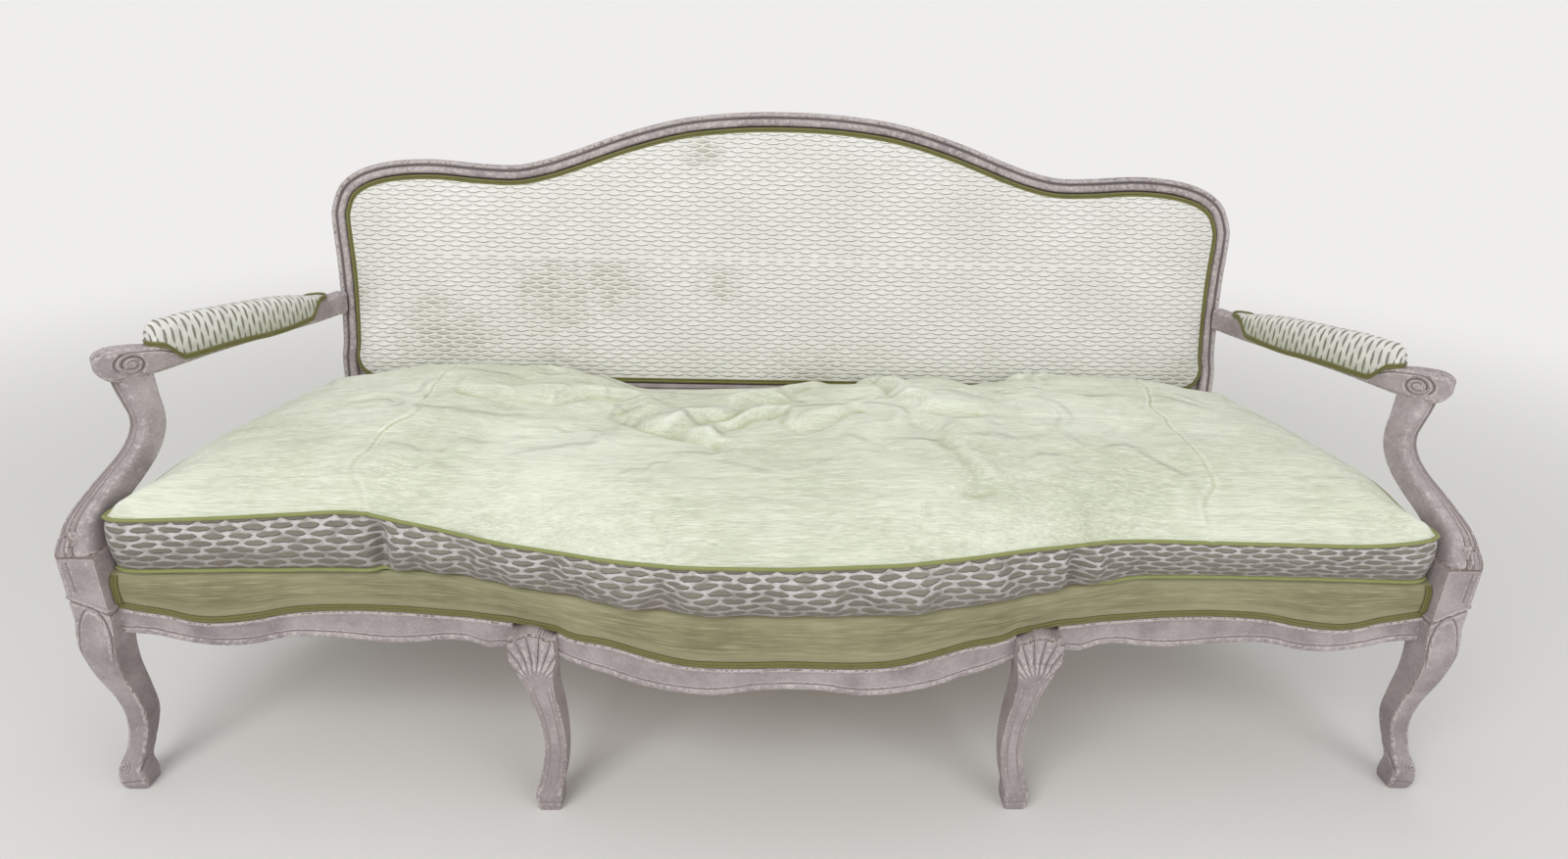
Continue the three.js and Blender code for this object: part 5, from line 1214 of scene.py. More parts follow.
@dataclass
class SeatFrame:
    """Rails and legs under the seat."""

    finishes: Finishes
    rail_thickness: float = 38
    side_thickness: float = 30
    setback: float = 9
    knee_proud: float = 26
    middle_depth: float = 70
    rear_leg_size: float = 40
    rear_leg_sweep: float = 80
    rear_leg_top: float = 250

    CORNER_LEG = (
        (0, -0.02, -0.46, 0.32, 0.34), (0.025, 0, -0.48, 0.365, 0.385), (0.062, 0, -0.5, 0.375, 0.395),
        (0.123, 0.02, -0.46, 0.33, 0.365), (0.2, -0.12, -0.25, 0.28, 0.33), (0.338, -0.21, 0.02, 0.29, 0.365),
        (0.477, -0.17, -0.02, 0.3, 0.385), (0.63, -0.04, -0.15, 0.385, 0.43), (0.77, 0.02, -0.17, 0.47, 0.48),
        (0.83, 0.02, -0.06, 0.52, 0.52), (0.92, 0, 0, 0.5, 0.5),
    )
    MIDDLE_LEG = (
        (0, -0.13, -0.43, 0.25, 0.257), (0.025, -0.13, -0.44, 0.27, 0.28),
        (0.062, -0.13, -0.445, 0.285, 0.285),
        (0.108, -0.147, -0.443, 0.28, 0.286), (0.197, -0.25, -0.33, 0.265, 0.257),
        (0.32, -0.309, -0.214, 0.243, 0.257), (0.477, -0.265, -0.186, 0.25, 0.286),
        (0.66, -0.118, -0.229, 0.31, 0.29), (0.77, -0.044, -0.23, 0.4, 0.34), (0.815, 0, 0, 0.5, 0.5),
    )
    REAR_LEG = (
        (0, 0.45, 0.45), (0.04, 0.45, 0.45), (0.15, 0.39, 0.41), (0.35, 0.38, 0.4), (0.6, 0.44, 0.44),
        (0.85, 0.5, 0.5), (1, 0.5, 0.5),
    )

    def section(self, thickness: float, low: Array, top: Array) -> tuple[Array, Array]:
        """Moulded section of a rail.

        Args:
            thickness: the rail's thickness.
            low: height of its lower edge at each station.
            top: height of its moulding's top at each station.

        Returns:
            Inset of each point, and height of each point at each station.
        """
        rows = (
            (self.setback, 2, 0), (self.setback, 1, 0), (2.2, 1, 0), (0.8, 1, -0.7), (0, 1, -2.4),
            (0.5, 1, -4.6),
            (1.8, 1, -7.2), (2.5, 1, -10), (2.7, 0.5, 0), (2.5, 0, 15), (1.4, 0, 12.4), (2.3, 0, 11.2),
            (0.7, 0, 9.6), (-0.3, 0, 7), (-0.2, 0, 3.6), (1.2, 0, 1.1), (3.8, 0, 0), (thickness, 0, 0),
            (thickness, 2, 0),
        )
        heights = []
        for _, share, up in rows:
            level = D.rail_top * np.ones_like(low) if share == 2 else low + (top - low) * share
            heights.append(level + up)
        return np.array([row[0] for row in rows]), np.stack(heights, 1)

    def front_rail(self, word: str, start: float, end: float) -> Piece:
        """A length of the front rail between two places in x."""
        x = np.linspace(start, end, round(abs(end - start) / 6))
        inset, z = self.section(self.rail_thickness, D.scallop(x), D.ledge(x))
        y = D.front(x)[:, None] + inset
        rings = np.stack([np.broadcast_to(x[:, None], y.shape), y, z], -1)
        return lofted(f"front_rail_moulding_{word}", f"front_rail_{word}", rings, self.finishes.paint)

    def side_rail(self, hand: Hand) -> Piece:
        """A bowed side rail from the corner block to the back post."""
        t = np.linspace(0.05, 0.985, 60)
        flat = np.ones_like(t)
        inset, z = self.section(self.side_thickness, SIDE_SCALLOP * flat, SIDE_LEDGE_Z * flat)
        plan = np.stack([D.side(t, value) for value in inset], 1)
        rings = joined([plan, z[..., None]], -1)
        return lofted("side_rail_moulding", "side_rail", rings, self.finishes.paint, hand)

    def leg_rings(self, rows: Rows, levels: Array, middle: tuple[float, float], block: tuple[float, float],
                  counts: Sequence[int]) -> Array:
        """Level rings of a cabriole leg.

        Args:
            rows: share of the rail's height, shifts and half sizes as shares of the block.
            levels: heights of the rings.
            middle: x and y of the block's middle.
            block: the block's width and depth.
            counts: spaces along the ring's four sides.

        Returns:
            Rings by points by 3.
        """
        rings = []
        for z, (out, back, wide, deep) in zip(levels, through(rows, levels / D.rail_top)):
            corner = min(1.2 + 4.5 * (1 - smooth(z, 20, 260)), 0.45 * wide * block[0])
            plan = rounded(wide * block[0], deep * block[1], corner, counts)
            plan = plan + [middle[0] + out * block[0], middle[1] + back * block[1]]
            rings.append(joined([plan, np.full((len(plan), 1), z)], 1))
        return np.array(rings)

    def corner_leg(self, hand: Hand) -> Piece:
        """A corner front leg with its block, ring moulding, knee panel and scrolled toe."""
        levels = joined([np.linspace(0, 299, 150), np.linspace(301, D.block_top, 56)])
        rings = self.leg_rings(
            self.CORNER_LEG, levels, (D.corner_x, 0), (D.block, D.block), (30, 26, 10, 26),
        )
        out = outward(rings)
        face = rings[..., [0, 2]]
        flank = rings[..., 1:]
        front = np.clip(-out[..., 1], 0, 1) ** 2
        sides = np.clip(np.abs(out[..., 0]), 0, 1) ** 2
        lift = np.zeros(rings.shape[:2])
        slope = 325 + 0.51 * (np.clip(rings[..., 0], D.corner_inner, D.corner_x + 26) - D.corner_x)
        lift += 2.2 * np.exp(-(((rings[..., 2] - slope) / 3.2) ** 2))
        lift -= 1.6 * np.exp(-(((rings[..., 2] - slope + 7) / 2.6) ** 2))
        arch = ((face[..., 0] - D.corner_x - 1) / 21) ** 2 + ((face[..., 1] - 262) / 52) ** 2
        knee = smooth(1.12 - arch, 0, 0.24) * smooth(face[..., 1], 205, 262)
        lift += front * 2.4 * knee
        rim = np.exp(-(((arch - 1.12) / 0.16) ** 2)) * smooth(face[..., 1], 232, 270)
        lift -= front * 1.8 * rim
        lift += front * stroke(face, ((D.corner_x + 22, 392), (D.corner_x + 22, 344)), 2.6, 1.5)
        lift -= front * stroke(face, ((D.corner_x + 14, 392), (D.corner_x + 13, 346)), 2.2, 1.5)
        groove = ((-44, 34), (-36, 38), (-20, 48), (-8, 58), (2, 70))
        lift += sides * stroke(flank, groove, 2.4, -2.2)
        toe = ((D.corner_x - 20, 19), (D.corner_x, 17), (D.corner_x + 14, 15))
        lift += front * stroke(face, toe, 2.2, -1.8)
        lift += front * self.scroll(face, (D.corner_x + 9, 42), 8)
        rings = rings + out * lift[..., None]
        skin = Skin()
        skin.loft(rings * [hand.value, 1, 1])
        rosette(skin, hand)
        piece = skin.piece(f"corner_leg_carved_{hand.word}", [self.finishes.paint], CARVED)
        return hand_over(piece, [f"front_leg_{hand.word}"])

    @staticmethod
    def scroll(at: Array, centre: tuple[float, float], size: float) -> Array:
        """Height of a small carved scroll in a plane."""
        turn = np.linspace(0, 1.6 * TAU, 40)
        radius = size * (1 - 0.82 * turn / turn[-1])
        path = np.stack([
            centre[0] + radius * np.cos(turn + 2.2), centre[1] + radius * np.sin(turn + 2.2),
        ], -1)
        return stroke(at, path, size * 0.17, size * 0.17)

    def middle_leg(self, hand: Hand) -> Piece:
        """A middle front leg with a fluted fan on its knee."""
        block = (D.middle_block, self.middle_depth)
        y = float(D.front(D.middle_x)) - self.knee_proud + self.middle_depth / 2
        levels = joined([np.linspace(0, 230, 96), np.linspace(231.5, 265, 24), np.linspace(266.5, 325, 40)])
        rings = self.leg_rings(self.MIDDLE_LEG, levels, (D.middle_x, y), block, (52, 22, 10, 22))
        # Above the ledge the knee is cut back to the face that carries the border cloth
        ledge = D.ledge(np.array([D.middle_x]))[0] + 5 * np.cos((rings[..., 0] - D.middle_x) / 34 * math.pi)
        cut = D.front(rings[..., 0]) + self.setback
        above = rings[..., 2] > ledge
        rings[..., 1] = np.where(above, np.maximum(rings[..., 1], cut), rings[..., 1])
        out = outward(rings)
        front = np.clip(-out[..., 1], 0, 1) ** 2 * ~above
        face = rings[..., [0, 2]]
        root = np.array([D.middle_x - 3, 226.0])
        spread = np.arctan2(face[..., 0] - root[0], face[..., 1] - root[1])
        reach = np.linalg.norm(face - root, axis=-1)
        flutes = np.abs(np.cos(spread / math.radians(13) * math.pi / 2 * 2)) - 0.6
        lift = front * 3.4 * flutes * smooth(reach, 16, 46) * smooth(1.15 - np.abs(spread), 0, 0.25)
        middle = through(self.MIDDLE_LEG, levels / D.rail_top)[:, 0] * block[0] + D.middle_x
        off = rings[..., 0] - middle[:, None]
        half = through(self.MIDDLE_LEG, levels / D.rail_top)[:, 2] * block[0]
        low = 1 - smooth(rings[..., 2], 205, 240)
        ridge = np.exp(-(((np.abs(off) - half[:, None] * 0.62) / 2.2) ** 2))
        lift += front * low * smooth(rings[..., 2], 30, 60) * 1.5 * ridge
        groove = ((y - 50, 14), (y - 42, 18), (y - 30, 26), (y - 18, 38))
        sides = np.clip(np.abs(out[..., 0]), 0, 1) ** 2
        lift += sides * stroke(rings[..., 1:], groove, 2.2, -1.8)
        lift += front * stroke(face, ((D.middle_x - 30, 18), (D.middle_x + 14, 18)), 2, -1.6)
        rings = rings + out * lift[..., None]
        return lofted("middle_leg_fan", "mid_front_leg", rings, self.finishes.paint, hand, CARVED)

    def rear_leg(self, hand: Hand) -> Piece:
        """A middle rear leg, swept back."""
        top = self.rear_leg_top - D.gap
        y = D.seat_depth + D.rear_board / 2
        rings = []
        for share in np.linspace(0, 1, 50):
            wide, deep = through(self.REAR_LEG, share)
            plan = rounded(wide * self.rear_leg_size, deep * self.rear_leg_size * 0.75, 3, (8, 8, 8, 8))
            plan = plan + [D.middle_x, y + self.rear_leg_sweep * (1 - share) ** 2]
            rings.append(joined([plan, np.full((len(plan), 1), share * top)], 1))
        return lofted("rear_leg_swept", "mid_rear_leg", np.array(rings), self.finishes.paint, hand, CARVED)

    def build(self) -> None:
        """Builds the rails and legs, and dresses the hidden joinery."""
        inner = D.middle_x - D.middle_block / 2 - D.gap
        outer = D.middle_x + D.middle_block / 2 + D.gap
        self.front_rail("centre", -inner, inner)
        for hand in Hand:
            self.front_rail(hand.word, hand.value * outer, hand.value * (D.corner_inner - D.gap))
            self.side_rail(hand)
            self.corner_leg(hand)
            self.middle_leg(hand)
            self.rear_leg(hand)
        dress(["rear_rail"], self.finishes.paint)
        inside = [
            f"{name}_{hand.word}" for hand in Hand for name in (
                "seat_cross_bar", "front_corner_block", "rear_corner_block", "crest_peg", "lower_rail_peg",
                "inner_leg_peg", "outer_leg_peg",
            )
        ]
        dress(inside, self.finishes.bare)


def rosette(skin: Skin, hand: Hand) -> None:
    """Adds the turned button on the corner where the arm support meets its block.

    Args:
        skin: the leg's skin.
        hand: side of the sofa.
    """
    centre = np.array([D.corner_x + 10, -12, 423.0])
    # Radius and height of the button's rings, from its wall to its dished middle
    rows = (
        (11, -6), (11.2, 2), (10.4, 4.2), (8.8, 4.8), (7.4, 3.9), (6.6, 2.6), (4.5, 2.4), (2.4, 3),
        (0.6, 3.3),
    )
    out = np.array([0.42, -0.88, 0.2])
    out /= np.linalg.norm(out)
    side = np.cross([0, 0, 1], out)
    side /= np.linalg.norm(side)
    up = np.cross(out, side)
    turn = np.linspace(0, TAU, 25)[:-1]
    rings = np.array([
        centre + out * high + radius * (np.cos(turn)[:, None] * side + np.sin(turn)[:, None] * up)
        for radius, high in rows
    ])
    skin.loft(rings * [hand.value, 1, 1])


@dataclass
class OpenArm:
    """An arm with a scrolled end, its support, its pad and the pad's braid."""

    finishes: Finishes
    hand: Hand
    length: float = 419
    splay: float = 175
    inset: float = 9
    thickness: float = 38
    width: float = 39
    swell: float = 11
    pad_start: float = 0.09
    pad_end: float = 0.86
    pad_round: float = 20
    support_width: float = 30
    support_depth: float = 38
    support_turn: float = math.radians(30)
    lean: float = 45
    sweep: float = 122

    ARM = (
        (0, 0, 0, 1, 0.33), (0.102, 0.092, 0, 1, 0.385), (0.193, 0.166, 0.09, 1, 0.436),
        (0.372, 0.292, 0.55, 0.895, 0.487), (0.539, 0.417, 0.91, 0.8, 0.5), (0.683, 0.543, 1, 0.78, 0.5),
        (0.8, 0.662, 0.8, 0.85, 0.49), (0.86, 0.74, 0.62, 1.04, 0.49), (0.915, 0.83, 0.5, 1.19, 0.5),
        (0.955, 0.905, 0.55, 1.21, 0.48), (0.98, 0.957, 0.95, 1.03, 0.4), (0.994, 0.988, 1.8, 0.68, 0.28),
        (1, 1, 2.7, 0.3, 0.14),
    )
    SUPPORT = (
        (0, 0, 0, 1.6, 1.36), (0.05, 0.03, 0.03, 1.42, 1.3), (0.15, 0.11, 0.12, 1.14, 1.2),
        (0.25, 0.28, 0.33, 1.03, 1.1), (0.325, 0.444, 0.49, 1, 1.02), (0.42, 0.65, 0.75, 0.95, 0.97),
        (0.515, 0.82, 0.93, 0.93, 0.96), (0.64, 0.98, 1.04, 0.92, 0.97), (0.76, 1.04, 1.06, 0.92, 1),
        (0.88, 0.96, 1.06, 0.92, 1.1), (1, 0.84, 1.08, 0.92, 1.25), (1.18, 0.78, 1.06, 0.92, 1.25),
    )
    # Section of the right support in shares of its half width and half depth: a moulded band on the
    # outer part of its front, rolling round into the broad inner face
    SECTION = (
        (-1, 0.1), (-0.99, -0.28), (-0.93, -0.52), (-0.78, -0.72), (-0.5, -0.85), (-0.2, -0.89),
        (-0.04, -0.87), (0.04, -0.8), (0.12, -0.88), (0.24, -0.99), (0.36, -1), (0.46, -0.93), (0.62, -0.93),
        (0.74, -0.95), (0.84, -1.02), (0.95, -0.99), (1.01, -0.88), (0.98, -0.74), (0.92, -0.66),
        (0.97, -0.56), (1, -0.4), (1, 0.1), (1, 0.6), (0.98, 0.88), (0.86, 0.99), (0.5, 1), (0, 1), (-0.5, 1),
        (-0.86, 0.99), (-0.98, 0.88), (-1, 0.6),
    )
    # Share of the pad's length from the back, height of the gimp's line, and the pad's rise over the arm
    PAD = (
        (0, 623, 6), (0.08, 622, 8), (0.16, 621, 15), (0.3, 619.5, 24), (0.44, 621, 30), (0.56, 625, 34),
        (0.7, 628, 38), (0.82, 628.5, 41), (0.92, 630, 40), (0.97, 633, 37), (1, 636, 32),
    )

    @property
    def start_y(self) -> float:
        """y of the arm's back end, on the post's front face."""
        up = (D.arm_underside + self.thickness / 2 - D.rail_top) / math.cos(D.rake)
        return D.seat_depth + up * math.sin(D.rake) - D.gap

    def course(self, share: Array) -> tuple[Array, Array, Array, Array, Array]:
        """Centre line and sizes of the right arm.

        Args:
            share: places along the arm.

        Returns:
            Plan places, undersides, tops, half widths and sideways directions.
        """
        rows = through(self.ARM, share)
        low = D.arm_underside + rows[:, 1] * self.swell
        top = low + rows[:, 2] * self.thickness
        ahead = np.minimum(share + 0.01, 1)
        behind = np.maximum(share - 0.01, 0)
        drift = (through(self.ARM, ahead)[:, 0] - through(self.ARM, behind)[:, 0]) * self.splay
        out = np.stack([(ahead - behind) * self.length, drift], -1)
        out /= np.linalg.norm(out, axis=1, keepdims=True)
        x = D.back_half - self.inset + rows[:, 0] * self.splay
        y = self.start_y - share * self.length
        return np.stack([x, y], -1), low, top, rows[:, 3] * self.width, out

    def arm(self) -> Piece:
        """The arm with its rim, its scrolls and its ridged knuckle."""
        share = joined([np.linspace(0, 0.7, 60), np.linspace(0.703, 0.995, 110)])
        plan, low, top, half, out = self.course(share)
        counts = (12, 24, 12, 24)
        rings = []
        ways = []
        for i in range(len(share)):
            tall = (top[i] - low[i]) / 2
            corner = min(6.0, half[i] * 0.7, tall * 0.7)
            ring = rounded(half[i], tall, corner, counts)
            lean = (1 - smooth(share[i], 0, 0.05)) * ring[:, 1] * math.tan(D.rake)
            side = out[i] * ring[:, :1]
            rings.append(joined([
                plan[i] + side + np.stack([0 * lean, lean], -1), (low[i] + tall + ring[:, 1])[:, None],
            ], 1))
            normal = outward(ring)
            ways.append(joined([out[i] * normal[:, :1], normal[:, 1:2]], 1))
        rings = np.array(rings)
        ways = np.array(ways)
        sides = 1 - np.clip(np.abs(ways[..., 2]), 0, 1) ** 2
        along = np.broadcast_to((share * self.length)[:, None], sides.shape)
        flat = np.stack([along, rings[..., 2]], -1)
        lift = sides * self.volute(flat)
        ridge = np.clip(ways[..., 2], 0, 1) ** 2 * smooth(share, 0.84, 0.9)[:, None]
        across = ((rings[..., :2] - plan[:, None]) * out[:, None]).sum(-1)
        lift += ridge * 1.3 * np.cos(across / 6.2 * math.pi)
        rings = rings + ways * lift[..., None]
        return lofted("arm_carved", "arm", rings, self.finishes.paint, self.hand, CARVED)

    def volute(self, flat: Array) -> Array:
        """Height of the carved scroll and the lower band on the arm's flanks.

        Args:
            flat: distance along the arm and height of each point.

        Returns:
            Height at each point.
        """
        centre = np.array([self.length - 33, D.arm_underside + 29])
        turn = np.linspace(0, 1.3 * TAU, 80)
        radius = 17.5 - 9 * turn / turn[-1]
        spiral = centre + np.stack([radius * np.sin(turn), radius * np.cos(turn)], -1)
        leaf = np.array([(338, 640), (350, 647), (366, 652), (378, 654)])
        lift = stroke(flat, joined([leaf, spiral]), 2.1, -2.6)
        rim = centre + (spiral[8:] - centre) * 0.78
        lift += stroke(flat, rim, 2.2, 1.8)
        band = ((self.length - 16, 618.5), (self.length - 50, 618), (self.length - 90, 620.5))
        lift += stroke(flat, band, 1.5, -1.4)
        disc = np.linalg.norm(flat - centre, axis=-1)
        return lift + 1.8 * (1 - smooth(disc, 2.5, 6.5))

    def support(self) -> Piece:
        """The swept support between the block and the arm, turning outwards as it rises."""
        share = np.linspace(0, 1.13, 90)
        rows = through(self.SUPPORT, share)
        x = D.corner_x + 2 * D.rail_edge - rows[:, 0] * self.lean
        y = D.rail_edge + rows[:, 1] * self.sweep
        z = D.block_top + D.gap + share * (D.arm_underside - D.block_top)
        centre = np.stack([x, y, z], -1)
        way = np.gradient(centre, axis=0)
        way[0] = [0, 0, 1]
        way /= np.linalg.norm(way, axis=1, keepdims=True)
        turn = (self.support_turn * smooth(share, 0, 0.85))[:, None]
        level = np.cross(way, [1.0, 0.0, 0.0])
        level /= np.linalg.norm(level, axis=1, keepdims=True)
        side = np.cross(level, way) * np.cos(turn) + level * np.sin(turn)
        back = np.cross(way, side)
        shape = np.array(self.SECTION)
        shape = joined([shape[-2:], shape, shape[:2]])
        shape = spline(shape, np.linspace(2, len(shape) - 2, 5 * len(self.SECTION), endpoint=False))
        half = rows[:, 2:] * [self.support_width / 2, self.support_depth / 2]
        across = shape[:, 0] * half[:, :1]
        deep = shape[:, 1] * half[:, 1:]
        rings = centre[:, None] + across[..., None] * side[:, None] + deep[..., None] * back[:, None]
        return lofted("arm_support_carved", "arm_support", rings, self.finishes.paint, self.hand, CARVED)

    def pad_course(self, count: int) -> tuple[Array, Array, Array, Array, Array, Array]:
        """Course of the pad, with its foot low on the arm's flanks and its ends on the arm's top.

        Args:
            count: how many places along the pad.

        Returns:
            Plan places, heights of the foot, heights of the arm's top, the pad's rises over it, half
            widths and sideways directions.
        """
        t = (1 - np.cos(np.linspace(0, math.pi, count))) / 2
        run = (self.pad_end - self.pad_start) * self.length
        plan, _, top, half, out = self.course(self.pad_start + t * run / self.length)
        foot, rise = through(self.PAD, t).T
        from_back, from_front = t * run, (1 - t) * run
        climb = np.maximum(1 - smooth(from_back, 20, 52), 1 - smooth(from_front, 10, 36))
        foot = foot * (1 - climb) + (top + 3.5) * climb
        near_end = np.clip(1 - np.minimum(from_back, from_front) / self.pad_round, 0, 1)
        taper = np.sqrt(np.maximum(1 - near_end**2, 0.0016))
        return plan, foot, top, rise * taper**0.6, (half + 1.2) * taper, out

    def pad(self) -> Piece:
        """The stuffed pad: a round-ended dome that hangs over the arm's upper edges."""
        plan, foot, top, rise, wide, out = self.pad_course(110)
        turn = np.linspace(0, math.pi, 34)
        bow = np.sign(np.cos(turn)) * np.abs(np.cos(turn)) ** 0.72
        dome = np.sin(turn) ** 0.82
        rings = []
        for i in range(len(plan)):
            belt = top[i] + 0.22 * rise[i]
            shape = np.stack([wide[i] * bow, belt + (top[i] + rise[i] - belt) * dome], -1)
            base = max(wide[i] - 5, 0.4 * wide[i])
            low = foot[i] - 3
            skirt = [[-base, low], [base, low], [wide[i], low + 0.5], [wide[i] + 0.3, (low + belt) / 2]]
            shape = joined([skirt, shape, [[-wide[i] - 0.3, (low + belt) / 2], [-wide[i], low + 0.5]]])
            rings.append(joined([plan[i] + out[i] * shape[:, :1], shape[:, 1:]], 1))
        rings = np.array(rings)
        around = joined([
            np.zeros((len(rings), 1)), np.cumsum(np.linalg.norm(np.diff(rings, axis=1), axis=-1), 1),
        ], 1)
        around = joined([around, around[:, -1:] + 2], 1) * MM
        along = np.broadcast_to((lengths(rings[:, 20]) * MM)[:, None], around.shape)
        skin = Skin()
        skin.loft(rings * [self.hand.value, 1, 1], np.stack([around, along], -1))
        piece = skin.piece(f"arm_pad_velvet_{self.hand.word}", [self.finishes.arm_velvet], 60)
        return hand_over(piece, [f"arm_pad_{self.hand.word}"])

    def braid(self, trims: "Trims") -> Piece:
        """The braid round the pad's foot."""
        plan, foot, _, _, wide, out = self.pad_course(90)
        edges = []
        for sign in (1, -1):
            edge = plan + sign * out * (wide + 1.0)[:, None]
            line = joined([edge, foot[:, None]], 1)
            edges.append(line if sign == 1 else line[::-1])
        path = joined(edges) * [self.hand.value, 1, 1]
        name = f"arm_gimp_cords_{self.hand.word}"
        size = TrimSize(2, 4.6, 3.2, 4.4, step=3)
        piece = trims.sweep(name, path, UP, size, self.finishes.gimp, closed=True)
        return hand_over(piece, [f"arm_gimp_{self.hand.word}"])

    def build(self, trims: "Trims") -> None:
        """Builds the arm, its support, its pad and the braid."""
        self.arm()
        self.support()
        self.pad()
        self.braid(trims)


# Trims that follow a path


@dataclass(frozen=True)
class TrimSize:
    """Sizes of a trim in millimetres."""

    strands: int
    width: float
    height: float
    spread: float
    step: float = 4
    sides: int = 10


class Trims:
    """Node tree that sweeps round strands along a path, used for braids and piping."""

    def __init__(self) -> None:
        """Builds the tree."""
        tree = bpy.data.node_groups.new("strands_on_a_path", "GeometryNodeTree")
        self.tree = tree
        self.inputs: dict[str, str] = {}
        for name, kind in (
            ("Path", "Geometry"), ("Strands", "Int"), ("Strand width", "Float"), ("Strand height", "Float"),
            ("Spread", "Float"), ("Step", "Float"), ("Sides", "Int"), ("Finish", "Material"),
        ):
            made = tree.interface.new_socket(name=name, in_out="INPUT", socket_type=f"NodeSocket{kind}")
            self.inputs[name] = made.identifier
        tree.interface.new_socket(name="Trim", in_out="OUTPUT", socket_type="NodeSocketGeometry")
        given = tree.nodes.new("NodeGroupInput").outputs
        path = self.add("MeshToCurve", {"Mesh": given["Path"]})
        path = self.add("ResampleCurve", {"Curve": path[0], "Length": given["Step"]}, mode="LENGTH")
        across = self.add("InputNamedAttribute", {"Name": "across"}, data_type="FLOAT_VECTOR")
        path = self.add("SetCurveNormal", {"Curve": path[0], "Normal": across[0]}, mode="FREE")
        far = self.add("SplineParameter", {})
        held = self.capture(path[0], far["Length"])
        half = self.add("Math", (given["Strands"], 1.0), "ShaderNode", operation="SUBTRACT")
        start = self.add("Math", (half[0], -0.5), "ShaderNode", operation="MULTIPLY")
        start = self.add("Math", (start[0], given["Spread"]), "ShaderNode", operation="MULTIPLY")
        first = self.add("CombineXYZ", {"X": start[0]}, "ShaderNode")
        offset = self.add("CombineXYZ", {"X": given["Spread"]}, "ShaderNode")
        spots = self.add("MeshLine", {
            "Count": given["Strands"], "Start Location": first[0], "Offset": offset[0],
        })
        circle = self.add("CurvePrimitiveCircle", {"Resolution": given["Sides"], "Radius": 0.5})
        size = self.add("CombineXYZ", {
            "X": given["Strand width"], "Y": given["Strand height"], "Z": 1.0,
        }, "ShaderNode")
        circle = self.add("Transform", {"Geometry": circle[0], "Scale": size[0]})
        circles = self.add("InstanceOnPoints", {"Points": spots[0], "Instance": circle[0]})
        circles = self.add("RealizeInstances", {"Geometry": circles[0]})
        around = self.add("SplineParameter", {})
        ring = self.capture(circles[0], around["Factor"])
        trim = self.add("CurveToMesh", {"Curve": held[0], "Profile Curve": ring[0], "Fill Caps": True})
        place = self.add("CombineXYZ", {"X": held[1], "Y": ring[1]}, "ShaderNode")
        trim = self.add("StoreNamedAttribute", {
            "Geometry": trim[0], "Name": "UVMap", "Value": place[0],
        }, data_type="FLOAT2", domain="CORNER")
        trim = self.add("SetShadeSmooth", {"Geometry": trim[0]})
        trim = self.add("RealizeInstances", {"Geometry": trim[0]})
        trim = self.add("SetMaterial", {"Geometry": trim[0], "Material": given["Finish"]})
        tree.links.new(trim[0], tree.nodes.new("NodeGroupOutput").inputs[0])

    def add(self, kind: str, inputs: dict, family: str = "GeometryNode", **settings) -> Sockets:
        """Adds one node and returns its outputs."""
        return add_node(self.tree, f"{family}{kind}", inputs, **settings).outputs

    def capture(self, curve: Socket, value: Socket) -> Sockets:
        """Keeps a number on a curve's points through the sweep."""
        made = self.tree.nodes.new("GeometryNodeCaptureAttribute")
        made.capture_items.new("FLOAT", "Value")
        self.tree.links.new(curve, made.inputs[0])
        self.tree.links.new(value, made.inputs[1])
        return made.outputs

    def sweep(
        self, name: str, path: Array, across: Array | Sequence[float], size: TrimSize, material: Material,
        closed: bool = False, parts: int = 1,
    ) -> Piece:
        """Sweeps a trim along a path.

        Args:
            name: name of the piece.
            path: points in the drawing.
            across: direction across the trim, at each point or one for all.
            size: the trim's sizes.
            material: its finish.
            closed: whether the path joins its end to its start.
            parts: how many equal lengths of points the path is cut into.

        Returns:
            The piece, a plain mesh.
        """
        count = len(path)
        each = count // parts
        edges = [(i, i + 1) for i in range(count - 1) if (i + 1) % each]
        if closed:
            edges.append((count - 1, 0))
        line = bpy.data.meshes.new(f"{name}_path")
        line.from_pydata(in_frame(path).tolist(), edges, [])
        mark = line.attributes.new("across", "FLOAT_VECTOR", "POINT")
        across = np.broadcast_to(np.asarray(across, np.float32), path.shape)
        mark.data.foreach_set("vector", np.ascontiguousarray(across).ravel())
        holder = bpy.data.objects.new(f"{name}_path", line)
        show(holder)
        modifier = holder.modifiers.new("trim", "NODES")
        modifier.node_group = self.tree
        values = {
            "Strands": size.strands, "Strand width": size.width * MM, "Strand height": size.height * MM,
            "Spread": size.spread * MM, "Step": size.step * MM, "Sides": size.sides, "Finish": material,
        }
        for key, value in values.items():
            modifier[self.inputs[key]] = value
        scene = bpy.context.evaluated_depsgraph_get()
        mesh = bpy.data.meshes.new_from_object(holder.evaluated_get(scene))
        holder.modifiers.remove(modifier)
        bpy.data.objects.remove(holder)
        mesh.name = name
        if mesh.uv_layers:
            mesh.uv_layers[0].active_render = True
        mark_relief(mesh)
        made = bpy.data.objects.new(name, mesh)
        show(made)
        return made


# Upholstery


def domed(loop: Array, middle: float, half: float, shares: Array) -> tuple[Array, Array]:
    """Loops that close in from an edge to a line along the middle.

    Args:
        loop: the outer loop in a plane.
        middle: second coordinate of the line.
        half: half of the loop's width.
        shares: share of the way for each loop.

    Returns:
        Loops by points by 2, and how far each point of the loop goes for a share of 1.
    """
    x = np.clip(loop[:, 0], -0.8 * half, 0.8 * half)
    goal = np.stack([x, np.full(len(loop), middle)], -1)
    return loop + (goal - loop) * shares[:, None, None], np.linalg.norm(goal - loop, axis=1)


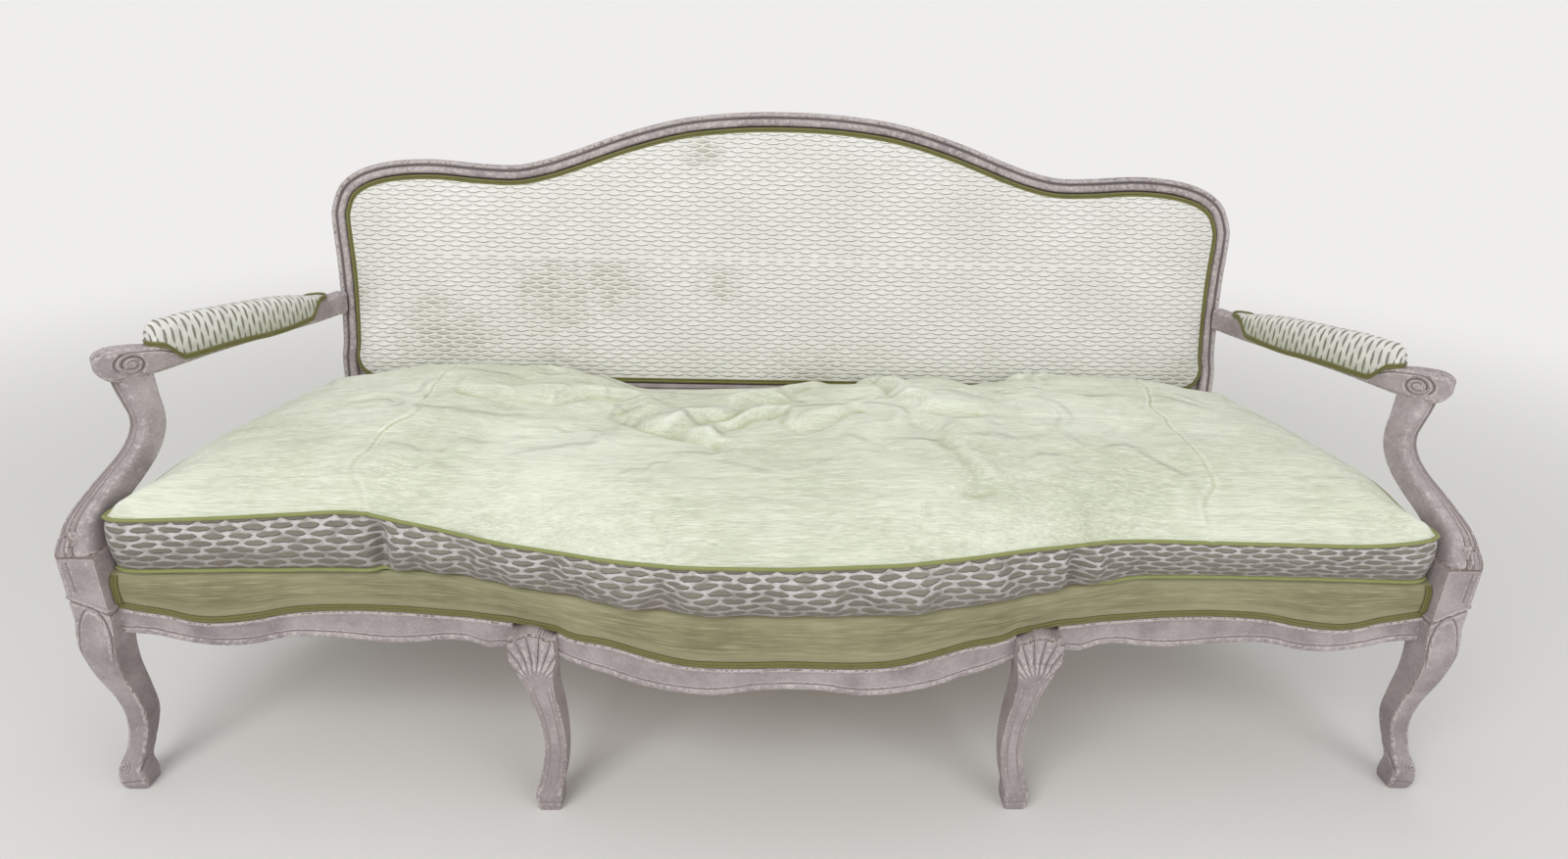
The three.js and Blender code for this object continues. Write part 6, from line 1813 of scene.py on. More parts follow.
@dataclass
class BackUpholstery:
    """Stuffed back with its gimp, and the cloth over its outside."""

    finishes: Finishes
    trims: Trims
    edge: float = 27.1
    gimp: float = 11
    crown: float = 18
    # Distance from the edge over which the pad swells, and depth of its flat rear face
    roll: float = 46
    thickness: float = 8.0
    outside: float = 13.8
    # Depths of the gimps' middles and of the outside cloth's edge behind the frame's front face
    gimp_depth: float = 1.2
    outside_gimp_depth: float = 38.4
    outside_depth: float = 34.4

    def pad(self) -> Piece:
        """The stuffed back in cut velvet."""
        edge = self.edge + self.gimp * 0.45
        loop = D.back_loop(edge, 6)
        shares = 0.985 * np.linspace(0, 1, 44) ** 1.5
        flat, reach = domed(loop, D.back_middle, D.back_half, shares)
        away = shares[:, None] * reach
        depth = 1.5 - (self.crown + 1.5) * (1 - np.exp(-away / self.roll))
        wall = D.back(loop, self.thickness)[None]
        floor = D.back(domed(loop, D.back_middle, D.back_half, np.array([0.97]))[0], self.thickness)
        rings = joined([floor, wall, D.back(flat, depth)])
        uv = joined([loop[None], loop[None], flat]) * MM
        uv = joined([uv, uv[:, :1]], 1)
        skin = Skin()
        skin.loft(rings, uv)
        piece = skin.piece("back_pad_velvet", [self.finishes.back_velvet], 60)
        return hand_over(piece, ["back_pad"])

    def braid(self, name: str, inset: float, depth: float, node: str) -> Piece:
        """Two cords of gimp round a loop of the back."""
        loop = D.back_loop(inset + self.gimp / 2, 7)
        path = D.back(loop, depth)
        way = np.roll(path, -1, 0) - np.roll(path, 1, 0)
        normal = np.array([0, math.cos(D.rake), -math.sin(D.rake)])
        across = np.cross(way, normal)
        across /= np.linalg.norm(across, axis=1, keepdims=True)
        size = TrimSize(2, 5.2, 3.4, 5.0)
        piece = self.trims.sweep(name, path, across, size, self.finishes.gimp, closed=True)
        return hand_over(piece, [node])

    def outside_cloth(self) -> Piece:
        """The cloth stretched over the outside of the back, with its turned edge."""
        loop = D.back_loop(self.outside, 10)
        shares = 0.985 * np.linspace(0, 1, 30) ** 1.4
        flat = domed(loop, D.back_middle, D.back_half, shares)[0]
        near = self.outside_depth + 2.2 * (1 - np.exp(-shares * 9))
        rings = joined([
            D.back(flat[::-1], near[::-1, None] - 2.0), D.back(flat, near[:, None]),
        ])
        uv = joined([flat[::-1], flat]) * MM
        uv = joined([uv, uv[:, :1]], 1)
        skin = Skin()
        skin.loft(rings, uv)
        piece = skin.piece("outside_back_cloth", [self.finishes.top_cloth], 60)
        return hand_over(piece, ["outside_back"])

    def build(self) -> None:
        """Builds the pad, the cloth behind it and both gimps."""
        self.pad()
        self.braid("back_gimp_cords", self.edge, self.gimp_depth, "back_gimp")
        self.outside_cloth()
        self.braid("outside_back_gimp_cords", self.outside, self.outside_gimp_depth, "outside_back_gimp")


@dataclass
class TightSeat:
    """Tight seat with its border cloth and the gimp along the rails."""

    finishes: Finishes
    trims: Trims
    gimp: float = 11
    inset: float = 3.5

    def loop(self, inset: float) -> tuple[Array, Array]:
        """Closed plan of the seat and the ledge's height along it.

        Args:
            inset: distance in from the rails' outer faces.

        Returns:
            Plan places and heights.
        """
        reach = D.corner_inner - D.gap
        x = np.linspace(-reach, reach, 300)
        front = np.stack([x, D.front(x) + inset], -1)
        side = D.side(np.linspace(0.02, 1, 70), inset)
        # Far in, the front and the side lines would cross, so both stop at their meeting point
        side[:, 1] = np.maximum(side[:, 1], front[-1, 1])
        front[:, 0] = np.clip(front[:, 0], -side[0, 0], side[0, 0])
        rear_x = D.back_half - D.rail_edge - inset
        rear_y = np.full(60, D.seat_depth + D.rear_board - inset)
        rear = np.stack([np.linspace(rear_x, -rear_x, 60), rear_y], -1)
        plan = joined([front, side, rear, side[::-1] * [-1, 1]])
        rise = np.full(len(plan), float(SIDE_LEDGE_Z))
        rise[:len(x)] = D.ledge(x)
        return plan, rise

    def deck(self) -> Piece:
        """The seat: border cloth up from the gimp, rolled over a stuffed edge."""
        top = D.deck_top
        stops = (
            (8.7, lambda low: low + D.gap), (self.inset, lambda low: low + D.gap),
            (self.inset, lambda low: low + self.gimp), (1.2, lambda low: low + self.gimp + 2.5),
            (0, lambda low: low + (top - low) * 0.4), (-0.6, lambda low: low + (top - low) * 0.55),
            (0.2, lambda low: low + (top - low) * 0.7), (1.2, lambda low: top - 14 + 0 * low),
            (3.2, lambda low: top - 8 + 0 * low), (6.4, lambda low: top - 3.8 + 0 * low),
            (11, lambda low: top - 1.2 + 0 * low), (17, lambda low: top - 0.2 + 0 * low),
            (26, lambda low: top + 0 * low),
        )
        bottom, rise = self.loop(8.7)
        rings = [joined([bottom, np.full((len(bottom), 1), D.rail_top + 4.0)], 1)]
        for inset, height in stops:
            plan, rise = self.loop(inset)
            rings.append(joined([plan, height(rise)[:, None]], 1))
        rings = np.array(rings)
        along = lengths(joined([rings[4], rings[4][:1]])) * MM
        up = joined([[0], np.cumsum(np.linalg.norm(np.diff(rings[:, 100], axis=0), axis=1))]) * MM
        uv = np.stack(np.meshgrid(along, up), -1)
        skin = Skin()
        skin.loft(rings, uv)
        piece = skin.piece("tight_seat_cloth", [self.finishes.border_cloth], 60)
        return hand_over(piece, ["seat_deck"])

    def gimps(self) -> None:
        """Gimp along the front, the sides and up the corner blocks."""
        size = TrimSize(2, 5.2, 3.2, 5.0)
        reach = D.corner_inner - D.gap
        x = np.linspace(-reach, reach, 300)
        front = np.stack([x, D.front(x) + 2.4, D.ledge(x) + self.gimp / 2 + 0.6], -1)
        piece = self.trims.sweep("seat_gimp_cords_front", front, UP, size, self.finishes.gimp)
        hand_over(piece, ["seat_gimp_front"])
        for hand in Hand:
            mirror = [hand.value, 1, 1]
            plan = D.side(np.linspace(0.06, 0.96, 70), 2.4)
            side = joined([plan, np.full((len(plan), 1), SIDE_LEDGE_Z + self.gimp / 2 + 0.6)], 1) * mirror
            name = f"seat_gimp_cords_{hand.word}"
            piece = self.trims.sweep(name, side, UP, size, self.finishes.gimp)
            hand_over(piece, [f"seat_gimp_{hand.word}"])
            z = np.linspace(D.ledge(np.array([reach]))[0] + self.gimp, D.deck_top - 4, 20)
            face = float(D.front(reach))
            y = face - 1.4 + 8 * smooth(z, D.deck_top - 20, D.deck_top) ** 2
            rise = np.stack([np.full(len(z), reach - self.gimp / 2), y, z], -1) * mirror
            name = f"corner_gimp_cords_{hand.word}"
            piece = self.trims.sweep(name, rise, (1.0, 0.0, 0.0), size, self.finishes.gimp)
            hand_over(piece, [f"corner_gimp_{hand.word}"])

    def build(self) -> None:
        """Builds the seat and its gimps."""
        self.deck()
        self.gimps()


@dataclass(frozen=True)
class Fold:
    """A crease in the cushion's top: its path in plan, depth and width in millimetres."""

    path: Rows
    depth: float
    width: float


@dataclass
class LooseCushion:
    """Long feather cushion: strié top, velvet boxing and two lines of piping."""

    finishes: Finishes
    trims: Trims
    width: float = 1940
    thickness: float = 80
    crown: float = 48
    rear_rise: float = 30
    bulge: float = 7
    overhang: float = 2.3
    hidden: float = 9
    waver: float = 3.2
    pucker: float = 0.75
    piping: float = 3.0
    columns: int = 130
    rows: int = 31
    # Frames of the filling, and the soft limit of what it moves
    moments: int = 20
    most_moved: float = 14.0
    folds: tuple[Fold, ...] = field(default_factory=tuple)

    # Share of the half width, share of the depth back from the corner legs' line, share of the bow
    PLAN = (
        (0, 0, 1.1), (0.134, 0, 1.06), (0.203, 0, 0.94), (0.27, 0, 0.77), (0.35, 0, 0.5), (0.428, 0, 0.27),
        (0.481, 0, 0.1), (0.54, 0, -0.02), (0.593, 0, -0.06), (0.69, 0, -0.055), (0.79, 0, -0.03),
        (0.896, 0, 0.01), (0.965, 0, 0.04), (0.994, 0.005, 0), (1, 0.03, 0), (0.994, 0.08, 0),
        (0.984, 0.15, 0), (0.979, 0.26, 0), (0.966, 0.48, 0), (0.938, 0.66, 0), (0.91, 0.8, 0),
        (0.883, 0.92, 0), (0.866, 0.975, 0), (0.83, 1, 0), (0.66, 1, 0), (0.44, 1, 0), (0.22, 1, 0),
        (0, 1, 0),
    )
    CROWN = (
        (0, 0), (0.025, 0.16), (0.07, 0.46), (0.14, 0.74), (0.27, 0.95), (0.45, 1), (0.7, 0.97), (1, 0.97),
    )
    # Height of the front's upper seam as a share of the boxing, from the left corner to the right one
    FRONT_SEAM = (
        (-1, 1.06), (-0.87, 1.075), (-0.73, 1.16), (-0.64, 1.2), (-0.56, 1), (-0.44, 0.84), (-0.29, 0.865),
        (-0.15, 0.925), (0, 0.95), (0.13, 1), (0.27, 0.99), (0.43, 0.9), (0.48, 0.865), (0.59, 0.775),
        (0.75, 0.75), (0.9, 0.775), (1, 0.95),
    )
    # Drop of the rear seam in millimetres along x
    REAR_SEAM = (
        (-970, 0), (-700, 0), (-560, -4), (-400, 0), (-330, 8), (-260, 24), (-190, 24), (-80, 16), (60, 8),
        (200, 2), (270, -2), (330, 14), (390, 4), (470, -2), (700, 0), (970, 0),
    )

    # How the filled cover behaves as cloth, with its boxing held still
    FILLING = {
        "quality": 6, "mass": 0.3, "tension_stiffness": 18, "compression_stiffness": 18,
        "shear_stiffness": 6, "bending_stiffness": 0.35, "use_pressure": True,
        "uniform_pressure_force": 2.2, "vertex_group_mass": "held", "vertex_group_shrink": "loose",
        "shrink_min": 0, "shrink_max": -0.075,
    }
    # Pulled-in places of the boxing: x, width, share of the bulge lost
    TUCKS = (
        (-592, 14, 2.2), (-470, 30, 0.9), (-330, 22, 0.8), (-180, 18, 0.5), (415, 16, 1.6), (520, 24, 0.8),
        (60, 30, 0.3),
    )

    def half_plan(self) -> Array:
        """Right half of the cushion's plan, dense, from the middle of the front to that of the back."""
        rows = np.array(self.PLAN)
        depth = D.seat_depth - D.rail_edge
        points = np.stack([rows[:, 0] * self.width / 2, rows[:, 1] * depth - rows[:, 2] * D.bow], -1)
        return spline(points, np.linspace(0, len(points) - 1, 1600))

    def edges(self) -> tuple[Array, Array, Array]:
        """Front, right and rear edges in plan, evenly spaced."""
        half = self.half_plan()
        corner = np.argmax(half[:, 0] - 0.6 * half[:, 1])
        rear = np.argmax(0.5 * half[:, 0] + half[:, 1])
        front = half[: corner + 1]
        front = evenly(joined([front[::-1] * [-1, 1], front[1:]]), self.columns)
        right = evenly(half[corner : rear + 1], self.rows)
        back = half[rear:]
        back = evenly(joined([back * [-1, 1], back[::-1][1:]]), self.columns)
        return front, right, back

    def seam_height(self, plan: Array) -> Array:
        """Height of the upper seam over the seat."""
        climb = smooth(plan[:, 1], 0, D.seat_depth * 0.35)
        rear_climb = smooth(plan[:, 1], D.seat_depth * 0.3, D.seat_depth * 0.97)
        outer = smooth(np.abs(plan[:, 0]), 0.32 * self.width, 0.42 * self.width)
        level = self.thickness * (1 + 0.2 * climb) + self.rear_rise * rear_climb * (1 - 0.65 * outer)
        front = (through(self.FRONT_SEAM, plan[:, 0] / (self.width / 2))[:, 0] - 1) * self.thickness
        rear = through(self.REAR_SEAM, plan[:, 0])[:, 0]
        at_back = smooth(plan[:, 1], D.seat_depth * 0.7, D.seat_depth * 0.97)
        return level + front * (1 - smooth(plan[:, 1], 5, 140)) - rear * at_back

    def raised(self, plan: Array, rise: Array) -> Array:
        """Points over the plan, leaning with the sofa's back near the rear."""
        lean = smooth(plan[..., 1], D.seat_depth * 0.6, D.seat_depth * 0.97) * rise * math.tan(D.rake)
        return np.stack([plan[..., 0], plan[..., 1] + lean, D.deck_top + D.gap + rise], -1)

    def top_net(self) -> Array:
        """The top before it is filled: columns by rows by 3."""
        front, right, back = self.edges()
        left = right * [-1, 1]
        sides = [self.raised(edge, self.seam_height(edge)) for edge in (front, back, left, right)]
        front, back, left, right = sides
        u = np.linspace(0, 1, self.columns + 1)[:, None, None]
        v = np.linspace(0, 1, self.rows + 1)[None, :, None]
        ruled = front[:, None] * (1 - v) + back[:, None] * v + left[None] * (1 - u) + right[None] * u
        corners = (
            (1 - u) * (1 - v) * front[0] + u * (1 - v) * front[-1] + (1 - u) * v * back[0] + u * v * back[-1]
        )
        net = ruled - corners
        to_edge = np.minimum(u, 1 - u)[..., 0] * self.width / 272
        to_front = v[..., 0] / 0.42
        to_back = (1 - v[..., 0]) / 0.58
        share = ((to_edge + 1e-4) ** -4 + (to_front + 1e-4) ** -4 + (to_back + 1e-4) ** -4) ** -0.25
        rise = through(self.CROWN, np.clip(share, 0, 1))[..., 0]
        wave = 1 - 0.12 * np.cos(net[..., 0] / 698 * math.pi * 1.5)
        net[..., 2] += self.crown * rise * wave
        return net

    def boxing_net(self, seam: Array, rows: int) -> Array:
        """The boxing under the upper seam.

        Args:
            seam: points of the closed upper seam, anticlockwise from above.
            rows: spaces up the boxing.

        Returns:
            Rows by points by 3, from the bottom up.
        """
        out = outward(seam)
        share = np.linspace(0, 1, rows + 1)[:, None]
        base = D.deck_top + D.gap
        rise = seam[:, 2] - base
        lean = smooth(seam[:, 1], D.seat_depth * 0.6, D.seat_depth * 0.97) * rise * math.tan(D.rake)
        foot = seam - np.stack([0 * lean, lean, rise], -1)
        inner = np.clip((share - 0.04) / 0.92, 0, 1)
        swell = np.clip(np.sin(inner * math.pi), 0, 1) ** 0.7
        middle = self.under_boxing(seam)
        hanging = np.clip(np.sin(inner**0.6 * math.pi), 0, 1) ** 0.7
        swell = swell * (1 - middle) + hanging * middle * self.overhang
        tuck = -8 * (1 - smooth(share, 0, 0.05))
        tucks = np.ones(len(seam))
        for x, width, deep in self.TUCKS:
            near = np.exp(-(((seam[:, 0] - x) / width) ** 2)) * (seam[:, 1] < 60)
            tucks = tucks - deep * near
        offset = self.bulge * swell * tucks + tuck + self.lumps(seam, share) * swell
        return foot + (seam - foot) * share[..., None] + out * offset[..., None]

    @staticmethod
    def under_boxing(seam: Array) -> Array:
        """Share by which the boxing hangs over its lower piping, between the outer tucks of the front."""
        x, y = seam[:, 0], seam[:, 1]
        return smooth(x, -650, -560) * (1 - smooth(x, 430, 530)) * (y < 60)

    @staticmethod
    def lumps(seam: Array, share: Array) -> Array:
        """Unevenness of the feather filling behind the boxing, in millimetres."""
        draw = np.random.default_rng(7)
        around = lengths(seam)
        total = np.zeros(np.broadcast_shapes(share.shape, around.shape))
        for wave in draw.uniform(28, 150, 16):
            phase, slant = draw.uniform(0, TAU), draw.uniform(-2.2, 2.2)
            total = total + 0.02 * wave**0.75 * np.sin(around / wave * TAU + phase + slant * share * 2)
        return total

    def perimeter(self, net: Array) -> Array:
        """The top's edge as one loop, anticlockwise from above."""
        return joined([net[:-1, 0], net[-1, :-1], net[:0:-1, -1], net[0, :0:-1]])

    def filled(self, net: Array) -> Array:
        """The top after the cover is filled and settles, by a cloth simulation.

        Args:
            net: the top before it is filled.

        Returns:
            The top with its folds.
        """
        skin = Skin()
        ids = skin.net(net)
        boxing = self.boxing_net(self.perimeter(net), 6)
        low = skin.net(boxing, wrapped=True)
        skin.cap(low[0][::-1])
        count = skin.count
        mesh = bpy.data.meshes.new("cushion_cover")
        mesh.from_pydata(in_frame(joined(skin.points)).tolist(), [], skin.faces)
        work = bmesh.new()
        work.from_mesh(mesh)
        keep = work.verts.layers.int.new("number")
        for i, vert in enumerate(work.verts):
            vert[keep] = i
        bmesh.ops.remove_doubles(work, verts=work.verts, dist=1e-5)
        bmesh.ops.recalc_face_normals(work, faces=work.faces)
        work.to_mesh(mesh)
        work.free()
        number = np.zeros(len(mesh.vertices), int)
        mesh.attributes["number"].data.foreach_get("value", number)
        cover = bpy.data.objects.new("cushion_cover", mesh)
        show(cover)
        rest = np.zeros(len(mesh.vertices) * 3)
        mesh.vertices.foreach_get("co", rest)
        rest = rest.reshape(-1, 3)
        held = cover.vertex_groups.new(name="held")
        loose = cover.vertex_groups.new(name="loose")
        inside = np.zeros(count, bool)
        inside[ids[1:-1, 1:-1].ravel()] = True
        free = inside[number]
        held.add(np.nonzero(~free)[0].tolist(), 1.0, "REPLACE")
        x = rest[:, 0] / MM
        slack = 0.25 + 0.75 * np.exp(-(((x - 40) / 420) ** 2))
        for i in np.nonzero(free)[0].tolist():
            loose.add([i], float(slack[i]), "REPLACE")
        modifier = cover.modifiers.new("filling", "CLOTH")
        cloth = modifier.settings
        cloth.effector_weights.gravity = 0
        for key, value in self.FILLING.items():
            setattr(cloth, key, value)
        scene = bpy.context.scene
        for moment in range(self.moments):
            scene.frame_set(moment + 1)
        result = cover.evaluated_get(bpy.context.evaluated_depsgraph_get()).data
        after = np.zeros(len(result.vertices) * 3)
        result.vertices.foreach_get("co", after)
        after = after.reshape(-1, 3)
        scene.frame_set(1)
        bpy.data.objects.remove(cover)
        move = np.zeros((count, 3))
        move[number] = (after - rest) / MM
        move = move[ids.ravel()].reshape(net.shape)
        far = np.linalg.norm(move, axis=-1, keepdims=True)
        log.info("filling moved the top by up to %.1f mm", far.max())
        return net + move * self.most_moved * np.tanh(far / self.most_moved) / np.maximum(far, 1e-6)

    def creased(self, net: Array) -> Array:
        """The top with its seams and its deep folds pressed in."""
        x, y = net[..., 0], net[..., 1]
        draw = np.random.default_rng(23)
        made = net.copy()
        away = np.stack([np.zeros_like(x), np.zeros_like(x)], -1)
        puckers = np.zeros_like(x)
        for wave in draw.uniform(45, 190, 26):
            turn, phase, other = draw.uniform(0, TAU, 3)
            along = (x * math.cos(turn) + y * math.sin(turn)) / wave * TAU
            puckers += np.sin(along + phase + 1.1 * np.sin(y / 70 + other)) * wave / 190
            away[..., 0] += np.sin(along + other) * wave / 190
            away[..., 1] += np.cos(along + phase) * wave / 190
        plan = net[..., :2] + away * self.waver
        # The filling is most uneven where people sit, and even along the seams
        used = smooth(y, 20, 130) * (1 - smooth(np.abs(x), 560, 800)) * 0.8 + 0.2
        used = used * smooth(y, -10, 60) * (1 - smooth(y, D.seat_depth - 90, D.seat_depth - 10))
        made[..., 2] += self.pucker * puckers * used
        for fold in self.folds:
            beside = np.array(fold.path) + [0, 1.6 * fold.width]
            made[..., 2] += stroke(plan, fold.path, fold.width, -fold.depth)
            made[..., 2] += stroke(plan, beside, 1.5 * fold.width, 0.8 * fold.depth)
        return made

    def build(self) -> None:
        """Builds the cushion and its two lines of piping."""
        net = self.top_net()
        net = self.filled(net)
        net = finer(finer(net, 4).swapaxes(0, 1), 4).swapaxes(0, 1)
        net = self.creased(net)
        seam = self.perimeter(net)
        boxing = self.boxing_net(seam, 18)
        skin = Skin()
        skin.net(net, net[..., :2] * MM)
        far = lengths(joined([seam, seam[:1]]))
        up = np.linspace(0, 1, len(boxing)) * self.thickness
        around, up = np.meshgrid(far, up)
        ids = skin.net(boxing, np.stack([around, up], -1) * MM, True, 1)
        skin.cap(ids[0][::-1])
        piece = skin.piece("seat_cushion_cover", [self.finishes.top_cloth, self.finishes.boxing_velvet], 70)
        hand_over(piece, ["seat_cushion"], Body.CUSHION)
        for name, row, node in (("top", -1, "cushion_piping_top"), ("bottom", 1, "cushion_piping_bottom")):
            line = boxing[row]
            out = outward(line)
            path = line + out * self.piping * 0.55
            if row == 1:
                path = path - out * self.under_boxing(line)[:, None] ** 3 * self.hidden
                path[:, 2] = D.deck_top + D.gap + self.piping
            size = TrimSize(1, 2 * self.piping, 2 * self.piping, 0, step=5, sides=12)
            piece = self.trims.sweep(
                f"cushion_piping_cord_{name}", path, UP, size, self.finishes.piping, closed=True,
            )
            hand_over(piece, [node], Body.CUSHION)


FOLDS = (
    Fold(((-541, 294), (-460, 254), (-374, 287), (-295, 303), (-234, 254)), 9, 16),
    Fold(((-290, 275), (-223, 213), (-179, 191), (-133, 148)), 13, 18),
    Fold(((-178, 186), (-118, 229), (-70, 293), (-9, 335), (46, 408)), 13, 18),
    Fold(((-124, 137), (-95, 198), (-43, 247), (-10, 249), (16, 190), (66, 223), (123, 253)), 9, 14),
    Fold(((80, 500), (124, 470), (164, 381), (197, 278), (222, 186), (259, 99), (271, 20)), 14, 21),
    Fold(((110, 490), (179, 353), (231, 246), (321, 236)), 9, 15),
    Fold(((-540, 500), (-467, 443), (-422, 405), (-377, 447)), 7, 17),
    Fold(((-430, 520), (-359, 490), (-279, 453), (-230, 470)), 10, 19),
    Fold(((364, 520), (386, 470), (441, 430), (510, 440)), 10, 17),
    Fold(((-601, 480), (-587, 310), (-602, 186), (-623, 120), (-623, 46), (-612, -5)), 3.4, 4.5),
    Fold(((650, 500), (644, 440), (632, 312), (639, 188), (649, 80), (628, -5)), 3.4, 4.5),
)


@dataclass
class InnerCloth:
    """Woven webbing with hessian over it, under the seat and behind the back's stuffing."""

    finishes: Finishes
    trims: Trims
    web: float = 75
    pitch: float = 170
    lift: float = 0.5
    thickness: float = 0.8
    # Heights of the two layers of the seat, and depths of those of the back
    seat_webs: float = 326.3
    seat_sheet: float = 328.1
    back_webs: float = 10.7
    back_sheet: float = 8.9
    # Distances in from the rails, and how far back of the middle the seat's strips lie
    sheet_inset: float = 12
    web_inset: float = 28
    web_back: float = 18

    @staticmethod
    def span(loop: Array, axis: int, value: float) -> tuple[float, float]:
        """Outermost places where a closed line crosses a value of one coordinate."""
        ahead = np.roll(loop, -1, 0)
        before, after = loop[:, axis] - value, ahead[:, axis] - value
        crossed = (before * after <= 0) & (before != after)
        t = (before[crossed] / (before[crossed] - after[crossed]))[:, None]
        places = (loop[crossed] * (1 - t) + ahead[crossed] * t)[:, 1 - axis]
        return float(places.min()), float(places.max())

    def webbing(
        self, node: str, loop: Array, centre: Sequence[float], counts: Sequence[int],
        place: Callable[[Array, Array | float], Array], rests_on: Sequence[str],
    ) -> None:
        """Strips woven over and under each other, ended on a closed line.

        Args:
            node: the node that they stand for.
            loop: the closed line in their plane.
            centre: middle of the net of strips.
            counts: how many strips cross each axis of the plane.
            place: lays points of the plane in the drawing, with a height over it.
            rests_on: what the strips are tacked to; not used.
        """
        paths = []
        across = []
        for axis, count in enumerate(counts):
            other = 1 - axis
            first = centre[other] - (counts[other] - 1) / 2 * self.pitch
            for k in range(count):
                at = centre[axis] + (k - (count - 1) / 2) * self.pitch
                low, high = self.span(loop, axis, at)
                flat = np.full((70, 2), at)
                flat[:, other] = np.linspace(low, high, 70)
                wave = (-1) ** (k + axis) * np.cos(math.pi * (flat[:, other] - first) / self.pitch)
                path = place(flat, self.lift * wave)
                paths.append(path)
                step = np.zeros(2)
                step[axis] = 1
                across.append(place(flat + step, self.lift * wave) - path)
        size = TrimSize(1, self.web, self.thickness, 0, step=14, sides=12)
        name = f"{node}_woven_strips"
        path, across = joined(paths), joined(across)
        piece = self.trims.sweep(name, path, across, size, self.finishes.webbing, parts=len(paths))
        hand_over(piece, [node])

    def hessian(
        self, node: str, loop: Array, middle: float, place: Callable[[Array, Array | float], Array],
        rests_on: Sequence[str],
    ) -> None:
        """A sheet of hessian stretched over the webbing.

        Args:
            node: the node that it stands for.
            loop: its edge in its plane.
            middle: second coordinate of the line that it closes in to.
            place: lays points of the plane in the drawing, with a height over it.
            rests_on: what it lies on; not used.
        """
        flat = domed(loop, middle, np.abs(loop[:, 0]).max(), np.linspace(0, 0.985, 16))[0]
        thick = self.thickness / 2
        skin = Skin()
        skin.loft(joined([place(flat[::-1], -thick), place(flat, thick)]))
        piece = skin.piece(f"{node}_sheet", [self.finishes.hessian], 60)
        hand_over(piece, [node])

    def build(self, seat: TightSeat, back: BackUpholstery) -> None:
        """Builds both layers under the seat and in the back."""
        under = seat.loop(self.sheet_inset)[0]
        inside = D.back_loop(back.edge + D.gap, 8)
        depth = D.seat_depth / 2 - D.bow / 4

        def flat_at(level: float) -> Callable[[Array, Array | float], Array]:
            """Lays a plane at a level of the seat."""
            return lambda flat, up: joined([
                flat, (level + up + 0 * flat[..., 0])[..., None],
            ], -1)

        def raked_at(level: float) -> Callable[[Array, Array | float], Array]:
            """Lays a plane at a depth of the back."""
            return lambda flat, up: D.back(flat, level - up)

        rails = ["front_rail_centre", "rear_rail"]
        # The strips sit a little back, so that the front one stays inside the hollows of the front rail
        inner = seat.loop(self.web_inset)[0]
        centre = (0, depth + self.web_back)
        self.webbing("seat_webbing", inner, centre, (12, 3), flat_at(self.seat_webs), rails)
        self.hessian("seat_hessian", under, depth, flat_at(self.seat_sheet), ["seat_webbing_woven_strips"])
        uprights = ["back_upright_right", "back_upright_left"]
        self.webbing("back_webbing", inside, (0, D.back_middle), (9, 2), raked_at(self.back_webs), uprights)
        below = ["back_webbing_woven_strips"]
        self.hessian("back_hessian", inside, D.back_middle, raked_at(self.back_sheet), below)


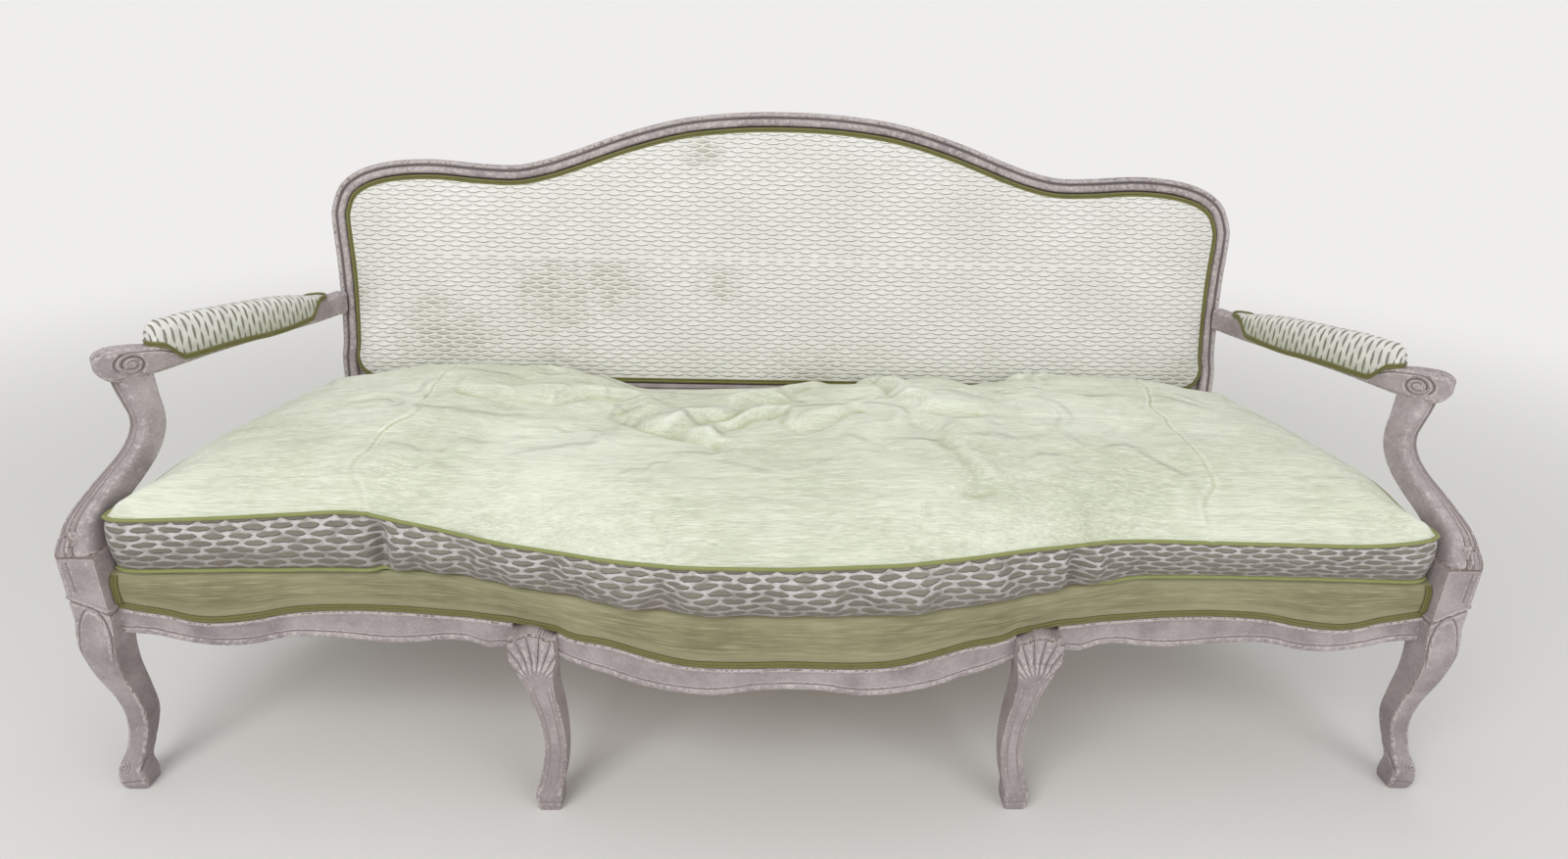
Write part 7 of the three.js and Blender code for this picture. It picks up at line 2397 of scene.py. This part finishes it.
@dataclass(frozen=True)
class Studio:
    """Camera at the photograph's place, pale floor and soft light."""

    place: tuple[float, float, float] = (-0.0386, -1.44566, 1.1034)
    yaw: float = math.radians(2.404)
    pitch: float = math.radians(22.355)
    roll: float = math.radians(1.766)
    focal: float = 949.7
    centre: tuple[float, float] = (817.9, 430.4)
    image: tuple[int, int] = (1600, 877)
    background: str = "#EFEEEC"
    ambient: float = 0.5

    # Name, place, target, size in metres and power in watts
    LAMPS = (
        ("key", (-1.5, -2.6, 2.9), (0, 0, 0.5), 2.0, 62), ("fill", (2.3, -2.9, 1.9), (0, 0, 0.4), 2.4, 36),
        ("over", (0.3, 0.7, 3.4), (0, 0, 0.4), 2.4, 16),
    )

    def camera(self) -> None:
        """Sets the camera up."""
        ahead = Vector((
            math.sin(self.yaw) * math.cos(self.pitch), math.cos(self.yaw) * math.cos(self.pitch),
            -math.sin(self.pitch),
        ))
        level = Vector((math.cos(self.yaw), -math.sin(self.yaw), 0))
        top = level.cross(ahead)
        right = math.cos(self.roll) * level + math.sin(self.roll) * top
        up = math.cos(self.roll) * top - math.sin(self.roll) * level
        data = bpy.data.cameras.new("photo_camera")
        data.sensor_width = 36
        data.lens = self.focal / self.image[0] * data.sensor_width
        data.shift_x = (self.image[0] / 2 - self.centre[0]) / self.image[0]
        data.shift_y = (self.centre[1] - self.image[1] / 2) / self.image[0]
        data.clip_start = 0.05
        data.clip_end = 100
        camera = bpy.data.objects.new("photo_camera", data)
        camera.matrix_world = Matrix((
            (right.x, up.x, -ahead.x, self.place[0]), (right.y, up.y, -ahead.y, self.place[1]),
            (right.z, up.z, -ahead.z, self.place[2]), (0, 0, 0, 1),
        ))
        show(camera)
        bpy.context.scene.camera = camera

    def floor(self, finishes: Finishes) -> None:
        """Lays the pale floor."""
        mesh = bpy.data.meshes.new("studio_floor")
        reach = 30.0
        corners = [(-reach, -reach, 0), (reach, -reach, 0), (reach, reach, 0), (-reach, reach, 0)]
        mesh.from_pydata(corners, [], [(0, 1, 2, 3)])
        mesh.materials.append(finishes.paper)
        floor = bpy.data.objects.new("studio_floor", mesh)
        show(floor)

    def lamp(
        self, name: str, place: Sequence[float], target: Sequence[float], size: float, power: float,
    ) -> None:
        """Hangs a square soft lamp.

        Args:
            name: the lamp's name.
            place: where it hangs.
            target: what it looks at.
            size: its side in metres.
            power: its power in watts.
        """
        data = bpy.data.lights.new(name, "AREA")
        data.shape = "SQUARE"
        data.size = size
        data.energy = power
        lamp = bpy.data.objects.new(name, data)
        lamp.location = place
        lamp.rotation_euler = (Vector(target) - Vector(place)).to_track_quat("-Z", "Y").to_euler()
        show(lamp)

    def world(self) -> None:
        """Lights the world evenly, with a pale background behind the floor."""
        r = Recipe("studio_world", "worlds")
        path = r.add("LightPath").node.outputs
        seen = r.add("Background", {"Color": self.background, "Strength": 1.0})
        light = r.add("Background", {"Color": (1, 1, 1, 1), "Strength": self.ambient})
        either = path["Is Camera Ray"]
        for kind in ("Is Glossy Ray", "Is Transmission Ray"):
            either = r.add("Math", (either, path[kind]), operation="MAXIMUM")
        bpy.context.scene.world = r.end(r.add("MixShader", (either, light, seen)))

    def build(self, finishes: Finishes) -> None:
        """Builds the camera, the floor and the light."""
        self.camera()
        self.floor(finishes)
        self.world()
        for name, place, target, size, power in self.LAMPS:
            self.lamp(name, place, target, size, power)
        bpy.context.scene.view_settings.view_transform = "Standard"


def main() -> None:
    """Builds the sofa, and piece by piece."""
    logging.basicConfig(level=logging.INFO, format="%(name)s %(message)s", stream=sys.stdout)
    finishes = Finishes()
    Studio().build(finishes)
    trims = Trims()
    BackFrame(finishes).build()
    SeatFrame(finishes).build()
    for hand in Hand:
        OpenArm(finishes, hand).build(trims)
    back = BackUpholstery(finishes, trims)
    back.build()
    seat = TightSeat(finishes, trims)
    seat.build()
    InnerCloth(finishes, trims).build(seat, back)
    LooseCushion(finishes, trims, folds=FOLDS).build()


if __name__ == "__main__":
    main()
